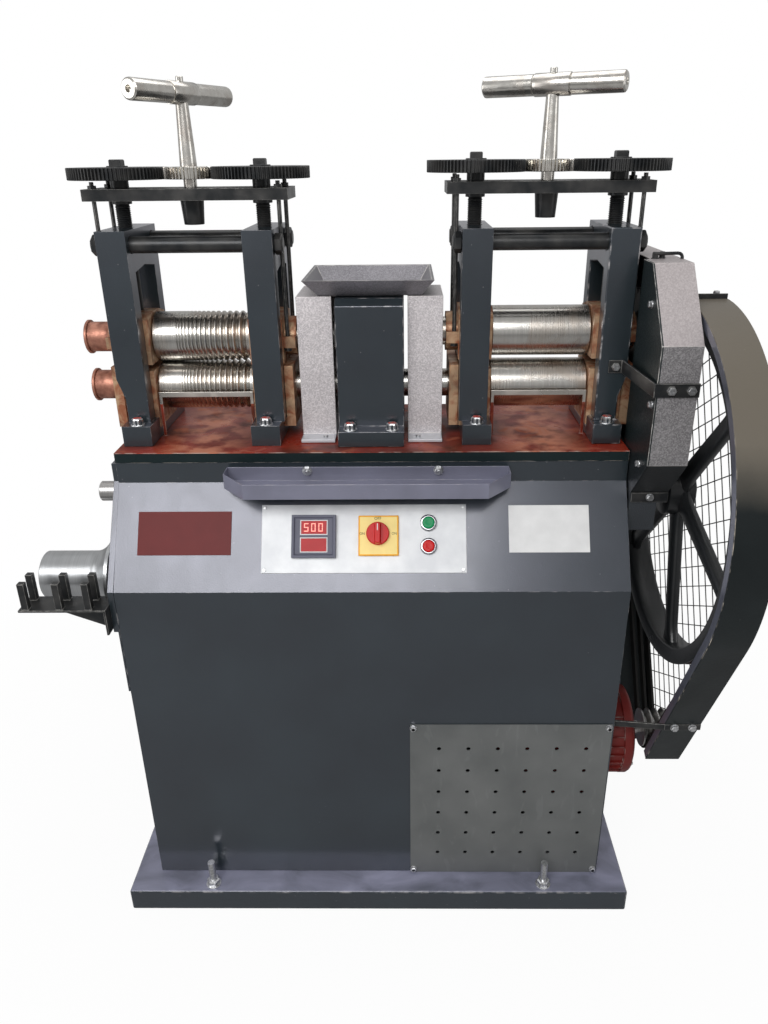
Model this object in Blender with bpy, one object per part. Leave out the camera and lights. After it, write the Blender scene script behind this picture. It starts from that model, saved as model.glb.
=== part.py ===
"""Double head jewellers rolling mill with motor drive, flywheel and wire drum.

Metres, +Z up. X runs along the rolls to the right, the operator stands at -Y, and the origin is
the middle of the plinth's underside.
"""

import math

import bmesh
import bpy
from mathutils import Matrix, Vector

# Fits and facets
FIT_GAP = 0.0004
RUNNING_GAP = 0.0010
OVERRUN = 0.003
EMBED = 0.001
FACETS_LARGE = 36
FACETS_ROLL = 16
FACETS_GROOVED = 14
FACETS_SHAFT = 12
FACETS_SMALL = 8
FACETS_TINY = 6
FLARE_STEPS = 4
GUARD_ARC_STEPS = 24
BELT_STEPS = 24
DRUM_BELT_STEPS = 12
SMALL_WRAP_STEPS = 6

# Plinth and its anchors
PLINTH_MARGIN = 0.052
PLINTH_HEIGHT = 0.050
PLINTH_CHAMFER = 0.006
ANCHOR_END_INSET = 0.166
ANCHOR_INSET = 0.021
ANCHOR_RADIUS = 0.007
ANCHOR_RISE = 0.057
ANCHOR_NUT_FLATS = 0.022
ANCHOR_NUT_HEIGHT = 0.011
ANCHOR_WASHER_RADIUS = 0.015
ANCHOR_WASHER_HEIGHT = 0.003

# Cabinet of folded sheet: straight front, slope, then a narrower neck under the bed
CABINET_HALF_WIDTH = 0.448
CABINET_HALF_DEPTH = 0.248
CABINET_NECK_HALF_DEPTH = 0.144
CABINET_BEND_HEIGHT = 0.710
SLOPE_HEIGHT = 0.164
NECK_RISE = 0.037
CABINET_WALL = 0.004

# Bed plate
BED_THICKNESS = 0.019
BED_OVERHANG = 0.002
GUIDE_THICKNESS = 0.003
GUIDE_HEIGHT = 0.010
GUIDE_RISE = 0.0825
GUIDE_ROOM = 0.004
GUIDE_POST_WIDTH = 0.006

# Left side plate, with a thinner apron below
SIDE_PLATE_THICKNESS = 0.0105
SIDE_PLATE_NECK_INSET = 0.008
SIDE_PLATE_TOP_DROP = 0.004
SIDE_PLATE_SKIRT = 0.080
APRON_THICKNESS = 0.003
APRON_DEPTH = 0.128
DRUM_BOSS_RADIUS = 0.028
DRUM_BOSS_LENGTH = 0.012

# Roll heads
SCREW_SHARE = 15 / 56
BED_END = 0.003
FRAME_THICKNESS = 0.050
FRAME_HALF_DEPTH = 0.086
FRAME_HEIGHT = 0.360
FRAME_CHAMFER = 0.004
FRAME_STEP_DEPTH = 0.0115
FRAME_STEP_FOOT = 0.080
FRAME_STEP_TOP = 0.115
FOOT_SHIFT = 0.0065
FOOT_THICKNESS = 0.051
FOOT_REACH = 0.026
FOOT_HEIGHT = 0.037
FOOT_BOLT_FLATS = 0.017
FOOT_BOLT_HEIGHT = 0.010
WINDOW_HALF_WIDTH = 0.055
WINDOW_FOOT = 0.018
WINDOW_TOP_DROP = 0.068
WINDOW_PEAK_RISE = 0.007

# Tie bars
TIE_BAR_RADIUS = 0.0135
TIE_BAR_Y = 0.060
TIE_BAR_DROP = 0.0235
TIE_NUT_FLATS = 0.030
TIE_NUT_HEIGHT = 0.014

# Rolls
ROLL_RADIUS = 0.044
ROLL_END_ROOM = 0.009
LOWER_ROLL_RISE = 0.0845
LEFT_ROLL_GAP = 0.0005
RIGHT_ROLL_GAP = 0.0070
NECK_RADIUS = 0.025
NECK_SHOULDER_RADIUS = 0.031
NECK_SHOULDER_LENGTH = 0.0008
SLEEVE_RADIUS = 0.0265
SLEEVE_LENGTH = 0.040
SLEEVE_FLANGE_RADIUS = 0.030
SLEEVE_FLANGE_THICKNESS = 0.005
GROOVE_COUNT = 15
FIRST_GROOVE_WIDTH = 0.0022
LAST_GROOVE_WIDTH = 0.0102
GROOVE_LAND = 0.0022
GROOVE_END_LAND = 0.006
GROOVE_DEPTH_SHARE = 0.46

# Bearings of the rolls
LOWER_BLOCK_TOP_ROOM = 0.007
UPPER_BLOCK_FOOT_ROOM = 0.004
UPPER_BLOCK_RISE = 0.047
UPPER_BLOCK_SHOULDER = 0.009
UPPER_BLOCK_SEAT_HALF_WIDTH = 0.020
BLOCK_PROUD = 0.0075
SIDE_FLANGE_THICKNESS = 0.016
SIDE_FLANGE_LAP = 0.005
SIDE_FLANGE_DROP = 0.064
SIDE_FLANGE_EYE_GAP = 0.0065
BRACKET_THICKNESS = 0.022
BRACKET_HALF_DEPTH = 0.048
BRACKET_DROP = 0.013
BRACKET_RISE = 0.007
BRACKET_EYE_RADIUS = 0.035

# Screw-down: cross plate, hanger rods, pressure screws and adjusting gears
CROSS_PLATE_ROOM = 0.0435
CROSS_PLATE_THICKNESS = 0.0185
CROSS_PLATE_OVERHANG = 0.050
CROSS_PLATE_HALF_DEPTH = 0.049
BOSS_TOP_RADIUS = 0.020
BOSS_FOOT_RADIUS = 0.017
BOSS_LENGTH = 0.040
ROD_OFFSET = 0.0082
ROD_Y = 0.040
ROD_RADIUS = 0.0038
ROD_TOP_LENGTH = 0.011
ROD_NUT_FLATS = 0.0125
ROD_NUT_HEIGHT = 0.0055
SCREW_RADIUS = 0.0125
SCREW_COLLAR_RADIUS = 0.0165
SCREW_COLLAR_HEIGHT = 0.006
SCREW_HUB_RADIUS = 0.015
SCREW_HEAD_WIDTH = 0.020
SCREW_HEAD_HEIGHT = 0.012
ADJUSTING_GEAR_LIFT = 0.032
ADJUSTING_GEAR_HEIGHT = 0.019
ADJUSTING_GEAR_TEETH = 80
ADJUSTING_PINION_TEETH = 40
ADDENDUM_MODULE_SHARE = 1.0
DEDENDUM_MODULE_SHARE = 1.3

# T handles
HANDLE_LIFT = 0.128
HANDLE_HUB_RADIUS = 0.011
HANDLE_SPIGOT_RADIUS = 0.009
HANDLE_SPIGOT_LENGTH = 0.030
STEM_FOOT_RADIUS = 0.014
STEM_TOP_RADIUS = 0.010
GRIP_RADIUS = 0.016
GRIP_HALF_LENGTH = 0.118
GRIP_CHAMFER = 0.002
GRIP_SLEEVE_HALF_LENGTH = 0.030
GRIP_SLEEVE_PROUD = 0.0012
GRIP_STUB_RADIUS = 0.006
GRIP_STUB_HEIGHT = 0.007
LEFT_GRIP_TURN = math.radians(64)
RIGHT_GRIP_TURN = math.radians(-27)

# Roll gears inside the covers
ROLL_GEAR_TEETH = 14
ROLL_GEAR_ADDENDUM = 0.0065
ROLL_GEAR_DEDENDUM = 0.0095
ROLL_GEAR_WIDTH = 0.036

# Pinion stand, gear covers and oil hopper
STAND_COVER_GAP = 0.007
STAND_HALF_DEPTH = 0.088
STAND_COVER_DROP = 0.001
STAND_CHAMFER = 0.012
STAND_FOOT_REACH = 0.033
STAND_FOOT_HEIGHT = 0.028
STAND_BOLT_INSET = 0.021
STAND_BOLT_FLATS = 0.017
STAND_BOLT_HEIGHT = 0.010
COVER_GAP = 0.0066
COVER_INNER_SHIFT = 0.002
COVER_SIDE_ROOM = 0.010
COVER_TOP_ROOM = 0.0785
COVER_WALL = 0.003
COVER_FLANGE_REACH = 0.0335
COVER_FLANGE_HEIGHT = 0.006
COVER_NECK_ROOM = 0.004
LIFT_ROOM = 0.010
HOPPER_END_INSET = 0.016
HOPPER_RIM_REACH = 0.045
HOPPER_FLARE = 0.021
HOPPER_FLOOR_INSET = 0.0035
HOPPER_HEIGHT = 0.031
HOPPER_WALL = 0.003

# Drive shaft, its gears and bearings
SHAFT_INSET = 0.026
SHAFT_RADIUS = 0.018
SHAFT_END_REACH = 0.042
DRIVE_MODULE = 0.006
BULL_GEAR_TEETH = 54
DRIVE_PINION_TEETH = 14
DRIVE_ADDENDUM = 0.005
DRIVE_DEDENDUM = 0.0065
DRIVE_GEAR_WIDTH = 0.020
BEARING_RADIUS = 0.029
BEARING_LENGTH = 0.030
BEARING_FLANGE_THICKNESS = 0.012
BEARING_FLANGE_LENGTH = 0.112
BEARING_FLANGE_WIDTH = 0.034

# Gear guard at the right end: a deep pan with a pocket round the drive pinion
GUARD_GAP = 0.002
GUARD_WIDTH = 0.065
GUARD_WALL = 0.002
GUARD_TOP_ROOM = 0.060
GUARD_TOP_HALF_DEPTH = 0.145
GUARD_HALF_DEPTH = 0.2415
GUARD_UPPER_BEND_DROP = 0.1105
GUARD_LOWER_BEND_RISE = 0.0955
GUARD_LIP_HALF_DEPTH = 0.170
GUARD_BEVEL_HALF_DEPTH = 0.186
GUARD_BEVEL_RISE = 0.0365
GUARD_LIP_HEIGHT = 0.0205
GUARD_FOOT_ROOM = 0.005
POCKET_WIDTH = 0.0475
POCKET_FOOT_LIFT = 0.0265
POCKET_ROOM = 0.006
GUARD_MOUTH_HALF_DEPTH = 0.094
GUARD_NOTCH_WIDTH = 0.012
STRAP_THICKNESS = 0.004
STRAP_HEIGHT = 0.022
STRAP_RISE = 0.1335
STRAP_FRAME_REACH = 0.037
STRAP_FRAME_BEND = 0.011
STRAP_GUARD_BEND = 0.001
STRAP_GUARD_REACH = 0.068
STRAP_BOLT_FLATS = 0.012
STRAP_BOLT_HEIGHT = 0.006
STRAP_FRAME_BOLT = 0.025
STRAP_GUARD_BOLTS = (0.024, 0.055)

# Flywheel, motor pulley and V belts
FLYWHEEL_GAP = 0.082
FLYWHEEL_WIDTH = 0.048
FLYWHEEL_RADIUS = 0.311
RIM_THICKNESS = 0.0285
HUB_RADIUS = 0.046
HUB_REACH = 0.010
SPOKE_COUNT = 6
SPOKE_TURN_SHARE = 0.25
SPOKE_FOOT_WIDTH = 0.044
SPOKE_TIP_WIDTH = 0.032
SPOKE_THICKNESS = 0.020
SPOKE_RECESS = 0.010
BELT_COUNT = 3
BELT_PITCH = 0.015
GROOVE_WIDTH = 0.0124
GROOVE_DEPTH = 0.014
RIB_WIDTH = 0.0104
RIB_DEPTH = 0.0085
BELT_BACK_ROOM = 0.0015
BELT_BACK_THICKNESS = 0.0025
PULLEY_RADIUS = 0.0375
PULLEY_WIDTH = 0.048

# Belt guard
BELT_GUARD_LEAD = 0.012
BELT_GUARD_WIDTH = 0.064
BELT_GUARD_ROOM = 0.025
BELT_GUARD_WALL = 0.0025
BELT_GUARD_FRONT_REACH = 0.090
BELT_GUARD_FRONT_DROP = 0.004
BELT_GUARD_REAR_REACH = 0.078
BELT_GUARD_REAR_DROP = 0.095
MESH_THICKNESS = 0.0020
MESH_BORDER = 0.020
MESH_BAR = 0.008
MESH_CELL_WIDTH = 0.090
MESH_CELL_HEIGHT = 0.110
GUARD_BAR_THICKNESS = 0.004
GUARD_BAR_HEIGHT = 0.012
GUARD_BAR_LIFT = 0.126
GUARD_ARM_INSET = 0.006
GUARD_ARM_DROP = 0.042
GUARD_BAR_BOLT_SHARES = (0.27, 0.76)
GUARD_BAR_BOLT_FLATS = 0.011
GUARD_BAR_BOLT_HEIGHT = 0.005

# Motor on its bracket
MOTOR_INSET = 0.098
MOTOR_BEND_DROP = 0.370
MOTOR_RADIUS = 0.087
MOTOR_LENGTH = 0.265
MOTOR_PULLEY_GAP = 0.030
MOTOR_SHIELD_LENGTH = 0.022
MOTOR_SHIELD_STEP = 0.003
MOTOR_BOSS_RADIUS = 0.034
MOTOR_BOSS_LENGTH = 0.010
MOTOR_SHAFT_RADIUS = 0.012
MOTOR_HOLE_ROOM = 0.004
MOTOR_BOX_WIDTH = 0.090
MOTOR_BOX_DEPTH = 0.070
MOTOR_BOX_HEIGHT = 0.045
MOTOR_FOOT_HEIGHT = 0.012
MOTOR_FOOT_HALF_DEPTH = 0.078
MOTOR_FOOT_LENGTH = 0.150
MOTOR_PLATE_THICKNESS = 0.008
MOTOR_PLATE_HALF_DEPTH = 0.082
MOTOR_LEG_THICKNESS = 0.008

# Wire drum, its belt drive and the peg rack
DRUM_INSET = 0.105
DRUM_DROP = 0.020
DRUM_RADIUS = 0.0445
DRUM_LENGTH = 0.092
DRUM_FLANGE_RADIUS = 0.070
DRUM_FLARE_LENGTH = 0.036
DRUM_FLANGE_THICKNESS = 0.007
DRUM_SHAFT_RADIUS = 0.015
DRUM_PULLEY_RADIUS = 0.078
SHAFT_PULLEY_RADIUS = 0.026
DRUM_BELT_WIDTH = 0.012
DRUM_DRIVE_WIDTH = 0.016
DRUM_DRIVE_INSET = 0.050
RACK_DROP = 0.004
RACK_THICKNESS = 0.004
RACK_LENGTH = 0.152
RACK_OVERHANG = 0.020
RACK_DEPTH = 0.0515
RACK_FLANGE_HEIGHT = 0.050
GUSSET_SHARE = 0.8
PEG_WIDTH = 0.012
PEG_HEIGHT = 0.050
PEG_EDGE = 0.003
PEG_OFFSETS = (0.030, 0.081, 0.140)

# Controls on the slope: places are measured along X and up the slope from the bend
PANEL_THICKNESS = 0.002
PANEL_LEFT_X = -0.1915
PANEL_RIGHT_X = 0.1658
PANEL_FOOT = 0.033
PANEL_TOP = 0.153
METER_LEFT_X = -0.138
METER_RIGHT_X = -0.061
METER_FOOT = 0.059
METER_TOP = 0.134
METER_THICKNESS = 0.010
METER_BEZEL = 0.005
METER_BEZEL_DEPTH = 0.003
SWITCH_LEFT_X = -0.022
SWITCH_RIGHT_X = 0.048
SWITCH_FOOT = 0.0625
SWITCH_TOP = 0.133
SWITCH_THICKNESS = 0.005
KNOB_X = 0.0118
KNOB_RISE = 0.101
KNOB_RADIUS = 0.020
KNOB_THICKNESS = 0.008
KNOB_GRIP_WIDTH = 0.010
KNOB_GRIP_HEIGHT = 0.012
KNOB_SPINDLE_RADIUS = 0.004
KNOB_SPINDLE_LENGTH = 0.009
BUTTON_X = 0.100
START_RISE = 0.120
STOP_RISE = 0.079
BUTTON_RADIUS = 0.0105
BUTTON_RING_RADIUS = 0.0147
BUTTON_RING_HEIGHT = 0.006
BUTTON_PROUD = 0.005
BUTTON_STEM = 0.012

# Vent panel and front tray
VENT_WIDTH = 0.3786
VENT_END_INSET = 0.003
VENT_TOP = 0.4265
VENT_THICKNESS = 0.002
VENT_FRAME = 0.024
VENT_HOLE_RADIUS = 0.0040
VENT_ROWS = 6
VENT_HOLE_START = 0.055
VENT_HOLE_END_INSET = 0.048
VENT_HOLE_TOP_INSET = 0.0565
VENT_HOLE_FOOT_INSET = 0.055
TRAY_RIM_DROP = 0.008
TRAY_HEIGHT = 0.027
TRAY_LEFT_X = -0.253
TRAY_RIGHT_X = 0.241
TRAY_DEPTH = 0.084
TRAY_CORNER_X = 0.042
TRAY_CORNER_Y = 0.050
TRAY_WALL = 0.002

# Looks: colour, roughness, metallic
ENAMEL = ("dark_enamel", (0.030, 0.040, 0.046), 0.35, 0.0)
HAMMERTONE = ("grey_hammertone", (0.36, 0.35, 0.36), 0.45, 0.2)
OILED_PRIMER = ("oiled_red_primer", (0.24, 0.075, 0.045), 0.28, 0.0)
GROUND_STEEL = ("ground_steel", (0.62, 0.61, 0.58), 0.25, 1.0)
DARK_STEEL = ("dark_steel", (0.20, 0.20, 0.20), 0.35, 1.0)
ZINC = ("zinc", (0.66, 0.68, 0.70), 0.30, 1.0)
BRONZE = ("bearing_bronze", (0.52, 0.30, 0.18), 0.35, 0.9)
BLACK_IRON = ("black_iron", (0.020, 0.022, 0.024), 0.35, 0.3)
GUARD_PAINT = ("guard_paint", (0.045, 0.046, 0.045), 0.38, 0.0)
SATIN_GREY = ("satin_grey", (0.085, 0.10, 0.10), 0.40, 0.3)
MOTOR_RED = ("motor_red", (0.21, 0.030, 0.022), 0.40, 0.0)
RUBBER = ("belt_rubber", (0.018, 0.018, 0.018), 0.80, 0.0)
ALUMINIUM = ("satin_aluminium", (0.60, 0.60, 0.60), 0.35, 1.0)
WHITE_PLATE = ("white_plate", (0.78, 0.78, 0.76), 0.40, 0.0)
BLACK_PLASTIC = ("black_plastic", (0.02, 0.02, 0.02), 0.40, 0.0)
YELLOW_PLATE = ("yellow_plate", (0.80, 0.42, 0.03), 0.40, 0.0)
RED_PLASTIC = ("red_plastic", (0.55, 0.02, 0.015), 0.35, 0.0)
GREEN_PLASTIC = ("green_plastic", (0.02, 0.30, 0.10), 0.35, 0.0)

# Rolls, bearings and frames that follow from each other
LOWER_BLOCK_RISE = ROLL_RADIUS - LOWER_BLOCK_TOP_ROOM
UPPER_BLOCK_DROP = ROLL_RADIUS - UPPER_BLOCK_FOOT_ROOM
SIDE_FLANGE_RISE = 2 * ROLL_RADIUS - BRACKET_EYE_RADIUS - SIDE_FLANGE_EYE_GAP
SIDE_FLANGE_HALF_DEPTH = WINDOW_HALF_WIDTH + SIDE_FLANGE_LAP
FOOT_HALF_DEPTH = FRAME_HALF_DEPTH + FOOT_REACH
WINDOW_SIDE_HEIGHT = FRAME_HEIGHT - WINDOW_TOP_DROP
TIE_BAR_RISE = FRAME_HEIGHT - TIE_BAR_DROP
CROSS_PLATE_RISE = FRAME_HEIGHT - LOWER_ROLL_RISE - 2 * ROLL_RADIUS + CROSS_PLATE_ROOM
ADJUSTING_GEAR_RISE = CROSS_PLATE_RISE + ADJUSTING_GEAR_LIFT
HANDLE_RISE = ADJUSTING_GEAR_RISE + HANDLE_LIFT
ROLL_GEAR_TIP_RADIUS = ROLL_RADIUS + ROLL_GEAR_ADDENDUM
ROLL_GEAR_ROOT_RADIUS = ROLL_RADIUS - ROLL_GEAR_DEDENDUM
COVER_HEIGHT = LOWER_ROLL_RISE + 2 * ROLL_RADIUS + COVER_TOP_ROOM
COVER_HALF_DEPTH = ROLL_GEAR_TIP_RADIUS + COVER_SIDE_ROOM + COVER_WALL
COVER_FLANGE_HALF_DEPTH = COVER_HALF_DEPTH + COVER_FLANGE_REACH
STAND_HEIGHT = COVER_HEIGHT - STAND_COVER_DROP
STAND_FOOT_HALF_DEPTH = STAND_HALF_DEPTH + STAND_FOOT_REACH
HOPPER_FLOOR_HALF_DEPTH = COVER_HALF_DEPTH - HOPPER_FLOOR_INSET
HOPPER_RIM_HALF_DEPTH = HOPPER_FLOOR_HALF_DEPTH + HOPPER_RIM_REACH
BULL_TIP_RADIUS = DRIVE_MODULE * BULL_GEAR_TEETH / 2 + DRIVE_ADDENDUM
PINION_TIP_RADIUS = DRIVE_MODULE * DRIVE_PINION_TEETH / 2 + DRIVE_ADDENDUM
DRIVE_CENTRES = DRIVE_MODULE * (BULL_GEAR_TEETH + DRIVE_PINION_TEETH) / 2
BELT_GUARD_RADIUS = FLYWHEEL_RADIUS + BELT_GUARD_ROOM

# Places along Y that follow from the cabinet's depth
PLINTH_DEPTH = 2 * (CABINET_HALF_DEPTH + PLINTH_MARGIN)
BED_HALF_DEPTH = CABINET_NECK_HALF_DEPTH + BED_OVERHANG
SIDE_PLATE_HALF_DEPTH = CABINET_NECK_HALF_DEPTH - SIDE_PLATE_NECK_INSET
SHAFT_Y = SHAFT_INSET - CABINET_NECK_HALF_DEPTH
MOTOR_Y = MOTOR_INSET - CABINET_HALF_DEPTH
DRUM_Y = DRUM_INSET - CABINET_HALF_DEPTH
RACK_FRONT_Y = -CABINET_HALF_DEPTH - RACK_OVERHANG
RACK_BACK_Y = RACK_FRONT_Y + RACK_DEPTH
GUARD_ARM_Y = GUARD_ARM_INSET - CABINET_HALF_DEPTH
BELT_GUARD_FRONT_Y = MOTOR_Y - BELT_GUARD_FRONT_REACH
BELT_GUARD_REAR_Y = MOTOR_Y + BELT_GUARD_REAR_REACH

# Levels that follow from the sizes above
MOTOR_Z = CABINET_BEND_HEIGHT - MOTOR_BEND_DROP
CABINET_NECK_HEIGHT = CABINET_BEND_HEIGHT + SLOPE_HEIGHT
CABINET_TOP = CABINET_NECK_HEIGHT + NECK_RISE
BED_TOP = CABINET_TOP + BED_THICKNESS
LOWER_AXIS = BED_TOP + LOWER_ROLL_RISE
FRAME_TOP = BED_TOP + FRAME_HEIGHT
SIDE_PLATE_TOP = CABINET_TOP - SIDE_PLATE_TOP_DROP
SIDE_PLATE_FOOT = CABINET_BEND_HEIGHT - SIDE_PLATE_SKIRT
APRON_FOOT = SIDE_PLATE_FOOT - APRON_DEPTH
TRAY_RIM = CABINET_TOP - TRAY_RIM_DROP
DRUM_Z = CABINET_BEND_HEIGHT - DRUM_DROP
RACK_TOP = DRUM_Z - RACK_DROP
SHAFT_Z = LOWER_AXIS - math.sqrt(DRIVE_CENTRES**2 - SHAFT_Y**2)
GUARD_TOP = LOWER_AXIS + BULL_TIP_RADIUS + GUARD_TOP_ROOM
GUARD_FOOT = LOWER_AXIS - BULL_TIP_RADIUS - GUARD_FOOT_ROOM
GUARD_UPPER_BEND = GUARD_TOP - GUARD_UPPER_BEND_DROP
GUARD_LOWER_BEND = GUARD_FOOT + GUARD_LOWER_BEND_RISE
GUARD_BEVEL_HEIGHT = GUARD_FOOT + GUARD_BEVEL_RISE
GUARD_LIP_TOP = GUARD_FOOT + GUARD_LIP_HEIGHT
POCKET_FOOT = LOWER_AXIS - DRIVE_CENTRES - PINION_TIP_RADIUS + POCKET_FOOT_LIFT
BELT_GUARD_FRONT_Z = MOTOR_Z - BELT_GUARD_FRONT_DROP
BELT_GUARD_REAR_Z = MOTOR_Z - BELT_GUARD_REAR_DROP
GUARD_BAR_RISE = BELT_GUARD_FRONT_Z + GUARD_BAR_LIFT
GUARD_ARM_RISE = GUARD_BAR_RISE - GUARD_ARM_DROP
VENT_HOLE_TOP = VENT_TOP - VENT_HOLE_TOP_INSET
VENT_HOLE_FOOT = PLINTH_HEIGHT + VENT_HOLE_FOOT_INSET

# Places along X that follow from the cabinet's width
PLINTH_WIDTH = 2 * (CABINET_HALF_WIDTH + PLINTH_MARGIN)
ANCHOR_X = PLINTH_WIDTH / 2 - ANCHOR_END_INSET
SCREW_X = CABINET_HALF_WIDTH * SCREW_SHARE
ADJUSTING_MODULE = 2 * SCREW_X / (ADJUSTING_GEAR_TEETH + ADJUSTING_PINION_TEETH)
ADJUSTING_ADDENDUM = ADJUSTING_MODULE * ADDENDUM_MODULE_SHARE
ADJUSTING_DEDENDUM = ADJUSTING_MODULE * DEDENDUM_MODULE_SHARE
FRAME_INNER = SCREW_X - FRAME_THICKNESS / 2
FRAME_OUTER = SCREW_X + FRAME_THICKNESS / 2
HEAD_X = CABINET_HALF_WIDTH - FRAME_OUTER - BED_END
ROLL_HALF_FACE = FRAME_INNER - ROLL_END_ROOM
CROSS_PLATE_HALF_LENGTH = SCREW_X + CROSS_PLATE_OVERHANG
ROD_X = FRAME_OUTER + ROD_OFFSET
BRACKET_OUTER = FRAME_OUTER + FIT_GAP + BRACKET_THICKNESS
COVER_OUTER_X = HEAD_X - BRACKET_OUTER - COVER_GAP
COVER_INNER_X = COVER_OUTER_X / 2 + COVER_INNER_SHIFT
STAND_HALF_WIDTH = COVER_INNER_X - STAND_COVER_GAP
STAND_BOLT_X = STAND_HALF_WIDTH - STAND_BOLT_INSET
HOPPER_RIM_HALF_WIDTH = COVER_OUTER_X - HOPPER_END_INSET
HOPPER_FLOOR_HALF_WIDTH = HOPPER_RIM_HALF_WIDTH - HOPPER_FLARE
SHAFT_LEFT_END = CABINET_HALF_WIDTH + SHAFT_END_REACH
GUARD_LEFT_X = CABINET_HALF_WIDTH + GUARD_GAP
FLYWHEEL_LEFT_X = CABINET_HALF_WIDTH + FLYWHEEL_GAP
BELT_GUARD_LEFT_X = FLYWHEEL_LEFT_X - BELT_GUARD_LEAD
MOTOR_RIGHT_X = FLYWHEEL_LEFT_X - MOTOR_PULLEY_GAP
MOTOR_LEFT_X = MOTOR_RIGHT_X - MOTOR_LENGTH
VENT_RIGHT_X = CABINET_HALF_WIDTH - VENT_END_INSET
VENT_LEFT_X = VENT_RIGHT_X - VENT_WIDTH
VENT_HOLE_LEFT_X = VENT_LEFT_X + VENT_HOLE_START
VENT_HOLE_RIGHT_X = CABINET_HALF_WIDTH - VENT_HOLE_END_INSET
BULL_GEAR_X = HEAD_X + BRACKET_OUTER + POCKET_ROOM
STAND_TOP = BED_TOP + STAND_HEIGHT
COVER_TOP = BED_TOP + COVER_HEIGHT
SLOPE_RUN = CABINET_HALF_DEPTH - CABINET_NECK_HALF_DEPTH
SLOPE_ANGLE = math.atan2(CABINET_NECK_HEIGHT - CABINET_BEND_HEIGHT, SLOPE_RUN)
SIDE_PLATE_X = CABINET_HALF_WIDTH + FIT_GAP + SIDE_PLATE_THICKNESS
DRUM_DRIVE_X = -CABINET_HALF_WIDTH + CABINET_WALL + DRUM_DRIVE_INSET
FLYWHEEL_RIGHT_X = FLYWHEEL_LEFT_X + FLYWHEEL_WIDTH


def clear_scene():
    for obj in list(bpy.data.objects):
        bpy.data.objects.remove(obj, do_unlink=True)


# Outlines

def circle(radius, sides, centre=(0.0, 0.0), phase=0.0):
    angles = [phase + 2 * math.pi * step / sides for step in range(sides)]
    return [(centre[0] + radius * math.cos(a), centre[1] + radius * math.sin(a)) for a in angles]


def around(radius, sides):
    """Corner radius of a polygon whose flats lie at this radius, so that a round piece passes through."""
    return radius / math.cos(math.pi / sides)


def rectangle(a_span, b_span):
    (a0, a1), (b0, b1) = sorted(a_span), sorted(b_span)
    return [(a0, b0), (a1, b0), (a1, b1), (a0, b1)]


def hexagon(flats, centre, phase):
    return circle(around(flats / 2, 6), 6, centre, phase)


def arc(centre, radius, start, end, steps):
    angles = [start + (end - start) * step / steps for step in range(steps + 1)]
    return [(centre[0] + radius * math.cos(a), centre[1] + radius * math.sin(a)) for a in angles]


def turned_outline(outline, angle, centre=(0.0, 0.0)):
    cos, sin = math.cos(angle), math.sin(angle)
    return [(centre[0] + a * cos - b * sin, centre[1] + a * sin + b * cos) for a, b in outline]


def offset(points, distance, closed):
    """The points moved to the left of their line by a distance, with mitred corners."""
    count = len(points)
    moved = []
    for i, point in enumerate(points):
        normals = []
        for first, second in ((i - 1, i), (i, i + 1)):
            if not closed and (first < 0 or second >= count):
                continue
            along = Vector(points[second % count]) - Vector(points[first % count])
            normals.append(Vector((-along.y, along.x)).normalized())
        mitre = (normals[0] + normals[-1]) / (1 + normals[0].dot(normals[-1]))
        moved.append(tuple(Vector(point) + mitre * distance))
    return moved


def ribbon(points, thickness):
    """Outline of a bent strip that lies to the left of a line of points."""
    return points + offset(points, thickness, False)[::-1]


def both_sides(front):
    """A half outline given as (half depth, height) points, mirrored about y = 0."""
    return [(-y, z) for y, z in front] + [(y, z) for y, z in reversed(front)]


def gear_outline(teeth, root, tip, centre, phase):
    """Pointed teeth, with the tip of the first one at the phase angle."""
    points = []
    for tooth in range(teeth):
        angle = phase + 2 * math.pi * tooth / teeth
        for radius, turn in ((tip, angle), (root, angle + math.pi / teeth)):
            points.append((centre[0] + radius * math.cos(turn), centre[1] + radius * math.sin(turn)))
    return points


# Solids

PLACED = {
    "X": lambda a, b, level: (level, a, b),
    "Y": lambda a, b, level: (a, level, b),
    "Z": lambda a, b, level: (a, b, level),
}


def shape(bm):
    """A helper object from a bmesh; it becomes a sub-part, or is used up by one."""
    bmesh.ops.recalc_face_normals(bm, faces=bm.faces)
    mesh = bpy.data.meshes.new("shape")
    bm.to_mesh(mesh)
    bm.free()
    obj = bpy.data.objects.new("shape", mesh)
    bpy.context.scene.collection.objects.link(obj)
    return obj


def tapered(axis, low_outline, low, high_outline, high):
    bm = bmesh.new()
    rings = []
    for outline, level in ((low_outline, low), (high_outline, high)):
        rings.append([bm.verts.new(PLACED[axis](a, b, level)) for a, b in outline])
        bm.faces.new(rings[-1])
    for i, first in enumerate(rings[0]):
        j = (i + 1) % len(rings[0])
        bm.faces.new((first, rings[0][j], rings[1][j], rings[1][i]))
    return shape(bm)


def prism(axis, outline, span):
    low, high = sorted(span)
    return tapered(axis, outline, low, outline, high)


def block(x_span, y_span, z_span):
    return prism("Z", rectangle(x_span, y_span), z_span)


def turned(axis, centre, profile, sides, bore=0.0):
    """A revolve of (place along the axis, radius) points, solid or with a bore through it."""
    if bore:
        profile = profile + [(profile[-1][0], bore), (profile[0][0], bore)]
    bm = bmesh.new()
    rings = []
    for along, radius in profile:
        ring = circle(radius, sides, centre)
        rings.append([bm.verts.new(PLACED[axis](a, b, along)) for a, b in ring])
    pairs = list(zip(rings, rings[1:]))
    if bore:
        pairs.append((rings[-1], rings[0]))
    else:
        bm.faces.new(rings[0])
        bm.faces.new(rings[-1])
    for first, second in pairs:
        for i in range(sides):
            j = (i + 1) % sides
            bm.faces.new((first[i], first[j], second[j], second[i]))
    return shape(bm)


def cylinder(axis, centre, radius, span, sides):
    low, high = sorted(span)
    return turned(axis, centre, [(low, radius), (high, radius)], sides)


def nut(axis, centre, flats, span, phase=0.0):
    return prism(axis, hexagon(flats, centre, phase), span)


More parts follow.
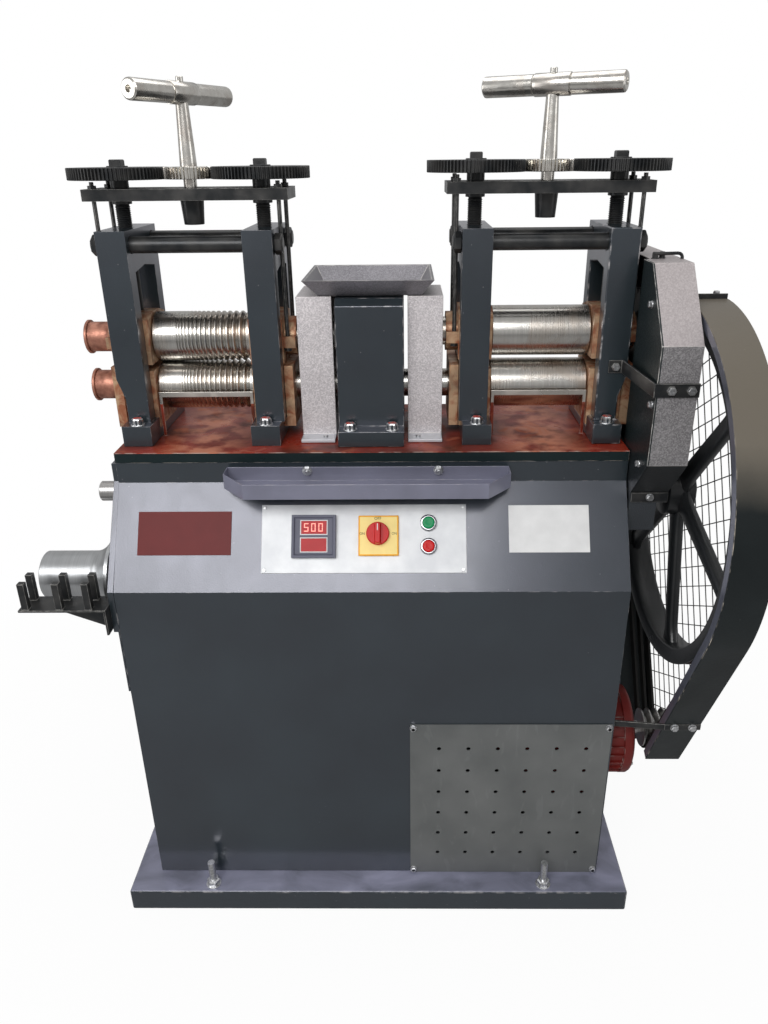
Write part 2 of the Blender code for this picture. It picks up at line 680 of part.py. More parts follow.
def combined(base, others, operation):
    for other in others:
        modifier = base.modifiers.new(operation.lower(), "BOOLEAN")
        modifier.operation = operation
        modifier.solver = "EXACT"
        modifier.object = other
    bpy.context.view_layer.update()
    graph = bpy.context.evaluated_depsgraph_get()
    result = bpy.data.meshes.new_from_object(base.evaluated_get(graph))
    base.modifiers.clear()
    used = base.data
    base.data = result
    bpy.data.meshes.remove(used)
    for other in others:
        bpy.data.meshes.remove(other.data)
    return base


def fused(base, *others):
    return combined(base, others, "UNION")


def cut(base, *others):
    return combined(base, others, "DIFFERENCE")


def gathered(shapes):
    """Shapes that don't meet, as one cutter."""
    bm = bmesh.new()
    for item in shapes:
        bm.from_mesh(item.data)
        bpy.data.meshes.remove(item.data)
    return shape(bm)


# Naming, looks and placing

def material_for(look):
    name, colour, roughness, metallic = look
    found = bpy.data.materials.get(name)
    if found:
        return found
    made = bpy.data.materials.new(name)
    made.use_nodes = True
    shader = made.node_tree.nodes["Principled BSDF"]
    shader.inputs["Base Color"].default_value = (*colour, 1.0)
    shader.inputs["Roughness"].default_value = roughness
    shader.inputs["Metallic"].default_value = metallic
    return made


def axis_empty(name, place, parent=None):
    empty = bpy.data.objects.new(name, None)
    empty.location = place
    empty.hide_render = True
    bpy.context.scene.collection.objects.link(empty)
    bpy.context.view_layer.update()
    if parent:
        empty.parent = parent
        empty.matrix_parent_inverse = parent.matrix_world.inverted()
    return empty


def finish(name, obj, look, pivot=(0.0, 0.0, 0.0), parent=None):
    """Names a solid, moves its origin to its pivot without moving the solid, and gives it its look."""
    obj.name = name
    obj.data.name = name
    obj.data.transform(Matrix.Translation(-Vector(pivot)))
    obj.location = pivot
    obj.data.materials.clear()
    obj.data.materials.append(material_for(look))
    obj.data.shade_smooth()
    obj.data.set_sharp_from_angle(angle=math.radians(30))
    bpy.context.view_layer.update()
    if parent:
        obj.parent = parent
        obj.matrix_parent_inverse = parent.matrix_world.inverted()
    return obj


def on_slope(obj):
    """Lays a solid made with y up the slope and z out of it onto the cabinet's front slope."""
    place = Matrix.Translation((0.0, -CABINET_HALF_DEPTH, CABINET_BEND_HEIGHT))
    obj.data.transform(place @ Matrix.Rotation(SLOPE_ANGLE, 4, "X"))
    return obj


def slope_point(x, rise, out=0.0):
    turn = Matrix.Rotation(SLOPE_ANGLE, 3, "X")
    return Vector((0.0, -CABINET_HALF_DEPTH, CABINET_BEND_HEIGHT)) + turn @ Vector((x, rise, out))


# Base and cabinet

def build_plinth():
    half_width, half_depth = PLINTH_WIDTH / 2, PLINTH_DEPTH / 2
    inner = rectangle(
        (PLINTH_CHAMFER - half_width, half_width - PLINTH_CHAMFER),
        (PLINTH_CHAMFER - half_depth, half_depth - PLINTH_CHAMFER),
    )
    outer = rectangle((-half_width, half_width), (-half_depth, half_depth))
    body = prism("Z", outer, (0.0, PLINTH_HEIGHT - PLINTH_CHAMFER))
    body = fused(body, tapered("Z", outer, PLINTH_HEIGHT - PLINTH_CHAMFER, inner, PLINTH_HEIGHT))
    washer_top = PLINTH_HEIGHT + ANCHOR_WASHER_HEIGHT
    nut_top = washer_top + ANCHOR_NUT_HEIGHT
    fasteners = []
    for x in (-ANCHOR_X, ANCHOR_X):
        for y in (ANCHOR_INSET - half_depth, half_depth - ANCHOR_INSET):
            stud_span = (PLINTH_HEIGHT - EMBED, PLINTH_HEIGHT + ANCHOR_RISE)
            stud = cylinder("Z", (x, y), ANCHOR_RADIUS, stud_span, FACETS_SMALL)
            washer_span = (PLINTH_HEIGHT - EMBED, washer_top)
            washer = cylinder("Z", (x, y), ANCHOR_WASHER_RADIUS, washer_span, FACETS_SHAFT)
            anchor_nut = nut("Z", (x, y), ANCHOR_NUT_FLATS, (washer_top - EMBED, nut_top))
            fasteners.append(fused(stud, washer, anchor_nut))
    finish("base_plinth", fused(body, *fasteners), ENAMEL)


def cabinet_outline(foot):
    return both_sides(
        [
            (CABINET_HALF_DEPTH, foot),
            (CABINET_HALF_DEPTH, CABINET_BEND_HEIGHT),
            (CABINET_NECK_HALF_DEPTH, CABINET_NECK_HEIGHT),
            (CABINET_NECK_HALF_DEPTH, CABINET_TOP),
        ]
    )


def build_cabinet():
    foot = PLINTH_HEIGHT + FIT_GAP
    width = (-CABINET_HALF_WIDTH, CABINET_HALF_WIDTH)
    shell = prism("X", cabinet_outline(foot), width)
    cavity = offset(cabinet_outline(foot - CABINET_WALL - OVERRUN), -CABINET_WALL, True)
    room = CABINET_HALF_WIDTH - CABINET_WALL
    hollow = prism("X", cavity, (-room, room))
    wall_span = (CABINET_HALF_WIDTH - CABINET_WALL - OVERRUN, CABINET_HALF_WIDTH + OVERRUN)
    left_span = (-wall_span[0], -wall_span[1])
    shaft_hole = around(SHAFT_RADIUS + RUNNING_GAP, FACETS_SHAFT)
    drum_hole = around(DRUM_SHAFT_RADIUS + RUNNING_GAP, FACETS_SHAFT)
    motor_y = (MOTOR_Y - MOTOR_RADIUS - MOTOR_HOLE_ROOM / 2, MOTOR_Y + MOTOR_RADIUS + MOTOR_HOLE_ROOM)
    motor_foot = MOTOR_Z - MOTOR_RADIUS - MOTOR_FOOT_HEIGHT - MOTOR_PLATE_THICKNESS - MOTOR_HOLE_ROOM
    vent_x = (VENT_LEFT_X + VENT_FRAME, VENT_RIGHT_X - VENT_FRAME)
    vent_z = (foot + VENT_FRAME, VENT_TOP - VENT_FRAME)
    panel_depth = (-CABINET_WALL - OVERRUN, OVERRUN)
    spindle_hole = around(KNOB_SPINDLE_RADIUS + RUNNING_GAP, FACETS_SMALL)
    control_holes = [on_slope(cylinder("Z", (KNOB_X, KNOB_RISE), spindle_hole, panel_depth, FACETS_SMALL))]
    for rise in (START_RISE, STOP_RISE):
        radius = around(BUTTON_RADIUS + RUNNING_GAP, FACETS_SHAFT)
        control_holes.append(on_slope(cylinder("Z", (BUTTON_X, rise), radius, panel_depth, FACETS_SHAFT)))
    body = cut(
        shell,
        hollow,
        cylinder("X", (SHAFT_Y, SHAFT_Z), shaft_hole, wall_span, FACETS_SHAFT),
        cylinder("X", (SHAFT_Y, SHAFT_Z), shaft_hole, left_span, FACETS_SHAFT),
        cylinder("X", (DRUM_Y, DRUM_Z), drum_hole, left_span, FACETS_SHAFT),
        block(wall_span, motor_y, (motor_foot, MOTOR_Z + MOTOR_RADIUS + MOTOR_HOLE_ROOM)),
        block(vent_x, (-CABINET_HALF_DEPTH - OVERRUN, CABINET_WALL + OVERRUN - CABINET_HALF_DEPTH), vent_z),
        *control_holes,
    )
    finish("cabinet_shell", body, ENAMEL)


def build_side_plate():
    outline = both_sides(
        [
            (CABINET_HALF_DEPTH, SIDE_PLATE_FOOT),
            (CABINET_HALF_DEPTH, CABINET_BEND_HEIGHT),
            (SIDE_PLATE_HALF_DEPTH, CABINET_NECK_HEIGHT),
            (SIDE_PLATE_HALF_DEPTH, SIDE_PLATE_TOP),
        ]
    )
    inner_x = -CABINET_HALF_WIDTH - FIT_GAP
    plate = prism("X", outline, (inner_x, -SIDE_PLATE_X))
    depth = (-CABINET_HALF_DEPTH, CABINET_HALF_DEPTH)
    apron = block((inner_x, inner_x - APRON_THICKNESS), depth, (APRON_FOOT, SIDE_PLATE_FOOT + EMBED))
    boss_span = (EMBED - SIDE_PLATE_X, -SIDE_PLATE_X - DRUM_BOSS_LENGTH)
    boss = cylinder("X", (DRUM_Y, DRUM_Z), DRUM_BOSS_RADIUS, boss_span, FACETS_SHAFT)
    through = (inner_x + OVERRUN, -SIDE_PLATE_X - DRUM_BOSS_LENGTH - OVERRUN)
    shaft_hole = around(SHAFT_RADIUS + RUNNING_GAP, FACETS_SHAFT)
    drum_hole = around(DRUM_SHAFT_RADIUS + RUNNING_GAP / 2, FACETS_SHAFT)
    body = cut(
        fused(plate, apron, boss),
        cylinder("X", (SHAFT_Y, SHAFT_Z), shaft_hole, through, FACETS_SHAFT),
        cylinder("X", (DRUM_Y, DRUM_Z), drum_hole, through, FACETS_SHAFT),
    )
    finish("left_side_plate", body, ENAMEL)


def build_bed():
    """Bed plate with a guide strip on two posts under each lower roll."""
    width = (-CABINET_HALF_WIDTH, CABINET_HALF_WIDTH)
    body = block(width, (-BED_HALF_DEPTH, BED_HALF_DEPTH), (CABINET_TOP + FIT_GAP, BED_TOP))
    guide_top = BED_TOP + GUIDE_RISE
    back = -ROLL_RADIUS - GUIDE_ROOM
    depth = (back - GUIDE_THICKNESS, back)
    reach = ROLL_HALF_FACE - FIT_GAP
    pieces = []
    for side in (-1, 1):
        middle = side * HEAD_X
        strip = block((middle - reach, middle + reach), depth, (guide_top - GUIDE_HEIGHT, guide_top))
        posts = []
        for end in (-1, 1):
            outer = middle + end * reach
            posts.append(block((outer, outer - end * GUIDE_POST_WIDTH), depth, (BED_TOP - EMBED, guide_top)))
        pieces.append(fused(strip, *posts))
    finish("bed_plate", fused(body, *pieces), OILED_PRIMER)


def build_front_tray():
    back = -CABINET_NECK_HALF_DEPTH - FIT_GAP
    front = back - TRAY_DEPTH
    outline = [
        (TRAY_LEFT_X, back),
        (TRAY_LEFT_X, front + TRAY_CORNER_Y),
        (TRAY_LEFT_X + TRAY_CORNER_X, front),
        (TRAY_RIGHT_X - TRAY_CORNER_X, front),
        (TRAY_RIGHT_X, front + TRAY_CORNER_Y),
        (TRAY_RIGHT_X, back),
    ]
    body = prism("Z", outline, (TRAY_RIM - TRAY_HEIGHT, TRAY_RIM))
    floor = TRAY_RIM - TRAY_HEIGHT + TRAY_WALL
    hollow = prism("Z", offset(outline, TRAY_WALL, True), (floor, TRAY_RIM + OVERRUN))
    finish("front_tray", cut(body, hollow), ENAMEL)


def build_vent_panel():
    back = -CABINET_HALF_DEPTH - FIT_GAP
    depth = (back - VENT_THICKNESS, back)
    panel = block((VENT_LEFT_X, VENT_RIGHT_X), depth, (PLINTH_HEIGHT + FIT_GAP, VENT_TOP))
    holes = []
    for column in range(VENT_ROWS):
        x = VENT_HOLE_LEFT_X + (VENT_HOLE_RIGHT_X - VENT_HOLE_LEFT_X) * column / (VENT_ROWS - 1)
        for row in range(VENT_ROWS):
            z = VENT_HOLE_FOOT + (VENT_HOLE_TOP - VENT_HOLE_FOOT) * row / (VENT_ROWS - 1)
            span = (back - VENT_THICKNESS - OVERRUN, back + OVERRUN)
            holes.append(cylinder("Y", (x, z), VENT_HOLE_RADIUS, span, FACETS_TINY))
    finish("vent_panel", cut(panel, gathered(holes)), SATIN_GREY)


# Controls

def build_controls():
    lift = FIT_GAP + PANEL_THICKNESS
    plate = prism("Z", rectangle((PANEL_LEFT_X, PANEL_RIGHT_X), (PANEL_FOOT, PANEL_TOP)), (FIT_GAP, lift))
    rings = []
    bores = []
    bore_span = (-OVERRUN, lift + BUTTON_RING_HEIGHT + OVERRUN)
    for rise in (START_RISE, STOP_RISE):
        centre = (BUTTON_X, rise)
        ring_span = (lift - EMBED, lift + BUTTON_RING_HEIGHT)
        rings.append(cylinder("Z", centre, BUTTON_RING_RADIUS, ring_span, FACETS_ROLL))
        bore_radius = around(BUTTON_RADIUS + FIT_GAP, FACETS_SHAFT)
        bores.append(cylinder("Z", centre, bore_radius, bore_span, FACETS_SHAFT))
    spindle_radius = around(KNOB_SPINDLE_RADIUS + FIT_GAP, FACETS_SMALL)
    knob_centre = (KNOB_X, KNOB_RISE)
    spindle_bore = cylinder("Z", knob_centre, spindle_radius, (-OVERRUN, lift + OVERRUN), FACETS_SMALL)
    body = cut(fused(plate, *rings), spindle_bore, *bores)
    finish("control_plate", on_slope(body), WHITE_PLATE)

    meter_span = (lift + FIT_GAP, lift + FIT_GAP + METER_THICKNESS)
    meter = prism("Z", rectangle((METER_LEFT_X, METER_RIGHT_X), (METER_FOOT, METER_TOP)), meter_span)
    window = rectangle(
        (METER_LEFT_X + METER_BEZEL, METER_RIGHT_X - METER_BEZEL),
        (METER_FOOT + METER_BEZEL, METER_TOP - METER_BEZEL),
    )
    recess = prism("Z", window, (meter_span[1] - METER_BEZEL_DEPTH, meter_span[1] + OVERRUN))
    finish("digital_meter", on_slope(cut(meter, recess)), BLACK_PLASTIC)

    switch_span = (lift + FIT_GAP, lift + FIT_GAP + SWITCH_THICKNESS)
    switch_outline = rectangle((SWITCH_LEFT_X, SWITCH_RIGHT_X), (SWITCH_FOOT, SWITCH_TOP))
    through = (lift - OVERRUN, switch_span[1] + OVERRUN)
    switch = cut(
        prism("Z", switch_outline, switch_span),
        cylinder("Z", knob_centre, spindle_radius, through, FACETS_SMALL),
    )
    finish("switch_plate", on_slope(switch), YELLOW_PLATE)

    build_knob(switch_span[1] + FIT_GAP)
    button_top = lift + BUTTON_RING_HEIGHT + BUTTON_PROUD
    for name, rise, look in (
        ("start_button", START_RISE, GREEN_PLASTIC),
        ("stop_button", STOP_RISE, RED_PLASTIC),
    ):
        profile = [
            (-BUTTON_STEM, BUTTON_RADIUS),
            (button_top - EMBED, BUTTON_RADIUS),
            (button_top, BUTTON_RADIUS - EMBED),
        ]
        button = turned("Z", (BUTTON_X, rise), profile, FACETS_SHAFT)
        finish(name, on_slope(button), look, slope_point(BUTTON_X, rise, button_top))


def build_knob(seat):
    centre = (KNOB_X, KNOB_RISE)
    disc = cylinder("Z", centre, KNOB_RADIUS, (seat, seat + KNOB_THICKNESS), FACETS_ROLL)
    reach = KNOB_RADIUS - EMBED
    grip_outline = rectangle(
        (KNOB_X - KNOB_GRIP_WIDTH / 2, KNOB_X + KNOB_GRIP_WIDTH / 2),
        (KNOB_RISE - reach, KNOB_RISE + reach),
    )
    grip_foot = seat + KNOB_THICKNESS - EMBED
    grip = prism("Z", grip_outline, (grip_foot, seat + KNOB_THICKNESS + KNOB_GRIP_HEIGHT))
    spindle_span = (seat - KNOB_SPINDLE_LENGTH, seat + EMBED)
    spindle = cylinder("Z", centre, KNOB_SPINDLE_RADIUS, spindle_span, FACETS_SMALL)
    knob = on_slope(fused(disc, grip, spindle))
    finish("switch_knob", knob, RED_PLASTIC, slope_point(KNOB_X, KNOB_RISE, seat))


# Roll heads

def build_frame(name, middle, end, stepped):
    """One cast frame: `end` points from the head's middle towards the frame."""
    def at(distance):
        return middle + end * distance

    foot_inner = FRAME_INNER - FOOT_SHIFT
    outline = [(FRAME_INNER, BED_TOP + FIT_GAP), (FRAME_INNER, FRAME_TOP), (FRAME_OUTER, FRAME_TOP)]
    if stepped:
        waist = FRAME_OUTER - FRAME_STEP_DEPTH
        outline += [(FRAME_OUTER, BED_TOP + FRAME_STEP_TOP), (waist, BED_TOP + FRAME_STEP_FOOT)]
        outline += [(waist, BED_TOP + FIT_GAP)]
    else:
        foot_top = BED_TOP + FOOT_HEIGHT
        outline += [(FRAME_OUTER, foot_top), (foot_inner + FOOT_THICKNESS - EMBED, foot_top - EMBED)]
        outline += [(foot_inner + FOOT_THICKNESS - EMBED, BED_TOP + FIT_GAP)]
    body = prism("Y", [(at(x), z) for x, z in outline], (-FRAME_HALF_DEPTH, FRAME_HALF_DEPTH))
    foot_x = (at(foot_inner), at(foot_inner + FOOT_THICKNESS))
    foot_top = BED_TOP + FOOT_HEIGHT
    foot = block(foot_x, (-FOOT_HALF_DEPTH, FOOT_HALF_DEPTH), (BED_TOP + FIT_GAP, foot_top))
    bolt_y = (FRAME_HALF_DEPTH + FOOT_HALF_DEPTH) / 2
    bolts = []
    for y in (-bolt_y, bolt_y):
        centre = (at(foot_inner + FOOT_THICKNESS / 2), y)
        span = (foot_top - EMBED, foot_top + FOOT_BOLT_HEIGHT)
        bolts.append(nut("Z", centre, FOOT_BOLT_FLATS, span, math.pi / 6))
    window_side = BED_TOP + WINDOW_SIDE_HEIGHT
    window = [
        (-WINDOW_HALF_WIDTH, BED_TOP + WINDOW_FOOT),
        (WINDOW_HALF_WIDTH, BED_TOP + WINDOW_FOOT),
        (WINDOW_HALF_WIDTH, window_side),
        (0.0, window_side + WINDOW_PEAK_RISE),
        (-WINDOW_HALF_WIDTH, window_side),
    ]
    through = (at(foot_inner - OVERRUN), at(FRAME_OUTER + OVERRUN))
    tie_hole = around(TIE_BAR_RADIUS + FIT_GAP, FACETS_SHAFT)
    tie_z = BED_TOP + TIE_BAR_RISE
    screw_hole = around(SCREW_RADIUS + RUNNING_GAP, FACETS_SHAFT)
    body = cut(
        fused(body, foot, *bolts),
        prism("X", window, through),
        cylinder("X", (-TIE_BAR_Y, tie_z), tie_hole, through, FACETS_SHAFT),
        cylinder("X", (TIE_BAR_Y, tie_z), tie_hole, through, FACETS_SHAFT),
        cylinder("Z", (at(SCREW_X), 0.0), screw_hole, (window_side, FRAME_TOP + OVERRUN), FACETS_SHAFT),
    )
    finish(name, body, ENAMEL)


def build_tie_bars(prefix, middle):
    nut_inner = FRAME_OUTER + FIT_GAP
    nut_outer = nut_inner + TIE_NUT_HEIGHT
    for name, y in (("front", -TIE_BAR_Y), ("rear", TIE_BAR_Y)):
        centre = (y, BED_TOP + TIE_BAR_RISE)
        bar = cylinder("X", centre, TIE_BAR_RADIUS, (middle - nut_outer, middle + nut_outer), FACETS_SHAFT)
        nuts = []
        for end in (-1, 1):
            span = (middle + end * nut_inner, middle + end * (nut_outer + EMBED))
            nuts.append(nut("X", centre, TIE_NUT_FLATS, span, math.pi / 2))
        finish(f"{prefix}_{name}_tie_bar", fused(bar, *nuts), DARK_STEEL)


def build_lower_bearing(name, middle, end):
    def at(distance):
        return middle + end * distance

    half_width = WINDOW_HALF_WIDTH - FIT_GAP
    foot = BED_TOP + WINDOW_FOOT + FIT_GAP
    flange_inner = FRAME_OUTER + FIT_GAP
    flange_outer = flange_inner + SIDE_FLANGE_THICKNESS
    body = block(
        (at(FRAME_INNER - BLOCK_PROUD), at(flange_inner + EMBED)),
        (-half_width, half_width),
        (foot, LOWER_AXIS + LOWER_BLOCK_RISE),
    )
    flange = block(
        (at(flange_inner), at(flange_outer)),
        (-SIDE_FLANGE_HALF_DEPTH, SIDE_FLANGE_HALF_DEPTH),
        (LOWER_AXIS - SIDE_FLANGE_DROP, LOWER_AXIS + SIDE_FLANGE_RISE),
    )
    bore = around(NECK_RADIUS + RUNNING_GAP / 2, FACETS_ROLL)
    span = (at(FRAME_INNER - BLOCK_PROUD - OVERRUN), at(flange_outer + OVERRUN))
    body = cut(fused(body, flange), cylinder("X", (0.0, LOWER_AXIS), bore, span, FACETS_ROLL))
    finish(name, body, BRONZE)


def build_upper_bearing(name, middle, end, axis, parent):
    """Block in the frame's window, with the bracket outside the frame that the hanger rods hold."""
    def at(distance):
        return middle + end * distance

    half_width = WINDOW_HALF_WIDTH - FIT_GAP
    top = axis + UPPER_BLOCK_RISE
    outline = [
        (-half_width, axis - UPPER_BLOCK_DROP),
        (half_width, axis - UPPER_BLOCK_DROP),
        (half_width, top - UPPER_BLOCK_SHOULDER),
        (UPPER_BLOCK_SEAT_HALF_WIDTH, top),
        (-UPPER_BLOCK_SEAT_HALF_WIDTH, top),
        (-half_width, top - UPPER_BLOCK_SHOULDER),
    ]
    bracket_inner = FRAME_OUTER + FIT_GAP
    body = prism("X", outline, (at(FRAME_INNER - BLOCK_PROUD), at(bracket_inner + EMBED)))
    lug = block(
        (at(bracket_inner), at(BRACKET_OUTER)),
        (-BRACKET_HALF_DEPTH, BRACKET_HALF_DEPTH),
        (axis - BRACKET_DROP, axis + BRACKET_RISE),
    )
    bracket = (at(bracket_inner), at(BRACKET_OUTER))
    eye = cylinder("X", (0.0, axis), BRACKET_EYE_RADIUS, bracket, FACETS_ROLL)
    bore = around(NECK_RADIUS + RUNNING_GAP / 2, FACETS_ROLL)
    span = (at(FRAME_INNER - BLOCK_PROUD - OVERRUN), at(BRACKET_OUTER + OVERRUN))
    cutters = [cylinder("X", (0.0, axis), bore, span, FACETS_ROLL)]
    for y in (-ROD_Y, ROD_Y):
        hole = around(ROD_RADIUS + FIT_GAP, FACETS_SMALL)
        rise = (axis - BRACKET_EYE_RADIUS, axis + BRACKET_EYE_RADIUS)
        cutters.append(cylinder("Z", (at(ROD_X), y), hole, rise, FACETS_SMALL))
    finish(name, cut(fused(body, lug, eye), *cutters), BRONZE, (middle, 0.0, axis), parent)


def build_cross_plate(name, middle, axis, parent):
    """Plate that carries the handle and the screws, with its four hanger rods and their nuts."""
    foot = axis + CROSS_PLATE_RISE
    top = foot + CROSS_PLATE_THICKNESS
    plate = block(
        (middle - CROSS_PLATE_HALF_LENGTH, middle + CROSS_PLATE_HALF_LENGTH),
        (-CROSS_PLATE_HALF_DEPTH, CROSS_PLATE_HALF_DEPTH),
        (foot, top),
    )
    boss_profile = [(foot - BOSS_LENGTH, BOSS_FOOT_RADIUS), (foot + EMBED, BOSS_TOP_RADIUS)]
    boss = turned("Z", (middle, 0.0), boss_profile, FACETS_ROLL)
    lug_foot = axis - BRACKET_DROP - FIT_GAP
    rod_span = (lug_foot - ROD_NUT_HEIGHT - EMBED, top + ROD_TOP_LENGTH)
    rods = []
    for end in (-1, 1):
        for y in (-ROD_Y, ROD_Y):
            centre = (middle + end * ROD_X, y)
            rod = cylinder("Z", centre, ROD_RADIUS, rod_span, FACETS_SMALL)
            nuts = [
                nut("Z", centre, ROD_NUT_FLATS, (lug_foot - ROD_NUT_HEIGHT, lug_foot), math.pi / 6),
                nut("Z", centre, ROD_NUT_FLATS, (top - EMBED, top + ROD_NUT_HEIGHT), math.pi / 6),
            ]
            rods.append(fused(rod, *nuts))
    body = fused(plate, boss, *rods)
    screw_hole = around(SCREW_RADIUS + RUNNING_GAP, FACETS_SHAFT)
    spigot_hole = around(HANDLE_SPIGOT_RADIUS + RUNNING_GAP, FACETS_SHAFT)
    through = (foot - OVERRUN, top + OVERRUN)
    cutters = [
        cylinder("Z", (middle + end * SCREW_X, 0.0), screw_hole, through, FACETS_SHAFT) for end in (-1, 1)
    ]
    pinion_foot = axis + ADJUSTING_GEAR_RISE
    spigot_depth = pinion_foot - HANDLE_SPIGOT_LENGTH - OVERRUN
    cutters.append(cylinder("Z", (middle, 0.0), spigot_hole, (spigot_depth, top + OVERRUN), FACETS_SHAFT))
    finish(name, cut(body, *cutters), DARK_STEEL, (middle, 0.0, foot), parent)


def adjusting_gear(teeth, centre, facing, axis):
    """A gear of the screw-down, with a gap between two teeth at the angle that it faces."""
    pitch_radius = ADJUSTING_MODULE * teeth / 2
    outline = gear_outline(
        teeth,
        pitch_radius - ADJUSTING_DEDENDUM,
        pitch_radius + ADJUSTING_ADDENDUM,
        centre,
        facing,
    )
    foot = axis + ADJUSTING_GEAR_RISE
    return prism("Z", outline, (foot, foot + ADJUSTING_GEAR_HEIGHT))


def build_screw(name, middle, end, axis, parent):
    centre = (middle + end * SCREW_X, 0.0)
    plate_foot = axis + CROSS_PLATE_RISE
    plate_top = plate_foot + CROSS_PLATE_THICKNESS
    gear_foot = axis + ADJUSTING_GEAR_RISE
    gear_top = gear_foot + ADJUSTING_GEAR_HEIGHT
    profile = [
        (axis + UPPER_BLOCK_RISE + FIT_GAP, SCREW_RADIUS),
        (plate_foot - SCREW_COLLAR_HEIGHT - FIT_GAP, SCREW_RADIUS),
        (plate_foot - SCREW_COLLAR_HEIGHT - FIT_GAP, SCREW_COLLAR_RADIUS),
        (plate_foot - FIT_GAP, SCREW_COLLAR_RADIUS),
        (plate_foot - FIT_GAP, SCREW_RADIUS),
        (plate_top + FIT_GAP, SCREW_RADIUS),
        (plate_top + FIT_GAP, SCREW_HUB_RADIUS),
        (gear_foot + EMBED, SCREW_HUB_RADIUS),
    ]
    screw = turned("Z", centre, profile, FACETS_SHAFT)
    teeth = ADJUSTING_GEAR_TEETH
    facing = (math.pi if end > 0 else 0.0) + math.pi / teeth
    gear = adjusting_gear(teeth, centre, facing, axis)
    half = SCREW_HEAD_WIDTH / 2
    head = block(
        (centre[0] - half, centre[0] + half),
        (-half, half),
        (gear_top - EMBED, gear_top + SCREW_HEAD_HEIGHT),
    )
    finish(name, fused(gear, screw, head), DARK_STEEL, (centre[0], 0.0, gear_foot), parent)


def build_handle(name, middle, axis, turn, parent):
    centre = (middle, 0.0)
    gear_foot = axis + ADJUSTING_GEAR_RISE
    gear_top = gear_foot + ADJUSTING_GEAR_HEIGHT
    plate_top = axis + CROSS_PLATE_RISE + CROSS_PLATE_THICKNESS
    grip_z = axis + HANDLE_RISE
    profile = [
        (gear_foot - HANDLE_SPIGOT_LENGTH, HANDLE_SPIGOT_RADIUS),
        (plate_top + FIT_GAP, HANDLE_SPIGOT_RADIUS),
        (plate_top + FIT_GAP, HANDLE_HUB_RADIUS),
        (gear_foot + EMBED, HANDLE_HUB_RADIUS),
        (gear_foot + EMBED, STEM_FOOT_RADIUS),
        (gear_top, STEM_FOOT_RADIUS),
        (grip_z, STEM_TOP_RADIUS),
    ]
    stem = turned("Z", centre, profile, FACETS_SHAFT)
    pinion = adjusting_gear(ADJUSTING_PINION_TEETH, centre, 0.0, axis)
    grip_end = GRIP_HALF_LENGTH
    grip_profile = [
        (-grip_end, GRIP_RADIUS - GRIP_CHAMFER),
        (GRIP_CHAMFER - grip_end, GRIP_RADIUS),
        (-GRIP_SLEEVE_HALF_LENGTH, GRIP_RADIUS),
        (-GRIP_SLEEVE_HALF_LENGTH, GRIP_RADIUS + GRIP_SLEEVE_PROUD),
        (GRIP_SLEEVE_HALF_LENGTH, GRIP_RADIUS + GRIP_SLEEVE_PROUD),
        (GRIP_SLEEVE_HALF_LENGTH, GRIP_RADIUS),
        (grip_end - GRIP_CHAMFER, GRIP_RADIUS),
        (grip_end, GRIP_RADIUS - GRIP_CHAMFER),
    ]
    grip = turned("X", (0.0, 0.0), grip_profile, FACETS_ROLL)
    grip.data.transform(Matrix.Translation((middle, 0.0, grip_z)) @ Matrix.Rotation(turn, 4, "Z"))
    stub_span = (grip_z + GRIP_RADIUS - EMBED, grip_z + GRIP_RADIUS + GRIP_SLEEVE_PROUD + GRIP_STUB_HEIGHT)
    stub = cylinder("Z", centre, GRIP_STUB_RADIUS, stub_span, FACETS_SMALL)
    body = fused(pinion, stem, grip, stub)
    finish(name, body, GROUND_STEEL, (middle, 0.0, gear_foot), parent)


# Rolls

def groove_profile(left_end, right_end):
    """Square wire grooves that grow from left to right, on a roll face between two ends."""
    widths = [
        FIRST_GROOVE_WIDTH + (LAST_GROOVE_WIDTH - FIRST_GROOVE_WIDTH) * i / (GROOVE_COUNT - 1)
        for i in range(GROOVE_COUNT)
    ]
    start = right_end - GROOVE_END_LAND - sum(widths) - GROOVE_LAND * (GROOVE_COUNT - 1)
    points = []
    for width in widths:
        points += [
            (start, ROLL_RADIUS),
            (start + width / 2, ROLL_RADIUS - width * GROOVE_DEPTH_SHARE),
            (start + width, ROLL_RADIUS),
        ]
        start += width + GROOVE_LAND
    return [(left_end, ROLL_RADIUS)] + points + [(right_end, ROLL_RADIUS)]


def roll_profile(middle, left_neck, right_neck, grooved):
    """Profile of a roll along X: neck, shoulder, face, shoulder, neck."""
    left_face, right_face = middle - ROLL_HALF_FACE, middle + ROLL_HALF_FACE
    face = [(left_face, ROLL_RADIUS), (right_face, ROLL_RADIUS)]
    if grooved:
        face = groove_profile(left_face, right_face)
    shoulder = NECK_SHOULDER_LENGTH
    return (
        left_neck
        + [(left_face - shoulder, NECK_RADIUS), (left_face - shoulder, NECK_SHOULDER_RADIUS)]
        + [(left_face, NECK_SHOULDER_RADIUS)]
        + face
        + [(right_face, NECK_SHOULDER_RADIUS)]
        + [(right_face + shoulder, NECK_SHOULDER_RADIUS), (right_face + shoulder, NECK_RADIUS)]
        + right_neck
    )


def sleeve_profile():
    """Outer end of a left roll: a copper sleeve and a dark flange, from its end inwards."""
    seat = -HEAD_X - BRACKET_OUTER - RUNNING_GAP
    flange = seat - SLEEVE_LENGTH
    return [
        (flange - SLEEVE_FLANGE_THICKNESS, SLEEVE_FLANGE_RADIUS),
        (flange, SLEEVE_FLANGE_RADIUS),
        (flange, SLEEVE_RADIUS),
        (seat, SLEEVE_RADIUS),
        (seat, NECK_RADIUS),
    ]


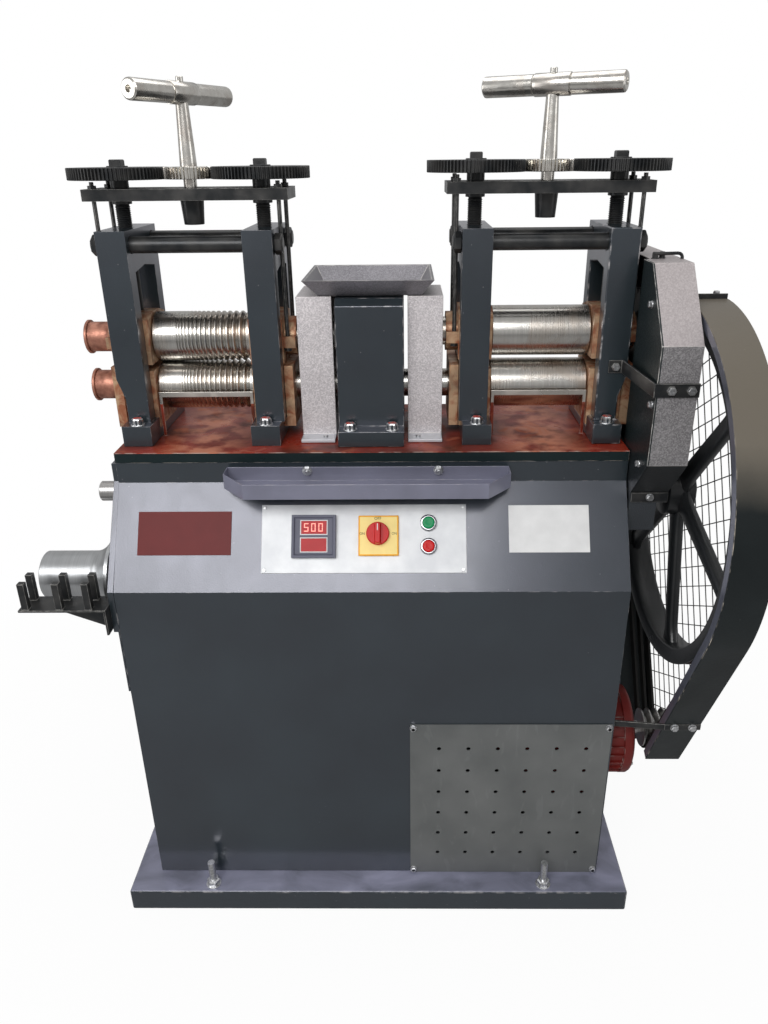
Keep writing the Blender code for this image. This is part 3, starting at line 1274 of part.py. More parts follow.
def roll_gear(side, axis, phase):
    inner = COVER_INNER_X + (COVER_OUTER_X - COVER_INNER_X - COVER_WALL - ROLL_GEAR_WIDTH) / 2
    outline = gear_outline(
        ROLL_GEAR_TEETH,
        ROLL_GEAR_ROOT_RADIUS,
        ROLL_GEAR_TIP_RADIUS,
        (0.0, axis),
        phase,
    )
    return prism("X", outline, (side * inner, side * (inner + ROLL_GEAR_WIDTH)))


def build_rolls(left_axis, right_axis, left_lift, right_lift, rolls_axis):
    gear_end = COVER_INNER_X + EMBED
    coupling_end = STAND_HALF_WIDTH - FIT_GAP
    half_tooth = math.pi / ROLL_GEAR_TEETH
    up, down = math.pi / 2, -math.pi / 2

    lower_left = turned(
        "X",
        (0.0, LOWER_AXIS),
        roll_profile(-HEAD_X, sleeve_profile(), [(coupling_end, NECK_RADIUS)], True),
        FACETS_GROOVED,
    )
    lower_left = fused(lower_left, roll_gear(-1, LOWER_AXIS, up))
    finish("left_lower_roll", lower_left, GROUND_STEEL, (-HEAD_X, 0.0, LOWER_AXIS), rolls_axis)

    bull_seat_end = BULL_GEAR_X + DRIVE_GEAR_WIDTH + EMBED
    lower_right = turned(
        "X",
        (0.0, LOWER_AXIS),
        roll_profile(HEAD_X, [(coupling_end + FIT_GAP, NECK_RADIUS)], [(bull_seat_end, NECK_RADIUS)], False),
        FACETS_ROLL,
    )
    lower_right = fused(lower_right, roll_gear(1, LOWER_AXIS, up))
    finish("right_lower_roll", lower_right, GROUND_STEEL, (HEAD_X, 0.0, LOWER_AXIS), rolls_axis)

    upper_left = turned(
        "X",
        (0.0, left_axis),
        roll_profile(-HEAD_X, sleeve_profile(), [(-gear_end, NECK_RADIUS)], True),
        FACETS_GROOVED,
    )
    upper_left = fused(upper_left, roll_gear(-1, left_axis, down + half_tooth))
    finish("left_upper_roll", upper_left, GROUND_STEEL, (-HEAD_X, 0.0, left_axis), left_lift)

    neck_end = HEAD_X + BRACKET_OUTER + RUNNING_GAP
    upper_right = turned(
        "X",
        (0.0, right_axis),
        roll_profile(HEAD_X, [(gear_end, NECK_RADIUS)], [(neck_end, NECK_RADIUS)], False),
        FACETS_ROLL,
    )
    upper_right = fused(upper_right, roll_gear(1, right_axis, down + half_tooth))
    finish("right_upper_roll", upper_right, GROUND_STEEL, (HEAD_X, 0.0, right_axis), right_lift)


# Middle of the machine

def build_stand():
    outline = both_sides(
        [
            (STAND_FOOT_HALF_DEPTH, BED_TOP + FIT_GAP),
            (STAND_FOOT_HALF_DEPTH, BED_TOP + STAND_FOOT_HEIGHT),
            (STAND_HALF_DEPTH, BED_TOP + STAND_FOOT_HEIGHT),
            (STAND_HALF_DEPTH, STAND_TOP - STAND_CHAMFER),
            (STAND_HALF_DEPTH - STAND_CHAMFER, STAND_TOP),
        ]
    )
    body = prism("X", outline, (-STAND_HALF_WIDTH, STAND_HALF_WIDTH))
    foot_top = BED_TOP + STAND_FOOT_HEIGHT
    bolt_y = (STAND_HALF_DEPTH + STAND_FOOT_HALF_DEPTH) / 2
    bolts = []
    for x in (-STAND_BOLT_X, STAND_BOLT_X):
        for y in (-bolt_y, bolt_y):
            span = (foot_top - EMBED, foot_top + STAND_BOLT_HEIGHT)
            bolts.append(nut("Z", (x, y), STAND_BOLT_FLATS, span, math.pi / 6))
    bore = around(NECK_RADIUS + RUNNING_GAP, FACETS_ROLL)
    through = (-STAND_HALF_WIDTH - OVERRUN, STAND_HALF_WIDTH + OVERRUN)
    body = cut(fused(body, *bolts), cylinder("X", (0.0, LOWER_AXIS), bore, through, FACETS_ROLL))
    finish("pinion_stand", body, HAMMERTONE)


def build_cover(name, side, upper_axis):
    """Box over one pair of roll gears, open to the stand, with a slot for the upper roll's neck."""
    foot = BED_TOP + FIT_GAP
    box = block(
        (side * COVER_INNER_X, side * COVER_OUTER_X),
        (-COVER_HALF_DEPTH, COVER_HALF_DEPTH),
        (foot, COVER_TOP),
    )
    flange = block(
        (side * COVER_INNER_X, side * COVER_OUTER_X),
        (-COVER_FLANGE_HALF_DEPTH, COVER_FLANGE_HALF_DEPTH),
        (foot, foot + COVER_FLANGE_HEIGHT),
    )
    half_room = COVER_HALF_DEPTH - COVER_WALL
    hollow = block(
        (side * (COVER_INNER_X - OVERRUN), side * (COVER_OUTER_X - COVER_WALL)),
        (-half_room, half_room),
        (foot + COVER_FLANGE_HEIGHT, COVER_TOP - COVER_WALL),
    )
    half_slot = NECK_RADIUS + COVER_NECK_ROOM
    slot = block(
        (side * (COVER_OUTER_X - COVER_WALL - OVERRUN), side * (COVER_OUTER_X + OVERRUN)),
        (-half_slot, half_slot),
        (LOWER_AXIS - half_slot, upper_axis + half_slot + LIFT_ROOM),
    )
    finish(name, cut(fused(box, flange), hollow, slot), HAMMERTONE)


def build_hopper():
    def corners(half_width, half_depth):
        return rectangle((-half_width, half_width), (-half_depth, half_depth))

    floor = COVER_TOP + FIT_GAP
    rim = floor + HOPPER_HEIGHT
    outer_floor = corners(HOPPER_FLOOR_HALF_WIDTH, HOPPER_FLOOR_HALF_DEPTH)
    outer_rim = corners(HOPPER_RIM_HALF_WIDTH, HOPPER_RIM_HALF_DEPTH)
    body = tapered("Z", outer_floor, floor, outer_rim, rim)
    inner_floor = corners(HOPPER_FLOOR_HALF_WIDTH - HOPPER_WALL, HOPPER_FLOOR_HALF_DEPTH - HOPPER_WALL)
    inner_rim = corners(HOPPER_RIM_HALF_WIDTH - HOPPER_WALL, HOPPER_RIM_HALF_DEPTH - HOPPER_WALL)
    hollow = tapered("Z", inner_floor, floor + HOPPER_WALL, inner_rim, rim + HOPPER_WALL)
    finish("oil_hopper", cut(body, hollow), HAMMERTONE)


# Drive

def drive_gear_outline(teeth, centre, phase):
    pitch_radius = DRIVE_MODULE * teeth / 2
    return gear_outline(
        teeth, pitch_radius - DRIVE_DEDENDUM, pitch_radius + DRIVE_ADDENDUM, centre, phase
    )


def build_bull_gear(parent):
    to_shaft = math.atan2(SHAFT_Z - LOWER_AXIS, SHAFT_Y)
    span = (BULL_GEAR_X, BULL_GEAR_X + DRIVE_GEAR_WIDTH)
    teeth = BULL_GEAR_TEETH
    gear = prism("X", drive_gear_outline(teeth, (0.0, LOWER_AXIS), to_shaft + math.pi / teeth), span)
    bore = around(NECK_RADIUS + FIT_GAP / 2, FACETS_ROLL)
    through = (span[0] - OVERRUN, span[1] + OVERRUN)
    gear = cut(gear, cylinder("X", (0.0, LOWER_AXIS), bore, through, FACETS_ROLL))
    finish("bull_gear", gear, DARK_STEEL, (BULL_GEAR_X, 0.0, LOWER_AXIS), parent)


def belt_groove(middle, radius):
    """Profile points of one V groove, sunk from this radius."""
    half = GROOVE_WIDTH / 2
    return [(middle - half, radius), (middle, radius - GROOVE_DEPTH), (middle + half, radius)]


def belt_places():
    middle = FLYWHEEL_LEFT_X + FLYWHEEL_WIDTH / 2
    return [middle + BELT_PITCH * (i - (BELT_COUNT - 1) / 2) for i in range(BELT_COUNT)]


def grooved_rim(left, right, radius):
    points = [(left, radius)]
    for place in belt_places():
        points += belt_groove(place, radius)
    return points + [(right, radius)]


def drum_drive_rim(radius):
    half = DRUM_DRIVE_WIDTH / 2
    return [(DRUM_DRIVE_X - half, radius), (DRUM_DRIVE_X + half, radius)]


def build_main_shaft(parent):
    centre = (SHAFT_Y, SHAFT_Z)
    rim = drum_drive_rim(SHAFT_PULLEY_RADIUS)
    profile = [(-SHAFT_LEFT_END, SHAFT_RADIUS), (rim[0][0], SHAFT_RADIUS)]
    profile += rim
    profile += [(rim[-1][0], SHAFT_RADIUS), (FLYWHEEL_RIGHT_X, SHAFT_RADIUS)]
    shaft = turned("X", centre, profile, FACETS_SHAFT)
    to_bull = math.atan2(LOWER_AXIS - SHAFT_Z, -SHAFT_Y)
    outline = drive_gear_outline(DRIVE_PINION_TEETH, centre, to_bull)
    pinion = prism("X", outline, (BULL_GEAR_X, BULL_GEAR_X + DRIVE_GEAR_WIDTH))
    finish("main_shaft", fused(shaft, pinion), DARK_STEEL, (0.0, SHAFT_Y, SHAFT_Z), parent)


def build_flywheel(parent):
    centre = (SHAFT_Y, SHAFT_Z)
    inner_radius = FLYWHEEL_RADIUS - RIM_THICKNESS
    rim_profile = grooved_rim(FLYWHEEL_LEFT_X, FLYWHEEL_RIGHT_X, FLYWHEEL_RADIUS)
    rim = turned("X", centre, rim_profile, FACETS_LARGE, inner_radius)
    hub_span = (FLYWHEEL_LEFT_X - HUB_REACH, FLYWHEEL_RIGHT_X - SPOKE_RECESS)
    bore = around(SHAFT_RADIUS + FIT_GAP, FACETS_SHAFT)
    hub_profile = [(hub_span[0], HUB_RADIUS), (hub_span[1], HUB_RADIUS)]
    hub = turned("X", centre, hub_profile, FACETS_SHAFT, bore)
    span = (FLYWHEEL_LEFT_X + SPOKE_RECESS, FLYWHEEL_LEFT_X + SPOKE_RECESS + SPOKE_THICKNESS)
    foot = HUB_RADIUS - SPOKE_RECESS
    tip = inner_radius + EMBED
    outline = [
        (foot, -SPOKE_FOOT_WIDTH / 2),
        (tip, -SPOKE_TIP_WIDTH / 2),
        (tip, SPOKE_TIP_WIDTH / 2),
        (foot, SPOKE_FOOT_WIDTH / 2),
    ]
    spokes = [
        prism("X", turned_outline(outline, 2 * math.pi * (i + SPOKE_TURN_SHARE) / SPOKE_COUNT, centre), span)
        for i in range(SPOKE_COUNT)
    ]
    finish("flywheel", fused(rim, hub, *spokes), BLACK_IRON, (0.0, SHAFT_Y, SHAFT_Z), parent)


def build_motor_pulley(parent):
    centre = (MOTOR_Y, MOTOR_Z)
    profile = grooved_rim(FLYWHEEL_LEFT_X, FLYWHEEL_LEFT_X + PULLEY_WIDTH, PULLEY_RADIUS)
    shaft_start = MOTOR_RIGHT_X + MOTOR_BOSS_LENGTH + RUNNING_GAP
    profile = [(shaft_start, MOTOR_SHAFT_RADIUS), (FLYWHEEL_LEFT_X, MOTOR_SHAFT_RADIUS)] + profile
    pulley = turned("X", centre, profile, FACETS_ROLL)
    finish("motor_pulley", pulley, BLACK_IRON, (FLYWHEEL_LEFT_X, MOTOR_Y, MOTOR_Z), parent)


def belt_loop(large, large_radius, small, small_radius, section, large_steps):
    """A belt round two pulleys: `section` holds (x, height above the pulley's radius) points."""
    away = Vector(small) - Vector(large)
    base = math.atan2(away.y, away.x)
    lean = math.acos((large_radius - small_radius) / away.length)
    stations = []
    for step in range(large_steps + 1):
        angle = base + lean + (2 * math.pi - 2 * lean) * step / large_steps
        stations.append((large, large_radius, angle))
    for step in range(SMALL_WRAP_STEPS + 1):
        angle = base - lean + 2 * lean * step / SMALL_WRAP_STEPS
        stations.append((small, small_radius, angle))
    bm = bmesh.new()
    rings = []
    for centre, radius, angle in stations:
        ring = []
        for x, height in section:
            reach = radius + height
            y = centre[0] + reach * math.cos(angle)
            z = centre[1] + reach * math.sin(angle)
            ring.append(bm.verts.new((x, y, z)))
        rings.append(ring)
    for i, first in enumerate(rings):
        second = rings[(i + 1) % len(rings)]
        for j in range(len(section)):
            k = (j + 1) % len(section)
            bm.faces.new((first[j], first[k], second[k], second[j]))
    return shape(bm)


def belt_section(places, width):
    """Ribs that hang in the grooves from a common back."""
    points = []
    for place in places:
        points += [
            (place - RIB_WIDTH / 2, BELT_BACK_ROOM),
            (place, -RIB_DEPTH),
            (place + RIB_WIDTH / 2, BELT_BACK_ROOM),
        ]
    middle = sum(places) / len(places)
    return points + flat_section(middle, width)[2:]


def flat_section(middle, width):
    back = BELT_BACK_ROOM + BELT_BACK_THICKNESS
    left, right = middle - width / 2, middle + width / 2
    return [(left, BELT_BACK_ROOM), (right, BELT_BACK_ROOM), (right, back), (left, back)]


def build_belts():
    places = belt_places()
    width = BELT_PITCH * (BELT_COUNT - 1) + GROOVE_WIDTH
    belts = belt_loop(
        (SHAFT_Y, SHAFT_Z),
        FLYWHEEL_RADIUS,
        (MOTOR_Y, MOTOR_Z),
        PULLEY_RADIUS,
        belt_section(places, width),
        BELT_STEPS,
    )
    finish("v_belts", belts, RUBBER)
    belt = belt_loop(
        (DRUM_Y, DRUM_Z),
        DRUM_PULLEY_RADIUS,
        (SHAFT_Y, SHAFT_Z),
        SHAFT_PULLEY_RADIUS,
        flat_section(DRUM_DRIVE_X, DRUM_BELT_WIDTH),
        DRUM_BELT_STEPS,
    )
    finish("drum_belt", belt, RUBBER)


def build_shaft_bearing(name, side):
    """Two bolt flange bearing inside a cabinet end, its flange laid along the slope."""
    centre = (SHAFT_Y, SHAFT_Z)
    seat = side * (CABINET_HALF_WIDTH - CABINET_WALL - FIT_GAP)
    flange_outline = rectangle(
        (-BEARING_FLANGE_LENGTH / 2, BEARING_FLANGE_LENGTH / 2),
        (-BEARING_FLANGE_WIDTH / 2, BEARING_FLANGE_WIDTH / 2),
    )
    flange_outline = turned_outline(flange_outline, SLOPE_ANGLE, centre)
    flange = prism("X", flange_outline, (seat, seat - side * BEARING_FLANGE_THICKNESS))
    body = cylinder("X", centre, BEARING_RADIUS, (seat, seat - side * BEARING_LENGTH), FACETS_ROLL)
    bore = around(SHAFT_RADIUS + FIT_GAP, FACETS_SHAFT)
    span = (seat + side * OVERRUN, seat - side * (BEARING_LENGTH + OVERRUN))
    finish(name, cut(fused(flange, body), cylinder("X", centre, bore, span, FACETS_SHAFT)), ENAMEL)


# Guards

def gear_guard_outline(offset_by=0.0):
    outline = both_sides(
        [
            (GUARD_LIP_HALF_DEPTH, GUARD_FOOT),
            (GUARD_LIP_HALF_DEPTH, GUARD_LIP_TOP),
            (GUARD_BEVEL_HALF_DEPTH, GUARD_BEVEL_HEIGHT),
            (GUARD_HALF_DEPTH, GUARD_LOWER_BEND),
            (GUARD_HALF_DEPTH, GUARD_UPPER_BEND),
            (GUARD_TOP_HALF_DEPTH, GUARD_TOP),
        ]
    )
    return offset(outline, -offset_by, True)


def build_gear_guard():
    left, right = GUARD_LEFT_X, GUARD_LEFT_X + GUARD_WIDTH
    pocket_y = (-GUARD_LIP_HALF_DEPTH, SHAFT_Y + PINION_TIP_RADIUS + POCKET_ROOM)
    pocket_right = left + POCKET_WIDTH
    pan = fused(
        prism("X", gear_guard_outline(), (left, right)),
        block((left, pocket_right), pocket_y, (POCKET_FOOT, GUARD_LIP_TOP)),
    )
    wall = GUARD_WALL
    hollow = prism("X", gear_guard_outline(wall), (left + wall, right - wall))
    pocket_hollow = block(
        (left + wall, pocket_right - wall),
        (pocket_y[0] + wall, pocket_y[1] - wall),
        (POCKET_FOOT + wall, GUARD_LIP_TOP),
    )
    mouth_y = (-GUARD_MOUTH_HALF_DEPTH, GUARD_MOUTH_HALF_DEPTH)
    mouth = block((left - OVERRUN, left + wall + OVERRUN), mouth_y, (BED_TOP, GUARD_TOP + OVERRUN))
    notch_x = (left - OVERRUN, left + GUARD_NOTCH_WIDTH)
    notch = block(notch_x, mouth_y, (GUARD_UPPER_BEND, GUARD_TOP + OVERRUN))
    shaft_hole = around(SHAFT_RADIUS + RUNNING_GAP * 2, FACETS_SHAFT)
    through = (left - OVERRUN, right + OVERRUN)
    shaft_bore = cylinder("X", (SHAFT_Y, SHAFT_Z), shaft_hole, through, FACETS_SHAFT)
    body = cut(pan, hollow, pocket_hollow, mouth, notch, shaft_bore)
    finish("gear_guard", body, HAMMERTONE)


def build_guard_strap():
    end = CABINET_HALF_WIDTH
    line = [
        (end + STRAP_GUARD_REACH, -GUARD_HALF_DEPTH - FIT_GAP),
        (end + STRAP_GUARD_BEND, -GUARD_HALF_DEPTH - FIT_GAP),
        (end - STRAP_FRAME_BEND, -FRAME_HALF_DEPTH - FIT_GAP),
        (end - STRAP_FRAME_REACH, -FRAME_HALF_DEPTH - FIT_GAP),
    ]
    middle = BED_TOP + STRAP_RISE
    strap_span = (middle - STRAP_HEIGHT / 2, middle + STRAP_HEIGHT / 2)
    strap = prism("Z", ribbon(line, STRAP_THICKNESS), strap_span)
    bolts = []
    for x, back in (
        (end - STRAP_FRAME_BOLT, FRAME_HALF_DEPTH),
        (end + STRAP_GUARD_BOLTS[0], GUARD_HALF_DEPTH),
        (end + STRAP_GUARD_BOLTS[1], GUARD_HALF_DEPTH),
    ):
        face = -back - FIT_GAP - STRAP_THICKNESS
        span = (face + EMBED, face - STRAP_BOLT_HEIGHT)
        bolts.append(nut("Y", (x, middle), STRAP_BOLT_FLATS, span))
    finish("guard_strap", fused(strap, *bolts), BLACK_IRON)


def belt_guard_line(inset):
    """Outline of the belt guard from its rear foot over the flywheel to its front foot."""
    centre = Vector((SHAFT_Y, SHAFT_Z))
    ends = []
    rear = (BELT_GUARD_REAR_Y, BELT_GUARD_REAR_Z, 1)
    front = (BELT_GUARD_FRONT_Y, BELT_GUARD_FRONT_Z, -1)
    for y, z, sense in (rear, front):
        away = Vector((y, z)) - centre
        angle = math.atan2(away.y, away.x) + sense * math.acos(BELT_GUARD_RADIUS / away.length)
        length = math.sqrt(away.length**2 - BELT_GUARD_RADIUS**2)
        ends.append((angle, length, sense))
    radius = BELT_GUARD_RADIUS - inset
    feet = []
    for angle, length, sense in ends:
        normal = Vector((math.cos(angle), math.sin(angle)))
        along = Vector((normal.y, -normal.x)) * sense
        feet.append(tuple(centre + normal * radius + along * length))
    (rear_angle, _, _), (front_angle, _, _) = ends
    over = arc(tuple(centre), radius, rear_angle, front_angle + 2 * math.pi, GUARD_ARC_STEPS)
    return [feet[0]] + over + [feet[1]]


def build_belt_guard():
    left, right = BELT_GUARD_LEFT_X, BELT_GUARD_LEFT_X + BELT_GUARD_WIDTH
    outline = belt_guard_line(0.0) + belt_guard_line(BELT_GUARD_WALL)[::-1]
    band = prism("X", outline, (left, right))
    line = belt_guard_line(0.0)
    foot, bend = Vector(line[-1]), Vector(line[-2])
    bar_z = GUARD_BAR_RISE + GUARD_BAR_HEIGHT / 2
    share = (bar_z - foot.y) / (bend.y - foot.y)
    face = foot.x + (bend.x - foot.x) * share
    bar_back = face - GUARD_BAR_THICKNESS
    bar = block((left, right), (bar_back, face), (GUARD_BAR_RISE, GUARD_BAR_RISE + GUARD_BAR_HEIGHT))
    arm_end = rectangle(
        (GUARD_ARM_Y, GUARD_ARM_Y - GUARD_BAR_THICKNESS),
        (GUARD_ARM_RISE, GUARD_ARM_RISE + GUARD_BAR_HEIGHT),
    )
    arm_start = rectangle((face, bar_back), (GUARD_BAR_RISE, GUARD_BAR_RISE + GUARD_BAR_HEIGHT))
    arm = tapered("X", arm_end, CABINET_HALF_WIDTH + FIT_GAP, arm_start, left + EMBED)
    bolts = []
    for bolt_share in GUARD_BAR_BOLT_SHARES:
        x = left + BELT_GUARD_WIDTH * bolt_share
        span = (bar_back + EMBED, bar_back - GUARD_BAR_BOLT_HEIGHT)
        bolts.append(nut("Y", (x, bar_z), GUARD_BAR_BOLT_FLATS, span))
    finish("belt_guard_band", fused(band, bar, arm, *bolts), GUARD_PAINT)


def build_guard_mesh():
    """Flat grille that closes the far side of the belt guard."""
    outline = belt_guard_line(BELT_GUARD_WALL + FIT_GAP)
    border = offset(outline, MESH_BORDER, True)
    right = BELT_GUARD_LEFT_X + BELT_GUARD_WIDTH
    span = (right - MESH_THICKNESS, right)
    plate = prism("X", outline, span)
    cut_span = (span[0] - OVERRUN, span[1] + OVERRUN)
    columns = math.ceil(BELT_GUARD_RADIUS / MESH_CELL_WIDTH)
    foot_rows = math.ceil((SHAFT_Z - BELT_GUARD_REAR_Z) / MESH_CELL_HEIGHT)
    top_rows = math.ceil(BELT_GUARD_RADIUS / MESH_CELL_HEIGHT)
    cells = []
    for column in range(-columns, columns):
        for row in range(-foot_rows, top_rows):
            y, z = SHAFT_Y + column * MESH_CELL_WIDTH, SHAFT_Z + row * MESH_CELL_HEIGHT
            cell = rectangle(
                (y + MESH_BAR / 2, y + MESH_CELL_WIDTH - MESH_BAR / 2),
                (z + MESH_BAR / 2, z + MESH_CELL_HEIGHT - MESH_BAR / 2),
            )
            cells.append(prism("X", cell, cut_span))
    inside = prism("X", border, (cut_span[0] - OVERRUN, cut_span[1] + OVERRUN))
    cells = combined(gathered(cells), [inside], "INTERSECT")
    finish("belt_guard_mesh", cut(plate, cells), GUARD_PAINT)


# Motor and wire drum

def build_motor():
    centre = (MOTOR_Y, MOTOR_Z)
    shield = MOTOR_SHIELD_LENGTH
    inner_radius = MOTOR_RADIUS - MOTOR_SHIELD_STEP
    profile = [
        (MOTOR_LEFT_X, inner_radius - MOTOR_SHIELD_STEP),
        (MOTOR_LEFT_X + MOTOR_SHIELD_STEP, MOTOR_RADIUS),
        (MOTOR_LEFT_X + shield, MOTOR_RADIUS),
        (MOTOR_LEFT_X + shield, inner_radius),
        (MOTOR_RIGHT_X - shield, inner_radius),
        (MOTOR_RIGHT_X - shield, MOTOR_RADIUS),
        (MOTOR_RIGHT_X - MOTOR_SHIELD_STEP, MOTOR_RADIUS),
        (MOTOR_RIGHT_X, inner_radius - MOTOR_SHIELD_STEP),
        (MOTOR_RIGHT_X, MOTOR_BOSS_RADIUS),
        (MOTOR_RIGHT_X + MOTOR_BOSS_LENGTH, MOTOR_BOSS_RADIUS),
    ]
    body = turned("X", centre, profile, FACETS_ROLL)
    middle = (MOTOR_LEFT_X + MOTOR_RIGHT_X) / 2
    box = block(
        (middle - MOTOR_BOX_WIDTH / 2, middle + MOTOR_BOX_WIDTH / 2),
        (MOTOR_Y - MOTOR_BOX_DEPTH / 2, MOTOR_Y + MOTOR_BOX_DEPTH / 2),
        (MOTOR_Z + inner_radius / 2, MOTOR_Z + MOTOR_RADIUS + MOTOR_BOX_HEIGHT),
    )
    foot_z = MOTOR_Z - MOTOR_RADIUS - MOTOR_FOOT_HEIGHT
    foot = block(
        (middle - MOTOR_FOOT_LENGTH / 2, middle + MOTOR_FOOT_LENGTH / 2),
        (MOTOR_Y - MOTOR_FOOT_HALF_DEPTH, MOTOR_Y + MOTOR_FOOT_HALF_DEPTH),
        (foot_z, MOTOR_Z - inner_radius + MOTOR_FOOT_HEIGHT),
    )
    finish("drive_motor", fused(body, box, foot), MOTOR_RED)


def build_motor_bracket():
    """Shelf under the motor with two end legs that stand on the plinth inside the cabinet."""
    top = MOTOR_Z - MOTOR_RADIUS - MOTOR_FOOT_HEIGHT - FIT_GAP
    middle = (MOTOR_LEFT_X + MOTOR_RIGHT_X) / 2
    left = middle - MOTOR_FOOT_LENGTH / 2 - MOTOR_LEG_THICKNESS
    right = CABINET_HALF_WIDTH - CABINET_WALL - MOTOR_LEG_THICKNESS
    depth = (MOTOR_Y - MOTOR_PLATE_HALF_DEPTH, MOTOR_Y + MOTOR_PLATE_HALF_DEPTH)
    shelf = block((left, right), depth, (top - MOTOR_PLATE_THICKNESS, top))
    leg_span = (PLINTH_HEIGHT + FIT_GAP, top - MOTOR_PLATE_THICKNESS + EMBED)
    legs = [
        block((x, x + MOTOR_LEG_THICKNESS), depth, leg_span) for x in (left, right - MOTOR_LEG_THICKNESS)
    ]
    finish("motor_bracket", fused(shelf, *legs), BLACK_IRON)


def build_wire_drum(parent):
    centre = (DRUM_Y, DRUM_Z)
    flange_right = -SIDE_PLATE_X - DRUM_BOSS_LENGTH - RUNNING_GAP
    flange_left = flange_right - DRUM_FLANGE_THICKNESS
    flare_left = flange_left - DRUM_FLARE_LENGTH
    rim = drum_drive_rim(DRUM_PULLEY_RADIUS)
    flare = []
    for step in range(FLARE_STEPS + 1):
        share = step / FLARE_STEPS
        radius = DRUM_RADIUS + (DRUM_FLANGE_RADIUS - DRUM_RADIUS) * share**2
        flare.append((flare_left + DRUM_FLARE_LENGTH * share, radius))
    profile = [(flare_left - DRUM_LENGTH, DRUM_RADIUS)] + flare
    profile += [(flange_right, DRUM_FLANGE_RADIUS), (flange_right, DRUM_SHAFT_RADIUS)]
    profile += [(rim[0][0], DRUM_SHAFT_RADIUS)] + rim
    drum = turned("X", centre, profile, FACETS_ROLL)
    finish("wire_drum", drum, ALUMINIUM, (flange_right, DRUM_Y, DRUM_Z), parent)


def build_peg_rack():
    side = -SIDE_PLATE_X - FIT_GAP
    depth = (RACK_FRONT_Y, RACK_BACK_Y)
    tray = block((side, side - RACK_LENGTH), depth, (RACK_TOP - RACK_THICKNESS, RACK_TOP))
    flange_z = (RACK_TOP - RACK_FLANGE_HEIGHT, RACK_TOP)
    flange = block((side, side - RACK_THICKNESS), depth, flange_z)
    middle = (RACK_FRONT_Y + RACK_BACK_Y) / 2
    gusset_outline = [
        (side - EMBED, flange_z[0]),
        (side - EMBED, RACK_TOP - EMBED),
        (side - RACK_LENGTH * GUSSET_SHARE, RACK_TOP - EMBED),
    ]
    gusset = prism("Y", gusset_outline, (middle - RACK_THICKNESS / 2, middle + RACK_THICKNESS / 2))
    pegs = []
    for reach in PEG_OFFSETS:
        for y in (RACK_FRONT_Y + PEG_EDGE, RACK_BACK_Y - PEG_EDGE - PEG_WIDTH):
            x = side - reach
            span = (x - PEG_WIDTH / 2, x + PEG_WIDTH / 2)
            pegs.append(block(span, (y, y + PEG_WIDTH), (RACK_TOP - EMBED, RACK_TOP + PEG_HEIGHT)))
    finish("peg_rack", fused(tray, flange, gusset, *pegs), BLACK_IRON)


def build_head(prefix, side, gap, grip_turn):
    """One head with everything that rises and sinks with its upper roll."""
    middle = side * HEAD_X
    axis = LOWER_AXIS + 2 * ROLL_RADIUS + gap
    lift = axis_empty(f"{prefix}_lift", (middle, 0.0, axis))
    for kind, end in (("outer", side), ("inner", -side)):
        build_frame(f"{prefix}_{kind}_frame", middle, end, kind == "outer")
        build_lower_bearing(f"{prefix}_{kind}_lower_bearing", middle, end)
        build_upper_bearing(f"{prefix}_{kind}_upper_bearing", middle, end, axis, lift)
        build_screw(f"{prefix}_{kind}_screw", middle, end, axis, lift)
    build_tie_bars(prefix, middle)
    build_cross_plate(f"{prefix}_cross_plate", middle, axis, lift)
    build_handle(f"{prefix}_handle", middle, axis, grip_turn, lift)
    return axis, lift


clear_scene()
build_plinth()
build_cabinet()
build_side_plate()
build_bed()
build_front_tray()
build_vent_panel()
build_controls()
left_upper_axis, left_lift = build_head("left", -1, LEFT_ROLL_GAP, LEFT_GRIP_TURN)
right_upper_axis, right_lift = build_head("right", 1, RIGHT_ROLL_GAP, RIGHT_GRIP_TURN)
lower_rolls = axis_empty("lower_rolls", (0.0, 0.0, LOWER_AXIS))
build_rolls(left_upper_axis, right_upper_axis, left_lift, right_lift, lower_rolls)
build_bull_gear(lower_rolls)
build_stand()
build_cover("left_gear_cover", -1, left_upper_axis)
build_cover("right_gear_cover", 1, right_upper_axis)
build_hopper()
drive_shaft = axis_empty("drive_shaft", (0.0, SHAFT_Y, SHAFT_Z))
build_main_shaft(drive_shaft)
build_flywheel(drive_shaft)
build_motor_pulley(None)
build_belts()
build_shaft_bearing("left_shaft_bearing", -1)
build_shaft_bearing("right_shaft_bearing", 1)
build_gear_guard()
build_guard_strap()
build_belt_guard()
build_guard_mesh()
build_motor()
build_motor_bracket()
build_wire_drum(None)
build_peg_rack()
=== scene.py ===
"""Looks of the double head jewellers rolling mill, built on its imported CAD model."""

import math

import bmesh
import bpy
from mathutils import Matrix, Vector


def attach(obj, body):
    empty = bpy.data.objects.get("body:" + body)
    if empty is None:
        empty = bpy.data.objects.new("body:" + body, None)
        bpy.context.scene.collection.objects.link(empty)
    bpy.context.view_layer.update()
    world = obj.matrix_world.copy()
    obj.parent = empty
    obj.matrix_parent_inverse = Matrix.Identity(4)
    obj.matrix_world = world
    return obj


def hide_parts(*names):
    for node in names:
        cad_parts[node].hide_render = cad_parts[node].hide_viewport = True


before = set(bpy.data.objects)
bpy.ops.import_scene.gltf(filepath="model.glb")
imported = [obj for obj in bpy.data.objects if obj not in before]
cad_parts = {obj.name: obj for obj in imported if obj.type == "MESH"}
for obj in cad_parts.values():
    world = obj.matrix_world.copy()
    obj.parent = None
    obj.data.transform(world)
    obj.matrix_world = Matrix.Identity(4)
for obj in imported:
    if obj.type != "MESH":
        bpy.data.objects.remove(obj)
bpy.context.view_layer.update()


# Camera
# The photograph was taken from a little above the handles, close to the machine, with a wide lens.
CAMERA_PLACE = Vector((0.0659, -1.4505, 1.40))
CAMERA_YAW, CAMERA_PITCH, CAMERA_ROLL = 0.0143, 0.4208, 0.0099
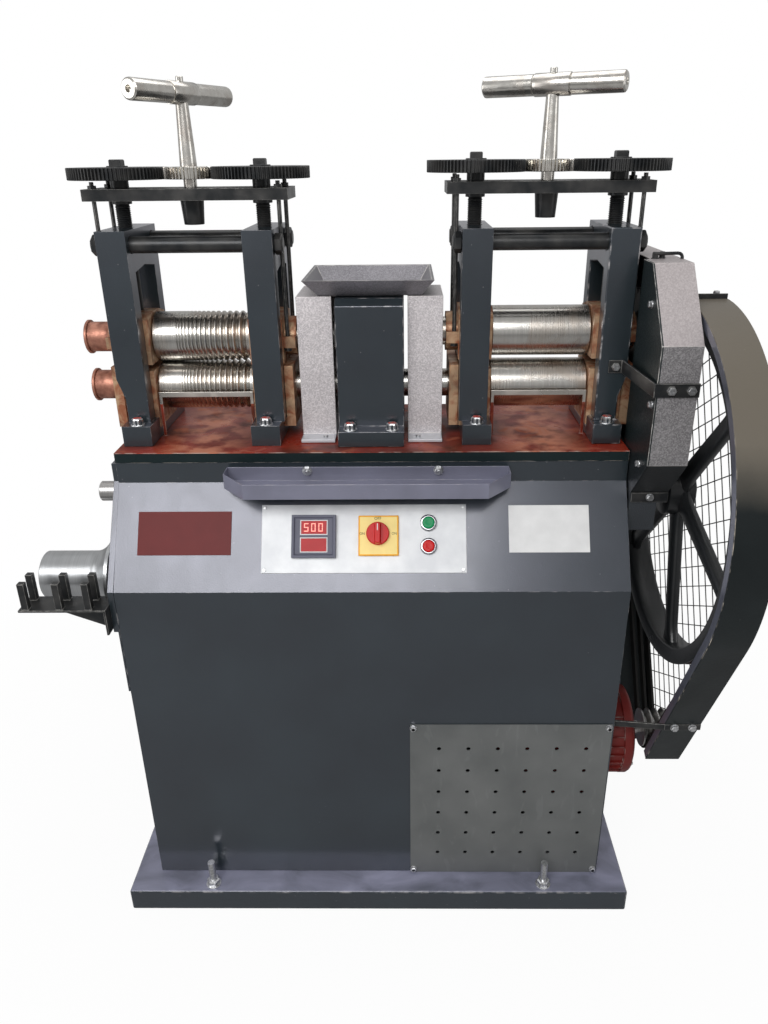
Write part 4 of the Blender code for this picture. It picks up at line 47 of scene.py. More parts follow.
LENS_MM = 28.07
camera_forward = Vector((
    -math.sin(CAMERA_YAW) * math.cos(CAMERA_PITCH),
    math.cos(CAMERA_YAW) * math.cos(CAMERA_PITCH),
    -math.sin(CAMERA_PITCH),
))
level_right = Vector((math.cos(CAMERA_YAW), math.sin(CAMERA_YAW), 0.0))
level_down = camera_forward.cross(level_right)
camera_right = math.cos(CAMERA_ROLL) * level_right + math.sin(CAMERA_ROLL) * level_down
camera_down = math.cos(CAMERA_ROLL) * level_down - math.sin(CAMERA_ROLL) * level_right
camera_data = bpy.data.cameras.new("photo_camera")
camera_data.sensor_width = 36.0
camera_data.sensor_fit = "AUTO"
camera_data.lens = LENS_MM
camera_data.shift_x = -0.0141
camera_data.clip_start = 0.05
camera = bpy.data.objects.new("photo_camera", camera_data)
camera.matrix_world = Matrix.Translation(CAMERA_PLACE) @ Matrix(
    (camera_right, -camera_down, -camera_forward)
).transposed().to_4x4()
bpy.context.scene.collection.objects.link(camera)
bpy.context.scene.camera = camera
bpy.context.scene.view_settings.view_transform = "Standard"


# Finishes
# Every surface is painted, ground, cast or moulded, and each finish is one material built from nodes.
class Value:
    """One output of a finish's nodes; arithmetic on it adds Math nodes."""

    def __init__(self, finish, socket):
        self.finish = finish
        self.socket = socket

    def math(self, operation, first, second=0.0, clamped=False):
        settings = {"operation": operation, "use_clamp": clamped}
        return self.finish.node("ShaderNodeMath", settings, {0: first, 1: second})

    def __add__(self, other):
        return self.math("ADD", self, other)

    def __radd__(self, other):
        return self.math("ADD", other, self)

    def __sub__(self, other):
        return self.math("SUBTRACT", self, other)

    def __rsub__(self, other):
        return self.math("SUBTRACT", other, self)

    def __mul__(self, other):
        return self.math("MULTIPLY", self, other)

    def __rmul__(self, other):
        return self.math("MULTIPLY", other, self)

    def __truediv__(self, other):
        return self.math("DIVIDE", self, other)

    def __gt__(self, other):
        return self.math("GREATER_THAN", self, other)

    def __lt__(self, other):
        return self.math("LESS_THAN", self, other)


class Finish:
    """One material, its shader, and the patterns that its surfaces share."""

    def __init__(self, name, metallic=0.0, **constants):
        self.material = bpy.data.materials.new(name)
        self.material.use_nodes = True
        self.tree = self.material.node_tree
        self.shader = self.tree.nodes["Principled BSDF"]
        self.shader.inputs["Metallic"].default_value = metallic
        for socket, value in constants.items():
            self.shader.inputs[socket.replace("_", " ")].default_value = value
        self.place = self.node("ShaderNodeTexCoord", {}, {}, "Object")

    def node(self, kind, settings, sockets, output=0):
        made = self.tree.nodes.new(kind)
        for setting, value in settings.items():
            if setting == "stops":
                self.stops(made.color_ramp, value)
            else:
                setattr(made, setting, value)
        for socket, value in sockets.items():
            self.join(value, made.inputs[socket])
        return Value(self, made.outputs[output])

    def join(self, value, socket):
        if isinstance(value, Value):
            self.tree.links.new(value.socket, socket)
        elif socket.type == "RGBA":
            socket.default_value = (*value, 1.0)
        else:
            socket.default_value = value

    def stops(self, ramp, stops):
        while len(ramp.elements) < len(stops):
            ramp.elements.new(0.5)
        for element, (position, level) in zip(ramp.elements, stops):
            element.position = position
            element.color = (level, level, level, 1.0)

    def surface(self, **sockets):
        for socket, value in sockets.items():
            self.join(value, self.shader.inputs[socket.replace("_", " ")])

    def stretched(self, stretch):
        return self.node("ShaderNodeMapping", {}, {"Vector": self.place, "Scale": stretch})

    def noise(self, scale, detail=3.0, stretch=None, distortion=0.0):
        place = self.stretched(stretch) if stretch else self.place
        sockets = {"Vector": place, "Scale": scale, "Detail": detail, "Distortion": distortion}
        return self.node("ShaderNodeTexNoise", {}, sockets, "Fac")

    def cells(self, scale, output="Distance", feature="F1"):
        sockets = {"Vector": self.place, "Scale": scale}
        return self.node("ShaderNodeTexVoronoi", {"feature": feature}, sockets, output)

    def ramp(self, value, *stops):
        return self.node("ShaderNodeValToRGB", {"stops": stops}, {"Fac": value})

    def mix(self, share, first, second):
        settings = {"data_type": "RGBA"}
        return self.node("ShaderNodeMix", settings, {0: share, 6: first, 7: second}, 2)

    def over(self, colour, share):
        """Lays another colour over the base colour that the finish already has."""
        under = Value(self, self.shader.inputs["Base Color"].links[0].from_socket)
        self.surface(Base_Color=self.mix(share, under, colour))

    def math(self, operation, first, second=0.0):
        return self.node("ShaderNodeMath", {"operation": operation}, {0: first, 1: second})

    def worn(self):
        return self.node("ShaderNodeAttribute", {"attribute_name": "worn"}, {}, "Fac")

    def along(self):
        return self.node("ShaderNodeSeparateXYZ", {}, {0: self.place}, "X")

    def height(self):
        return self.node("ShaderNodeSeparateXYZ", {}, {0: self.place}, "Z")

    def bump(self, height, distance, strength=1.0, under=None):
        sockets = {"Height": height, "Distance": distance, "Strength": strength}
        if under:
            sockets["Normal"] = under
        return self.node("ShaderNodeBump", {}, sockets)


def shaded(colour, factor):
    return tuple(min(1.0, channel * factor) for channel in colour)


def paint(name, colour, roughness, peel=0.00015, specks=0.35, edge_wear_and_highlight=0.6, bare=(0.42, 0.40, 0.37), **constants):
    """Brushed or sprayed enamel: cloudy tone, orange peel, pale dusty specks, and pale edges that are partly rubbed
    paint and partly painted highlight.
    """
    made = Finish(name, **constants)
    cloud = made.ramp(made.noise(7.0, 5.0), (0.30, 0.0), (0.72, 1.0))
    tone = made.mix(cloud, shaded(colour, 0.78), shaded(colour, 1.28))
    sparse = made.ramp(made.cells(70.0, "Color"), (0.70, 0.0), (0.74, 1.0))
    dots = made.ramp(made.cells(70.0), (0.035, 1.0), (0.075, 0.0))
    tone = made.mix(dots * sparse * specks, tone, (0.45, 0.44, 0.42))
    patchy = made.ramp(made.noise(55.0, 6.0), (0.50, 0.0), (0.68, 1.0))
    # Rounded edges are painted in the pale edge colour: partly rubbed paint, partly a painted highlight along the
    # edges.
    worn_and_highlit_edges = made.worn() * patchy * edge_wear_and_highlight
    tone = made.mix(worn_and_highlit_edges, tone, bare)
    smear = made.noise(16.0, 6.0, (1.0, 1.0, 0.35), 1.2)
    made.surface(Base_Color=tone, Roughness=roughness * 0.72 + smear * roughness * 0.55 + worn_and_highlit_edges * 0.12)
    grain = made.noise(420.0, 2.0) + made.noise(90.0, 2.0) * 0.6
    made.surface(Normal=made.bump(grain, peel))
    return made


# Floor, room and lamps
# A plain pale floor and soft lamps: one large panel behind the camera, one overhead, two at the sides.
FLOOR_REACH = 9.0
room = Finish("studio_floor", Roughness=0.9)
room.surface(Base_Color=(0.80, 0.80, 0.80))
glow = room.node("ShaderNodeEmission", {}, {"Color": (1.0, 1.0, 1.0), "Strength": 1.0})
paths = room.tree.nodes.new("ShaderNodeLightPath")
seen = Value(room, paths.outputs["Is Camera Ray"])
mirrored = Value(room, paths.outputs["Is Glossy Ray"])
through = Value(room, paths.outputs["Is Transmission Ray"])
far = room.node("ShaderNodeVectorMath", {"operation": "LENGTH"}, {0: room.place}, "Value")
fade = room.ramp(far / FLOOR_REACH, (0.08, 0.0), (0.20, 1.0))
lit = Value(room, room.shader.outputs["BSDF"])
blend = room.node("ShaderNodeMixShader", {}, {0: (seen + through) * (0.94 + fade * 0.06), 1: lit, 2: glow})
dim = room.node("ShaderNodeEmission", {}, {"Color": (1.0, 1.0, 1.0), "Strength": 0.14})
mirror = room.node("ShaderNodeMixShader", {}, {0: mirrored * 0.65, 1: blend, 2: dim})
room.tree.links.new(mirror.socket, room.tree.nodes["Material Output"].inputs["Surface"])
floor_mesh = bpy.data.meshes.new("floor")
corners = [(-FLOOR_REACH, -FLOOR_REACH), (FLOOR_REACH, -FLOOR_REACH), (FLOOR_REACH, FLOOR_REACH), (-FLOOR_REACH, FLOOR_REACH)]
floor_mesh.from_pydata([(x, y, 0.0) for x, y in corners], [], [(0, 1, 2, 3)])
floor_mesh.materials.append(room.material)
floor = bpy.data.objects.new("floor", floor_mesh)
bpy.context.scene.collection.objects.link(floor)

world = bpy.data.worlds.new("studio")
bpy.context.scene.world = world
world.use_nodes = True
sky = world.node_tree
sky_light = sky.nodes["Background"]
sky_light.inputs["Color"].default_value = (1.0, 1.0, 1.0, 1.0)
sky_light.inputs["Strength"].default_value = 0.42
sky_seen = sky.nodes.new("ShaderNodeBackground")
sky_seen.inputs["Color"].default_value = (1.0, 1.0, 1.0, 1.0)
sky_seen.inputs["Strength"].default_value = 1.0
sky_path = sky.nodes.new("ShaderNodeLightPath")
sky_mix = sky.nodes.new("ShaderNodeMixShader")
either = sky.nodes.new("ShaderNodeMath")
either.operation = "ADD"
either.use_clamp = True
mirror_share = sky.nodes.new("ShaderNodeMath")
mirror_share.operation = "MULTIPLY"
mirror_share.inputs[1].default_value = 0.12
sky.links.new(sky_path.outputs["Is Glossy Ray"], mirror_share.inputs[0])
sky.links.new(sky_path.outputs["Is Camera Ray"], either.inputs[0])
sky.links.new(mirror_share.outputs[0], either.inputs[1])
sky.links.new(either.outputs[0], sky_mix.inputs[0])
sky.links.new(sky_light.outputs[0], sky_mix.inputs[1])
sky.links.new(sky_seen.outputs[0], sky_mix.inputs[2])
sky.links.new(sky_mix.outputs[0], sky.nodes["World Output"].inputs["Surface"])


def lamp(name, place, aim, size, radiance):
    """A flat soft panel that faces a point; its power follows from its size and brightness."""
    data = bpy.data.lights.new(name, "AREA")
    data.shape = "RECTANGLE"
    data.size, data.size_y = size
    data.energy = radiance * math.pi * size[0] * size[1]
    panel = bpy.data.objects.new(name, data)
    facing = Vector(aim) - Vector(place)
    panel.matrix_world = Matrix.Translation(place) @ facing.to_track_quat("-Z", "Y").to_matrix().to_4x4()
    bpy.context.scene.collection.objects.link(panel)


lamp("key_panel", (-0.75, -2.75, 2.85), (0.0, -0.2, 0.80), (2.6, 1.4), 6.8)
lamp("top_panel", (0.0, 0.6, 3.4), (0.0, 0.0, 1.0), (2.4, 2.0), 1.6)
lamp("left_panel", (-3.0, -1.0, 1.5), (-0.2, 0.0, 0.9), (1.2, 2.0), 2.2)
lamp("right_panel", (3.0, -0.9, 1.6), (0.2, 0.0, 0.9), (1.2, 2.0), 1.4)


# Cabinet and base
# A folded sheet cabinet, its thick left end plate and the plinth that it stands on, all in one dark
# enamel with a rolled, slightly textured gloss.
PLACED = {
    "X": lambda a, b, level: (level, a, b),
    "Y": lambda a, b, level: (a, level, b),
    "Z": lambda a, b, level: (a, b, level),
}
ENAMEL_COLOUR = (0.0100, 0.0175, 0.0190)
GLOSS = {"Specular_IOR_Level": 0.9, "Specular_Tint": (0.90, 0.90, 1.0, 1.0), "Coat_Weight": 0.6,
         "Coat_Roughness": 0.16, "Coat_Tint": (0.90, 0.90, 1.0, 1.0)}
# Its strong pale edges are partly rubbed paint and partly painted highlight.
dark_enamel = paint("dark_enamel", ENAMEL_COLOUR, 0.32, edge_wear_and_highlight=0.8, **GLOSS)


def dressed(obj, finish, body, slot, *replaced):
    """Gives a finished piece its look, hangs it on the body that it rides on and hides the solids that it stands for.
    """
    obj.data.materials.clear()
    obj.data.materials.append(finish.material)
    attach(obj, body)
    if replaced:
        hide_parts(*replaced)
    return obj


def object_of(name, mesh):
    obj = bpy.data.objects.new(name, mesh)
    bpy.context.scene.collection.objects.link(obj)
    return obj


def evaluated(obj):
    """Applies an object's modifiers and returns it with the plain mesh that they made."""
    bpy.context.view_layer.update()
    graph = bpy.context.evaluated_depsgraph_get()
    mesh = bpy.data.meshes.new_from_object(obj.evaluated_get(graph))
    obj.modifiers.clear()
    obj.data = mesh
    return obj


def broken(obj, width, steps=2, crisp=30.0):
    """Rounds an object's sharp edges, marks the rounded faces for the pale edges of the finishes and keeps flat faces
    flat.
    """
    for _ in range(2):
        obj.data.materials.append(None)
    modifier = obj.modifiers.new("edges", "BEVEL")
    modifier.width = width
    modifier.segments = steps
    modifier.limit_method = "ANGLE"
    modifier.angle_limit = math.radians(crisp)
    modifier.material = 1
    modifier.harden_normals = False
    evaluated(obj)
    mesh = obj.data
    marks = [0.0] * len(mesh.loops)
    for face in mesh.polygons:
        if face.material_index == 1:
            for loop in face.loop_indices:
                marks[loop] = 1.0
        face.material_index = 0
    mesh.attributes.new("worn", "FLOAT", "CORNER").data.foreach_set("value", marks)
    smoothed(obj, 38.0)
    obj.modifiers.new("flats", "WEIGHTED_NORMAL").keep_sharp = True
    return evaluated(obj)


def smoothed(obj, crisp=30.0):
    obj.data.shade_smooth()
    obj.data.set_sharp_from_angle(angle=math.radians(crisp))
    return obj


def softened(node, finish, slot, body, width, steps=2, name=None):
    """A copy of a solid with its flat faces whole again and its edges rounded."""
    bm = bmesh.new()
    bm.from_mesh(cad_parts[node].data)
    bmesh.ops.remove_doubles(bm, verts=bm.verts, dist=1e-5)
    bmesh.ops.dissolve_limit(bm, angle_limit=math.radians(0.4), verts=bm.verts, edges=bm.edges)
    mesh = bpy.data.meshes.new(name or f"{node}_body")
    bm.to_mesh(mesh)
    bm.free()
    mesh.materials.clear()
    obj = object_of(name or f"{node}_body", mesh)
    broken(obj, width, steps)
    return dressed(obj, finish, body, slot, node)


def loft(bm, axis, rings, closed=False):
    """A skin over outlines at levels along an axis, capped at both ends unless it closes on itself."""
    rows = [[bm.verts.new(PLACED[axis](a, b, level)) for a, b in outline] for outline, level in rings]
    pairs = list(zip(rows, rows[1:]))
    if closed:
        pairs.append((rows[-1], rows[0]))
    else:
        bm.faces.new(rows[0])
        bm.faces.new(rows[-1])
    for first, second in pairs:
        for i, vertex in enumerate(first):
            j = (i + 1) % len(first)
            bm.faces.new((vertex, first[j], second[j], second[i]))


def circle(radius, sides, centre=(0.0, 0.0), phase=0.0):
    angles = [phase + 2 * math.pi * step / sides for step in range(sides)]
    return [(centre[0] + radius * math.cos(a), centre[1] + radius * math.sin(a)) for a in angles]


def turn(bm, axis, centre, profile, sides=64, closed=False):
    """A turned shape: (place along the axis, radius) points swept round a centre."""
    loft(bm, axis, [(circle(radius, sides, centre), along) for along, radius in profile], closed)


def box(bm, low, high):
    (x0, y0, z0), (x1, y1, z1) = low, high
    loft(bm, "Z", [([(x0, y0), (x1, y0), (x1, y1), (x0, y1)], z) for z in (z0, z1)])


def made(name, bm, crisp=30.0):
    bmesh.ops.recalc_face_normals(bm, faces=bm.faces)
    mesh = bpy.data.meshes.new(name)
    bm.to_mesh(mesh)
    bm.free()
    return smoothed(object_of(name, mesh), crisp)


softened("cabinet_shell", dark_enamel, "dark_enamel", "stand", 0.0022, 3)
softened("left_side_plate", dark_enamel, "dark_enamel", "stand", 0.0013)

PLINTH_HALF = (0.500, 0.300)
PLINTH_TOP = 0.050
plinth = bmesh.new()
box(plinth, (-PLINTH_HALF[0], -PLINTH_HALF[1], 0.0), (*PLINTH_HALF, PLINTH_TOP))
plinth_block = broken(made("plinth_block", plinth), 0.004, 3)
dust_and_sheen_enamel = paint("dust_and_sheen_enamel", ENAMEL_COLOUR, 0.34, edge_wear_and_highlight=0.45, **GLOSS)
# The plinth's top is painted with pale blue patches: partly dust, partly a painted sheen of the light from above.
on_top = dust_and_sheen_enamel.height() > PLINTH_TOP - 0.0008
dust_and_sheen = dust_and_sheen_enamel.ramp(dust_and_sheen_enamel.noise(14.0, 6.0, (0.6, 1.0, 1.0), 0.8), (0.30, 0.35), (0.72, 1.0))
dust_and_sheen_enamel.over((0.270, 0.275, 0.350), on_top * dust_and_sheen)
dressed(plinth_block, dust_and_sheen_enamel, "stand", "dark_enamel", "base_plinth")
for node in ("left_shaft_bearing", "right_shaft_bearing"):
    softened(node, dark_enamel, "dark_enamel", "stand", 0.0012)


# Bolts, nuts and screws
# Zinc plated fasteners with washers; a dab of red sealing paint marks those that hold the castings.
def fastener_tree():
    """Geometry nodes that stand one fastener on each point, turned to the point's own direction."""
    tree = bpy.data.node_groups.new("fasteners", "GeometryNodeTree")
    face = tree.interface
    face.new_socket("Points", in_out="INPUT", socket_type="NodeSocketGeometry")
    for label in ("Head sides",):
        face.new_socket(label, in_out="INPUT", socket_type="NodeSocketInt")
    for label in ("Head radius", "Head height", "Washer radius", "Washer height", "Stud radius", "Stud height"):
        face.new_socket(label, in_out="INPUT", socket_type="NodeSocketFloat")
    face.new_socket("Finish", in_out="INPUT", socket_type="NodeSocketMaterial")
    face.new_socket("Fasteners", in_out="OUTPUT", socket_type="NodeSocketGeometry")
    entry = tree.nodes.new("NodeGroupInput").outputs

    def link(value, socket):
        if isinstance(value, (int, float)):
            socket.default_value = value
        else:
            tree.links.new(value, socket)

    def maths(operation, first, second):
        node = tree.nodes.new("ShaderNodeMath")
        node.operation = operation
        link(first, node.inputs[0])
        link(second, node.inputs[1])
        return node.outputs[0]

    def standing(sides, foot_radius, top_radius, height, foot):
        node = tree.nodes.new("GeometryNodeMeshCone")
        link(sides, node.inputs["Vertices"])
        link(foot_radius, node.inputs["Radius Bottom"])
        link(top_radius, node.inputs["Radius Top"])
        link(height, node.inputs["Depth"])
        lift = tree.nodes.new("ShaderNodeCombineXYZ")
        link(foot, lift.inputs["Z"])
        moved = tree.nodes.new("GeometryNodeTransform")
        tree.links.new(node.outputs["Mesh"], moved.inputs["Geometry"])
        tree.links.new(lift.outputs[0], moved.inputs["Translation"])
        return moved.outputs["Geometry"]

    shoulder = maths("MULTIPLY", entry["Head height"], 0.22)
    barrel = maths("SUBTRACT", entry["Head height"], shoulder)
    top = maths("ADD", entry["Washer height"], barrel)
    inner = maths("MULTIPLY", entry["Head radius"], 0.84)
    rounded = maths("MULTIPLY", entry["Washer radius"], 0.97)
    parts = [
        standing(24, entry["Washer radius"], rounded, entry["Washer height"], 0.0),
        standing(entry["Head sides"], entry["Head radius"], entry["Head radius"], barrel, entry["Washer height"]),
        standing(entry["Head sides"], entry["Head radius"], inner, shoulder, top),
        standing(16, entry["Stud radius"], entry["Stud radius"], entry["Stud height"], 0.0),
    ]
    joined = tree.nodes.new("GeometryNodeJoinGeometry")
    for part in parts:
        tree.links.new(part, joined.inputs[0])
    facing = tree.nodes.new("GeometryNodeInputNamedAttribute")
    facing.data_type = "FLOAT_VECTOR"
    facing.inputs["Name"].default_value = "facing"
    turned = tree.nodes.new("FunctionNodeAlignRotationToVector")
    turned.axis = "Z"
    tree.links.new(facing.outputs["Attribute"], turned.inputs["Vector"])
    copies = tree.nodes.new("GeometryNodeInstanceOnPoints")
    tree.links.new(entry["Points"], copies.inputs["Points"])
    tree.links.new(joined.outputs[0], copies.inputs["Instance"])
    tree.links.new(turned.outputs[0], copies.inputs["Rotation"])
    real = tree.nodes.new("GeometryNodeRealizeInstances")
    tree.links.new(copies.outputs[0], real.inputs[0])
    coloured = tree.nodes.new("GeometryNodeSetMaterial")
    tree.links.new(real.outputs[0], coloured.inputs["Geometry"])
    tree.links.new(entry["Finish"], coloured.inputs["Material"])
    tree.links.new(coloured.outputs[0], tree.nodes.new("NodeGroupOutput").inputs[0])
    return tree


def grown(name, points, tree, finish, sizes, facings=None):
    """A plain mesh that a tree grows on points; its inputs are set by their identifiers."""
    mesh = bpy.data.meshes.new(name)
    mesh.from_pydata([tuple(point) for point in points], [], [])
    if facings:
        flat = [number for facing in facings for number in facing]
        mesh.attributes.new("facing", "FLOAT_VECTOR", "POINT").data.foreach_set("vector", flat)
    obj = object_of(name, mesh)
    modifier = obj.modifiers.new("growth", "NODES")
    modifier.node_group = tree
    values = dict(sizes, Finish=finish.material)
    for socket in tree.interface.items_tree:
        if socket.in_out == "INPUT" and socket.name in values:
            modifier[socket.identifier] = values[socket.name]
    return evaluated(obj)


FASTENERS = fastener_tree()


def fasteners(name, finish, slot, body, places, facing, sides, flats, height, washer=0.0, stud=(0.001, 0.0005)):
    """Like bolts on one body: head across flats and height, washer radius, stud radius and rise."""
    radius = flats / 2 / math.cos(math.pi / 6) if sides == 6 else flats / 2
    sizes = {
        "Head sides": sides,
        "Head radius": radius,
        "Head height": height,
        "Washer radius": washer or radius * 0.9,
        "Washer height": 0.0012 if washer else 0.0002,
        "Stud radius": stud[0],
        "Stud height": stud[1],
    }
    facings = [facing] * len(places) if isinstance(facing[0], (int, float)) else facing
    obj = grown(name, places, FASTENERS, finish, sizes, facings)
    return dressed(smoothed(obj), finish, body, slot)


zinc = Finish("zinc_plate", metallic=0.95)
zinc_tone = zinc.ramp(zinc.noise(260.0, 3.0), (0.35, 0.0), (0.7, 1.0))
zinc.surface(
    Base_Color=zinc.mix(zinc_tone, (0.42, 0.42, 0.43), (0.74, 0.75, 0.76)),
    Roughness=0.26 + zinc.noise(120.0, 2.0) * 0.16,
    Normal=zinc.bump(zinc.noise(600.0, 2.0), 0.0001),
)
ANCHORS = [(x, y, PLINTH_TOP) for x in (-0.334, 0.334) for y in (-0.279, 0.279)]
fasteners("anchor_bolts", zinc, "ground_steel", "stand", ANCHORS, (0, 0, 1), 6, 0.022, 0.012, 0.015, (0.0069, 0.057))


# Bed plate
# Machined on top and left in red brown primer under a film of oil; its edge is enamelled, and a
# narrow guide strip stands in front of each lower roll.
BED_TOP = 0.930
oiled_primer = Finish("oiled_primer", Specular_IOR_Level=0.14)
soot = oiled_primer.ramp(oiled_primer.noise(11.0, 6.0, distortion=0.6), (0.40, 0.0), (0.66, 1.0))
tan = oiled_primer.ramp(oiled_primer.noise(17.0, 5.0, distortion=1.4), (0.56, 0.0), (0.66, 1.0))
bed_tone = oiled_primer.mix(soot, (0.240, 0.026, 0.013), (0.075, 0.015, 0.009))
bed_tone = oiled_primer.mix(tan * 0.55, bed_tone, (0.38, 0.120, 0.070))
from_head = oiled_primer.math("ABSOLUTE", oiled_primer.math("ABSOLUTE", oiled_primer.along()) - 0.300)
ragged = oiled_primer.noise(24.0, 5.0)
near_rolls = oiled_primer.ramp(from_head + 0.10 * ragged, (0.090, 1.0), (0.140, 0.0))
rubbed_bare = oiled_primer.ramp(ragged, (0.40, 0.0), (0.60, 1.0)) * near_rolls
bed_tone = oiled_primer.mix(rubbed_bare * 0.85, bed_tone, (0.52, 0.200, 0.120))
edge_side = oiled_primer.height() < BED_TOP - 0.0012
bed_tone = oiled_primer.mix(edge_side, bed_tone, ENAMEL_COLOUR)
bare_edge = oiled_primer.worn() * oiled_primer.ramp(oiled_primer.noise(40.0, 6.0), (0.45, 0.0), (0.6, 1.0))
bed_tone = oiled_primer.mix(bare_edge * 0.6, bed_tone, (0.40, 0.36, 0.32))
strip_side = oiled_primer.height() > BED_TOP + 0.060
oiled_primer.surface(
    Base_Color=oiled_primer.mix(strip_side, bed_tone, (0.52, 0.49, 0.45)),
    Roughness=0.26 + soot * 0.18 + tan * 0.2,
    Metallic=strip_side * 0.9,
    Normal=oiled_primer.bump(oiled_primer.noise(300.0, 4.0) + soot, 0.0002),
)
softened("bed_plate", oiled_primer, "oiled_red_primer", "stand", 0.0011)
# The tray's enamel is painted far lighter and bluer than the dark enamel it shares with the cabinet, a painted sheen.
tray_sheen_enamel = paint("tray_sheen_enamel", (0.150, 0.152, 0.190), 0.34, edge_wear_and_highlight=0.45, **GLOSS)
softened("front_tray", tray_sheen_enamel, "dark_enamel", "stand", 0.0007)
TRAY_BOLT_Z = 0.896
fasteners(
    "tray_bolts", zinc, "ground_steel", "stand",
    [(-0.112, -0.1464, TRAY_BOLT_Z), (0.118, -0.1464, TRAY_BOLT_Z)], (0, -1, 0), 6, 0.013, 0.006, 0.009, (0.003, 0.011),
)


# Roll frames
# Four iron castings, ground and enamelled, each bolted to the bed through its feet; turned tie bars
# with hexagon nuts brace each pair.
HEADS = {"left": -0.300, "right": 0.300}
SIDES = {"left": -1, "right": 1}
for head, middle in HEADS.items():
    for kind in ("outer", "inner"):
        softened(f"{head}_{kind}_frame", dark_enamel, "dark_enamel", "stand", 0.0030, 3)

FOOT_BOLT_TOP, FOOT_BOLT_HEIGHT = 0.967, 0.0104
red_seal = Finish("red_seal", metallic=0.1)
seal_patch = red_seal.ramp(red_seal.noise(150.0, 3.0), (0.54, 0.0), (0.60, 1.0))
red_seal.surface(
    Base_Color=red_seal.mix(seal_patch, (0.40, 0.040, 0.022), (0.50, 0.44, 0.42)),
    Roughness=0.34 + seal_patch * 0.08,
    Metallic=seal_patch * 0.8,
    Normal=red_seal.bump(red_seal.noise(220.0, 3.0), 0.0002),
)
foot_places = []
for middle in HEADS.values():
    for end in (-1, 1):
        for y in (-0.099, 0.099):
            foot_places.append((middle + end * 0.114, y, FOOT_BOLT_TOP))
for x in (-0.037, 0.037):
    for y in (-0.1045, 0.1045):
        foot_places.append((x, y, 0.958))
fasteners("foot_bolts", zinc, "ground_steel", "stand", foot_places, (0, 0, 1), 6, 0.0176, FOOT_BOLT_HEIGHT, 0.0124)
sealed = [(x, y, z + FOOT_BOLT_HEIGHT - 0.0002) for x, y, z in foot_places]
fasteners("red_seals", red_seal, "ground_steel", "stand", sealed, (0, 0, 1), 12, 0.0150, 0.0016)

TIE_BAR_Y, TIE_BAR_Z = 0.060, 1.2665
TIE_NUT_FLATS = 0.030
black_oxide = Finish("black_oxide", metallic=0.55)
oxide_cloud = black_oxide.ramp(black_oxide.noise(30.0, 5.0), (0.35, 0.0), (0.75, 1.0))
oxide_tone = black_oxide.mix(oxide_cloud, (0.020, 0.022, 0.024), (0.060, 0.058, 0.056))
oxide_worn = black_oxide.worn() * black_oxide.ramp(black_oxide.noise(120.0, 4.0), (0.35, 0.2), (0.65, 1.0))
black_oxide.surface(
    Base_Color=black_oxide.mix(oxide_worn * 0.75, oxide_tone, (0.34, 0.33, 0.31)),
    Roughness=0.30 + oxide_cloud * 0.16,
    Normal=black_oxide.bump(black_oxide.noise(500.0, 3.0), 0.00012),
)


def hex_outline(flats, centre, phase=0.0):
    return circle(flats / 2 / math.cos(math.pi / 6), 6, centre, phase)


for head, middle in HEADS.items():
    for kind, y in (("front", -TIE_BAR_Y), ("rear", TIE_BAR_Y)):
        bar = bmesh.new()
        centre = (y, TIE_BAR_Z)
        reach = 0.1594
        profile = [(-reach, 0.0110), (0.002 - reach, 0.0133), (reach - 0.002, 0.0133), (reach, 0.0110)]
        turn(bar, "X", centre, [(middle + x, radius) for x, radius in profile], 40)
        for end in (-1, 1):
            rings = []
            for x, share in ((0.1455, 0.93), (0.1470, 1.0), (0.1560, 1.0), (0.1577, 0.93)):
                rings.append((hex_outline(TIE_NUT_FLATS * share, centre, math.pi / 2), middle + end * x))
            loft(bar, "X", rings)
        obj = made(f"{head}_{kind}_tie", bar)
        dressed(obj, black_oxide, "stand", "dark_steel", f"{head}_{kind}_tie_bar")


# Bearing blocks
# Cast bronze blocks slide in the frame windows; rusty iron brackets outside the frames hold the
# hanger rods.
bearing_bronze = Finish("bearing_bronze", metallic=0.45)
rust = bearing_bronze.ramp(bearing_bronze.noise(42.0, 6.0, distortion=0.8), (0.42, 0.0), (0.62, 1.0))
grime = bearing_bronze.ramp(bearing_bronze.noise(18.0, 5.0), (0.50, 0.0), (0.72, 1.0))
bronze_tone = bearing_bronze.mix(rust, (0.55, 0.36, 0.22), (0.32, 0.115, 0.055))
bronze_tone = bearing_bronze.mix(grime * 0.7, bronze_tone, (0.05, 0.032, 0.024))
bearing_bronze.surface(
    Base_Color=bronze_tone,
    Roughness=0.36 + rust * 0.25,
    Normal=bearing_bronze.bump(bearing_bronze.noise(260.0, 5.0), 0.0003),
)
for head in HEADS:
    for kind in ("outer", "inner"):
        softened(f"{head}_{kind}_lower_bearing", bearing_bronze, "bearing_bronze", "stand", 0.0014)
        softened(f"{head}_{kind}_upper_bearing", bearing_bronze, "bearing_bronze", f"{head}_lift", 0.0014)
    softened(f"{head}_cross_plate", black_oxide, "dark_steel", f"{head}_lift", 0.0008)


# Rolls
# Hardened and ground steel, bright and lightly oiled; the left pair has square wire grooves that
# grow from left to right, and copper sleeves on its outer necks.
LOWER_AXIS = 1.0145
UPPER_AXIS = {"left": 1.103, "right": 1.1095}
ROLL_RADIUS, ROLL_HALF_FACE, NECK_RADIUS = 0.044, 0.086, 0.025
GROOVES = 15
rolled_steel = Finish("ground_steel", metallic=1.0)
grinding = rolled_steel.noise(9.0, 5.0, (110.0, 1.0, 1.0))
oil_film = rolled_steel.ramp(rolled_steel.noise(13.0, 5.0, distortion=1.0), (0.44, 0.0), (0.70, 1.0))
steel_tone = rolled_steel.mix(grinding, (0.40, 0.39, 0.37), (0.72, 0.70, 0.66))
rolled_steel.surface(
    Base_Color=rolled_steel.mix(oil_film * 0.45, steel_tone, (0.36, 0.25, 0.17)),
    Roughness=0.16 + grinding * 0.14 + oil_film * 0.08,
    Normal=rolled_steel.bump(grinding, 0.00006),
)


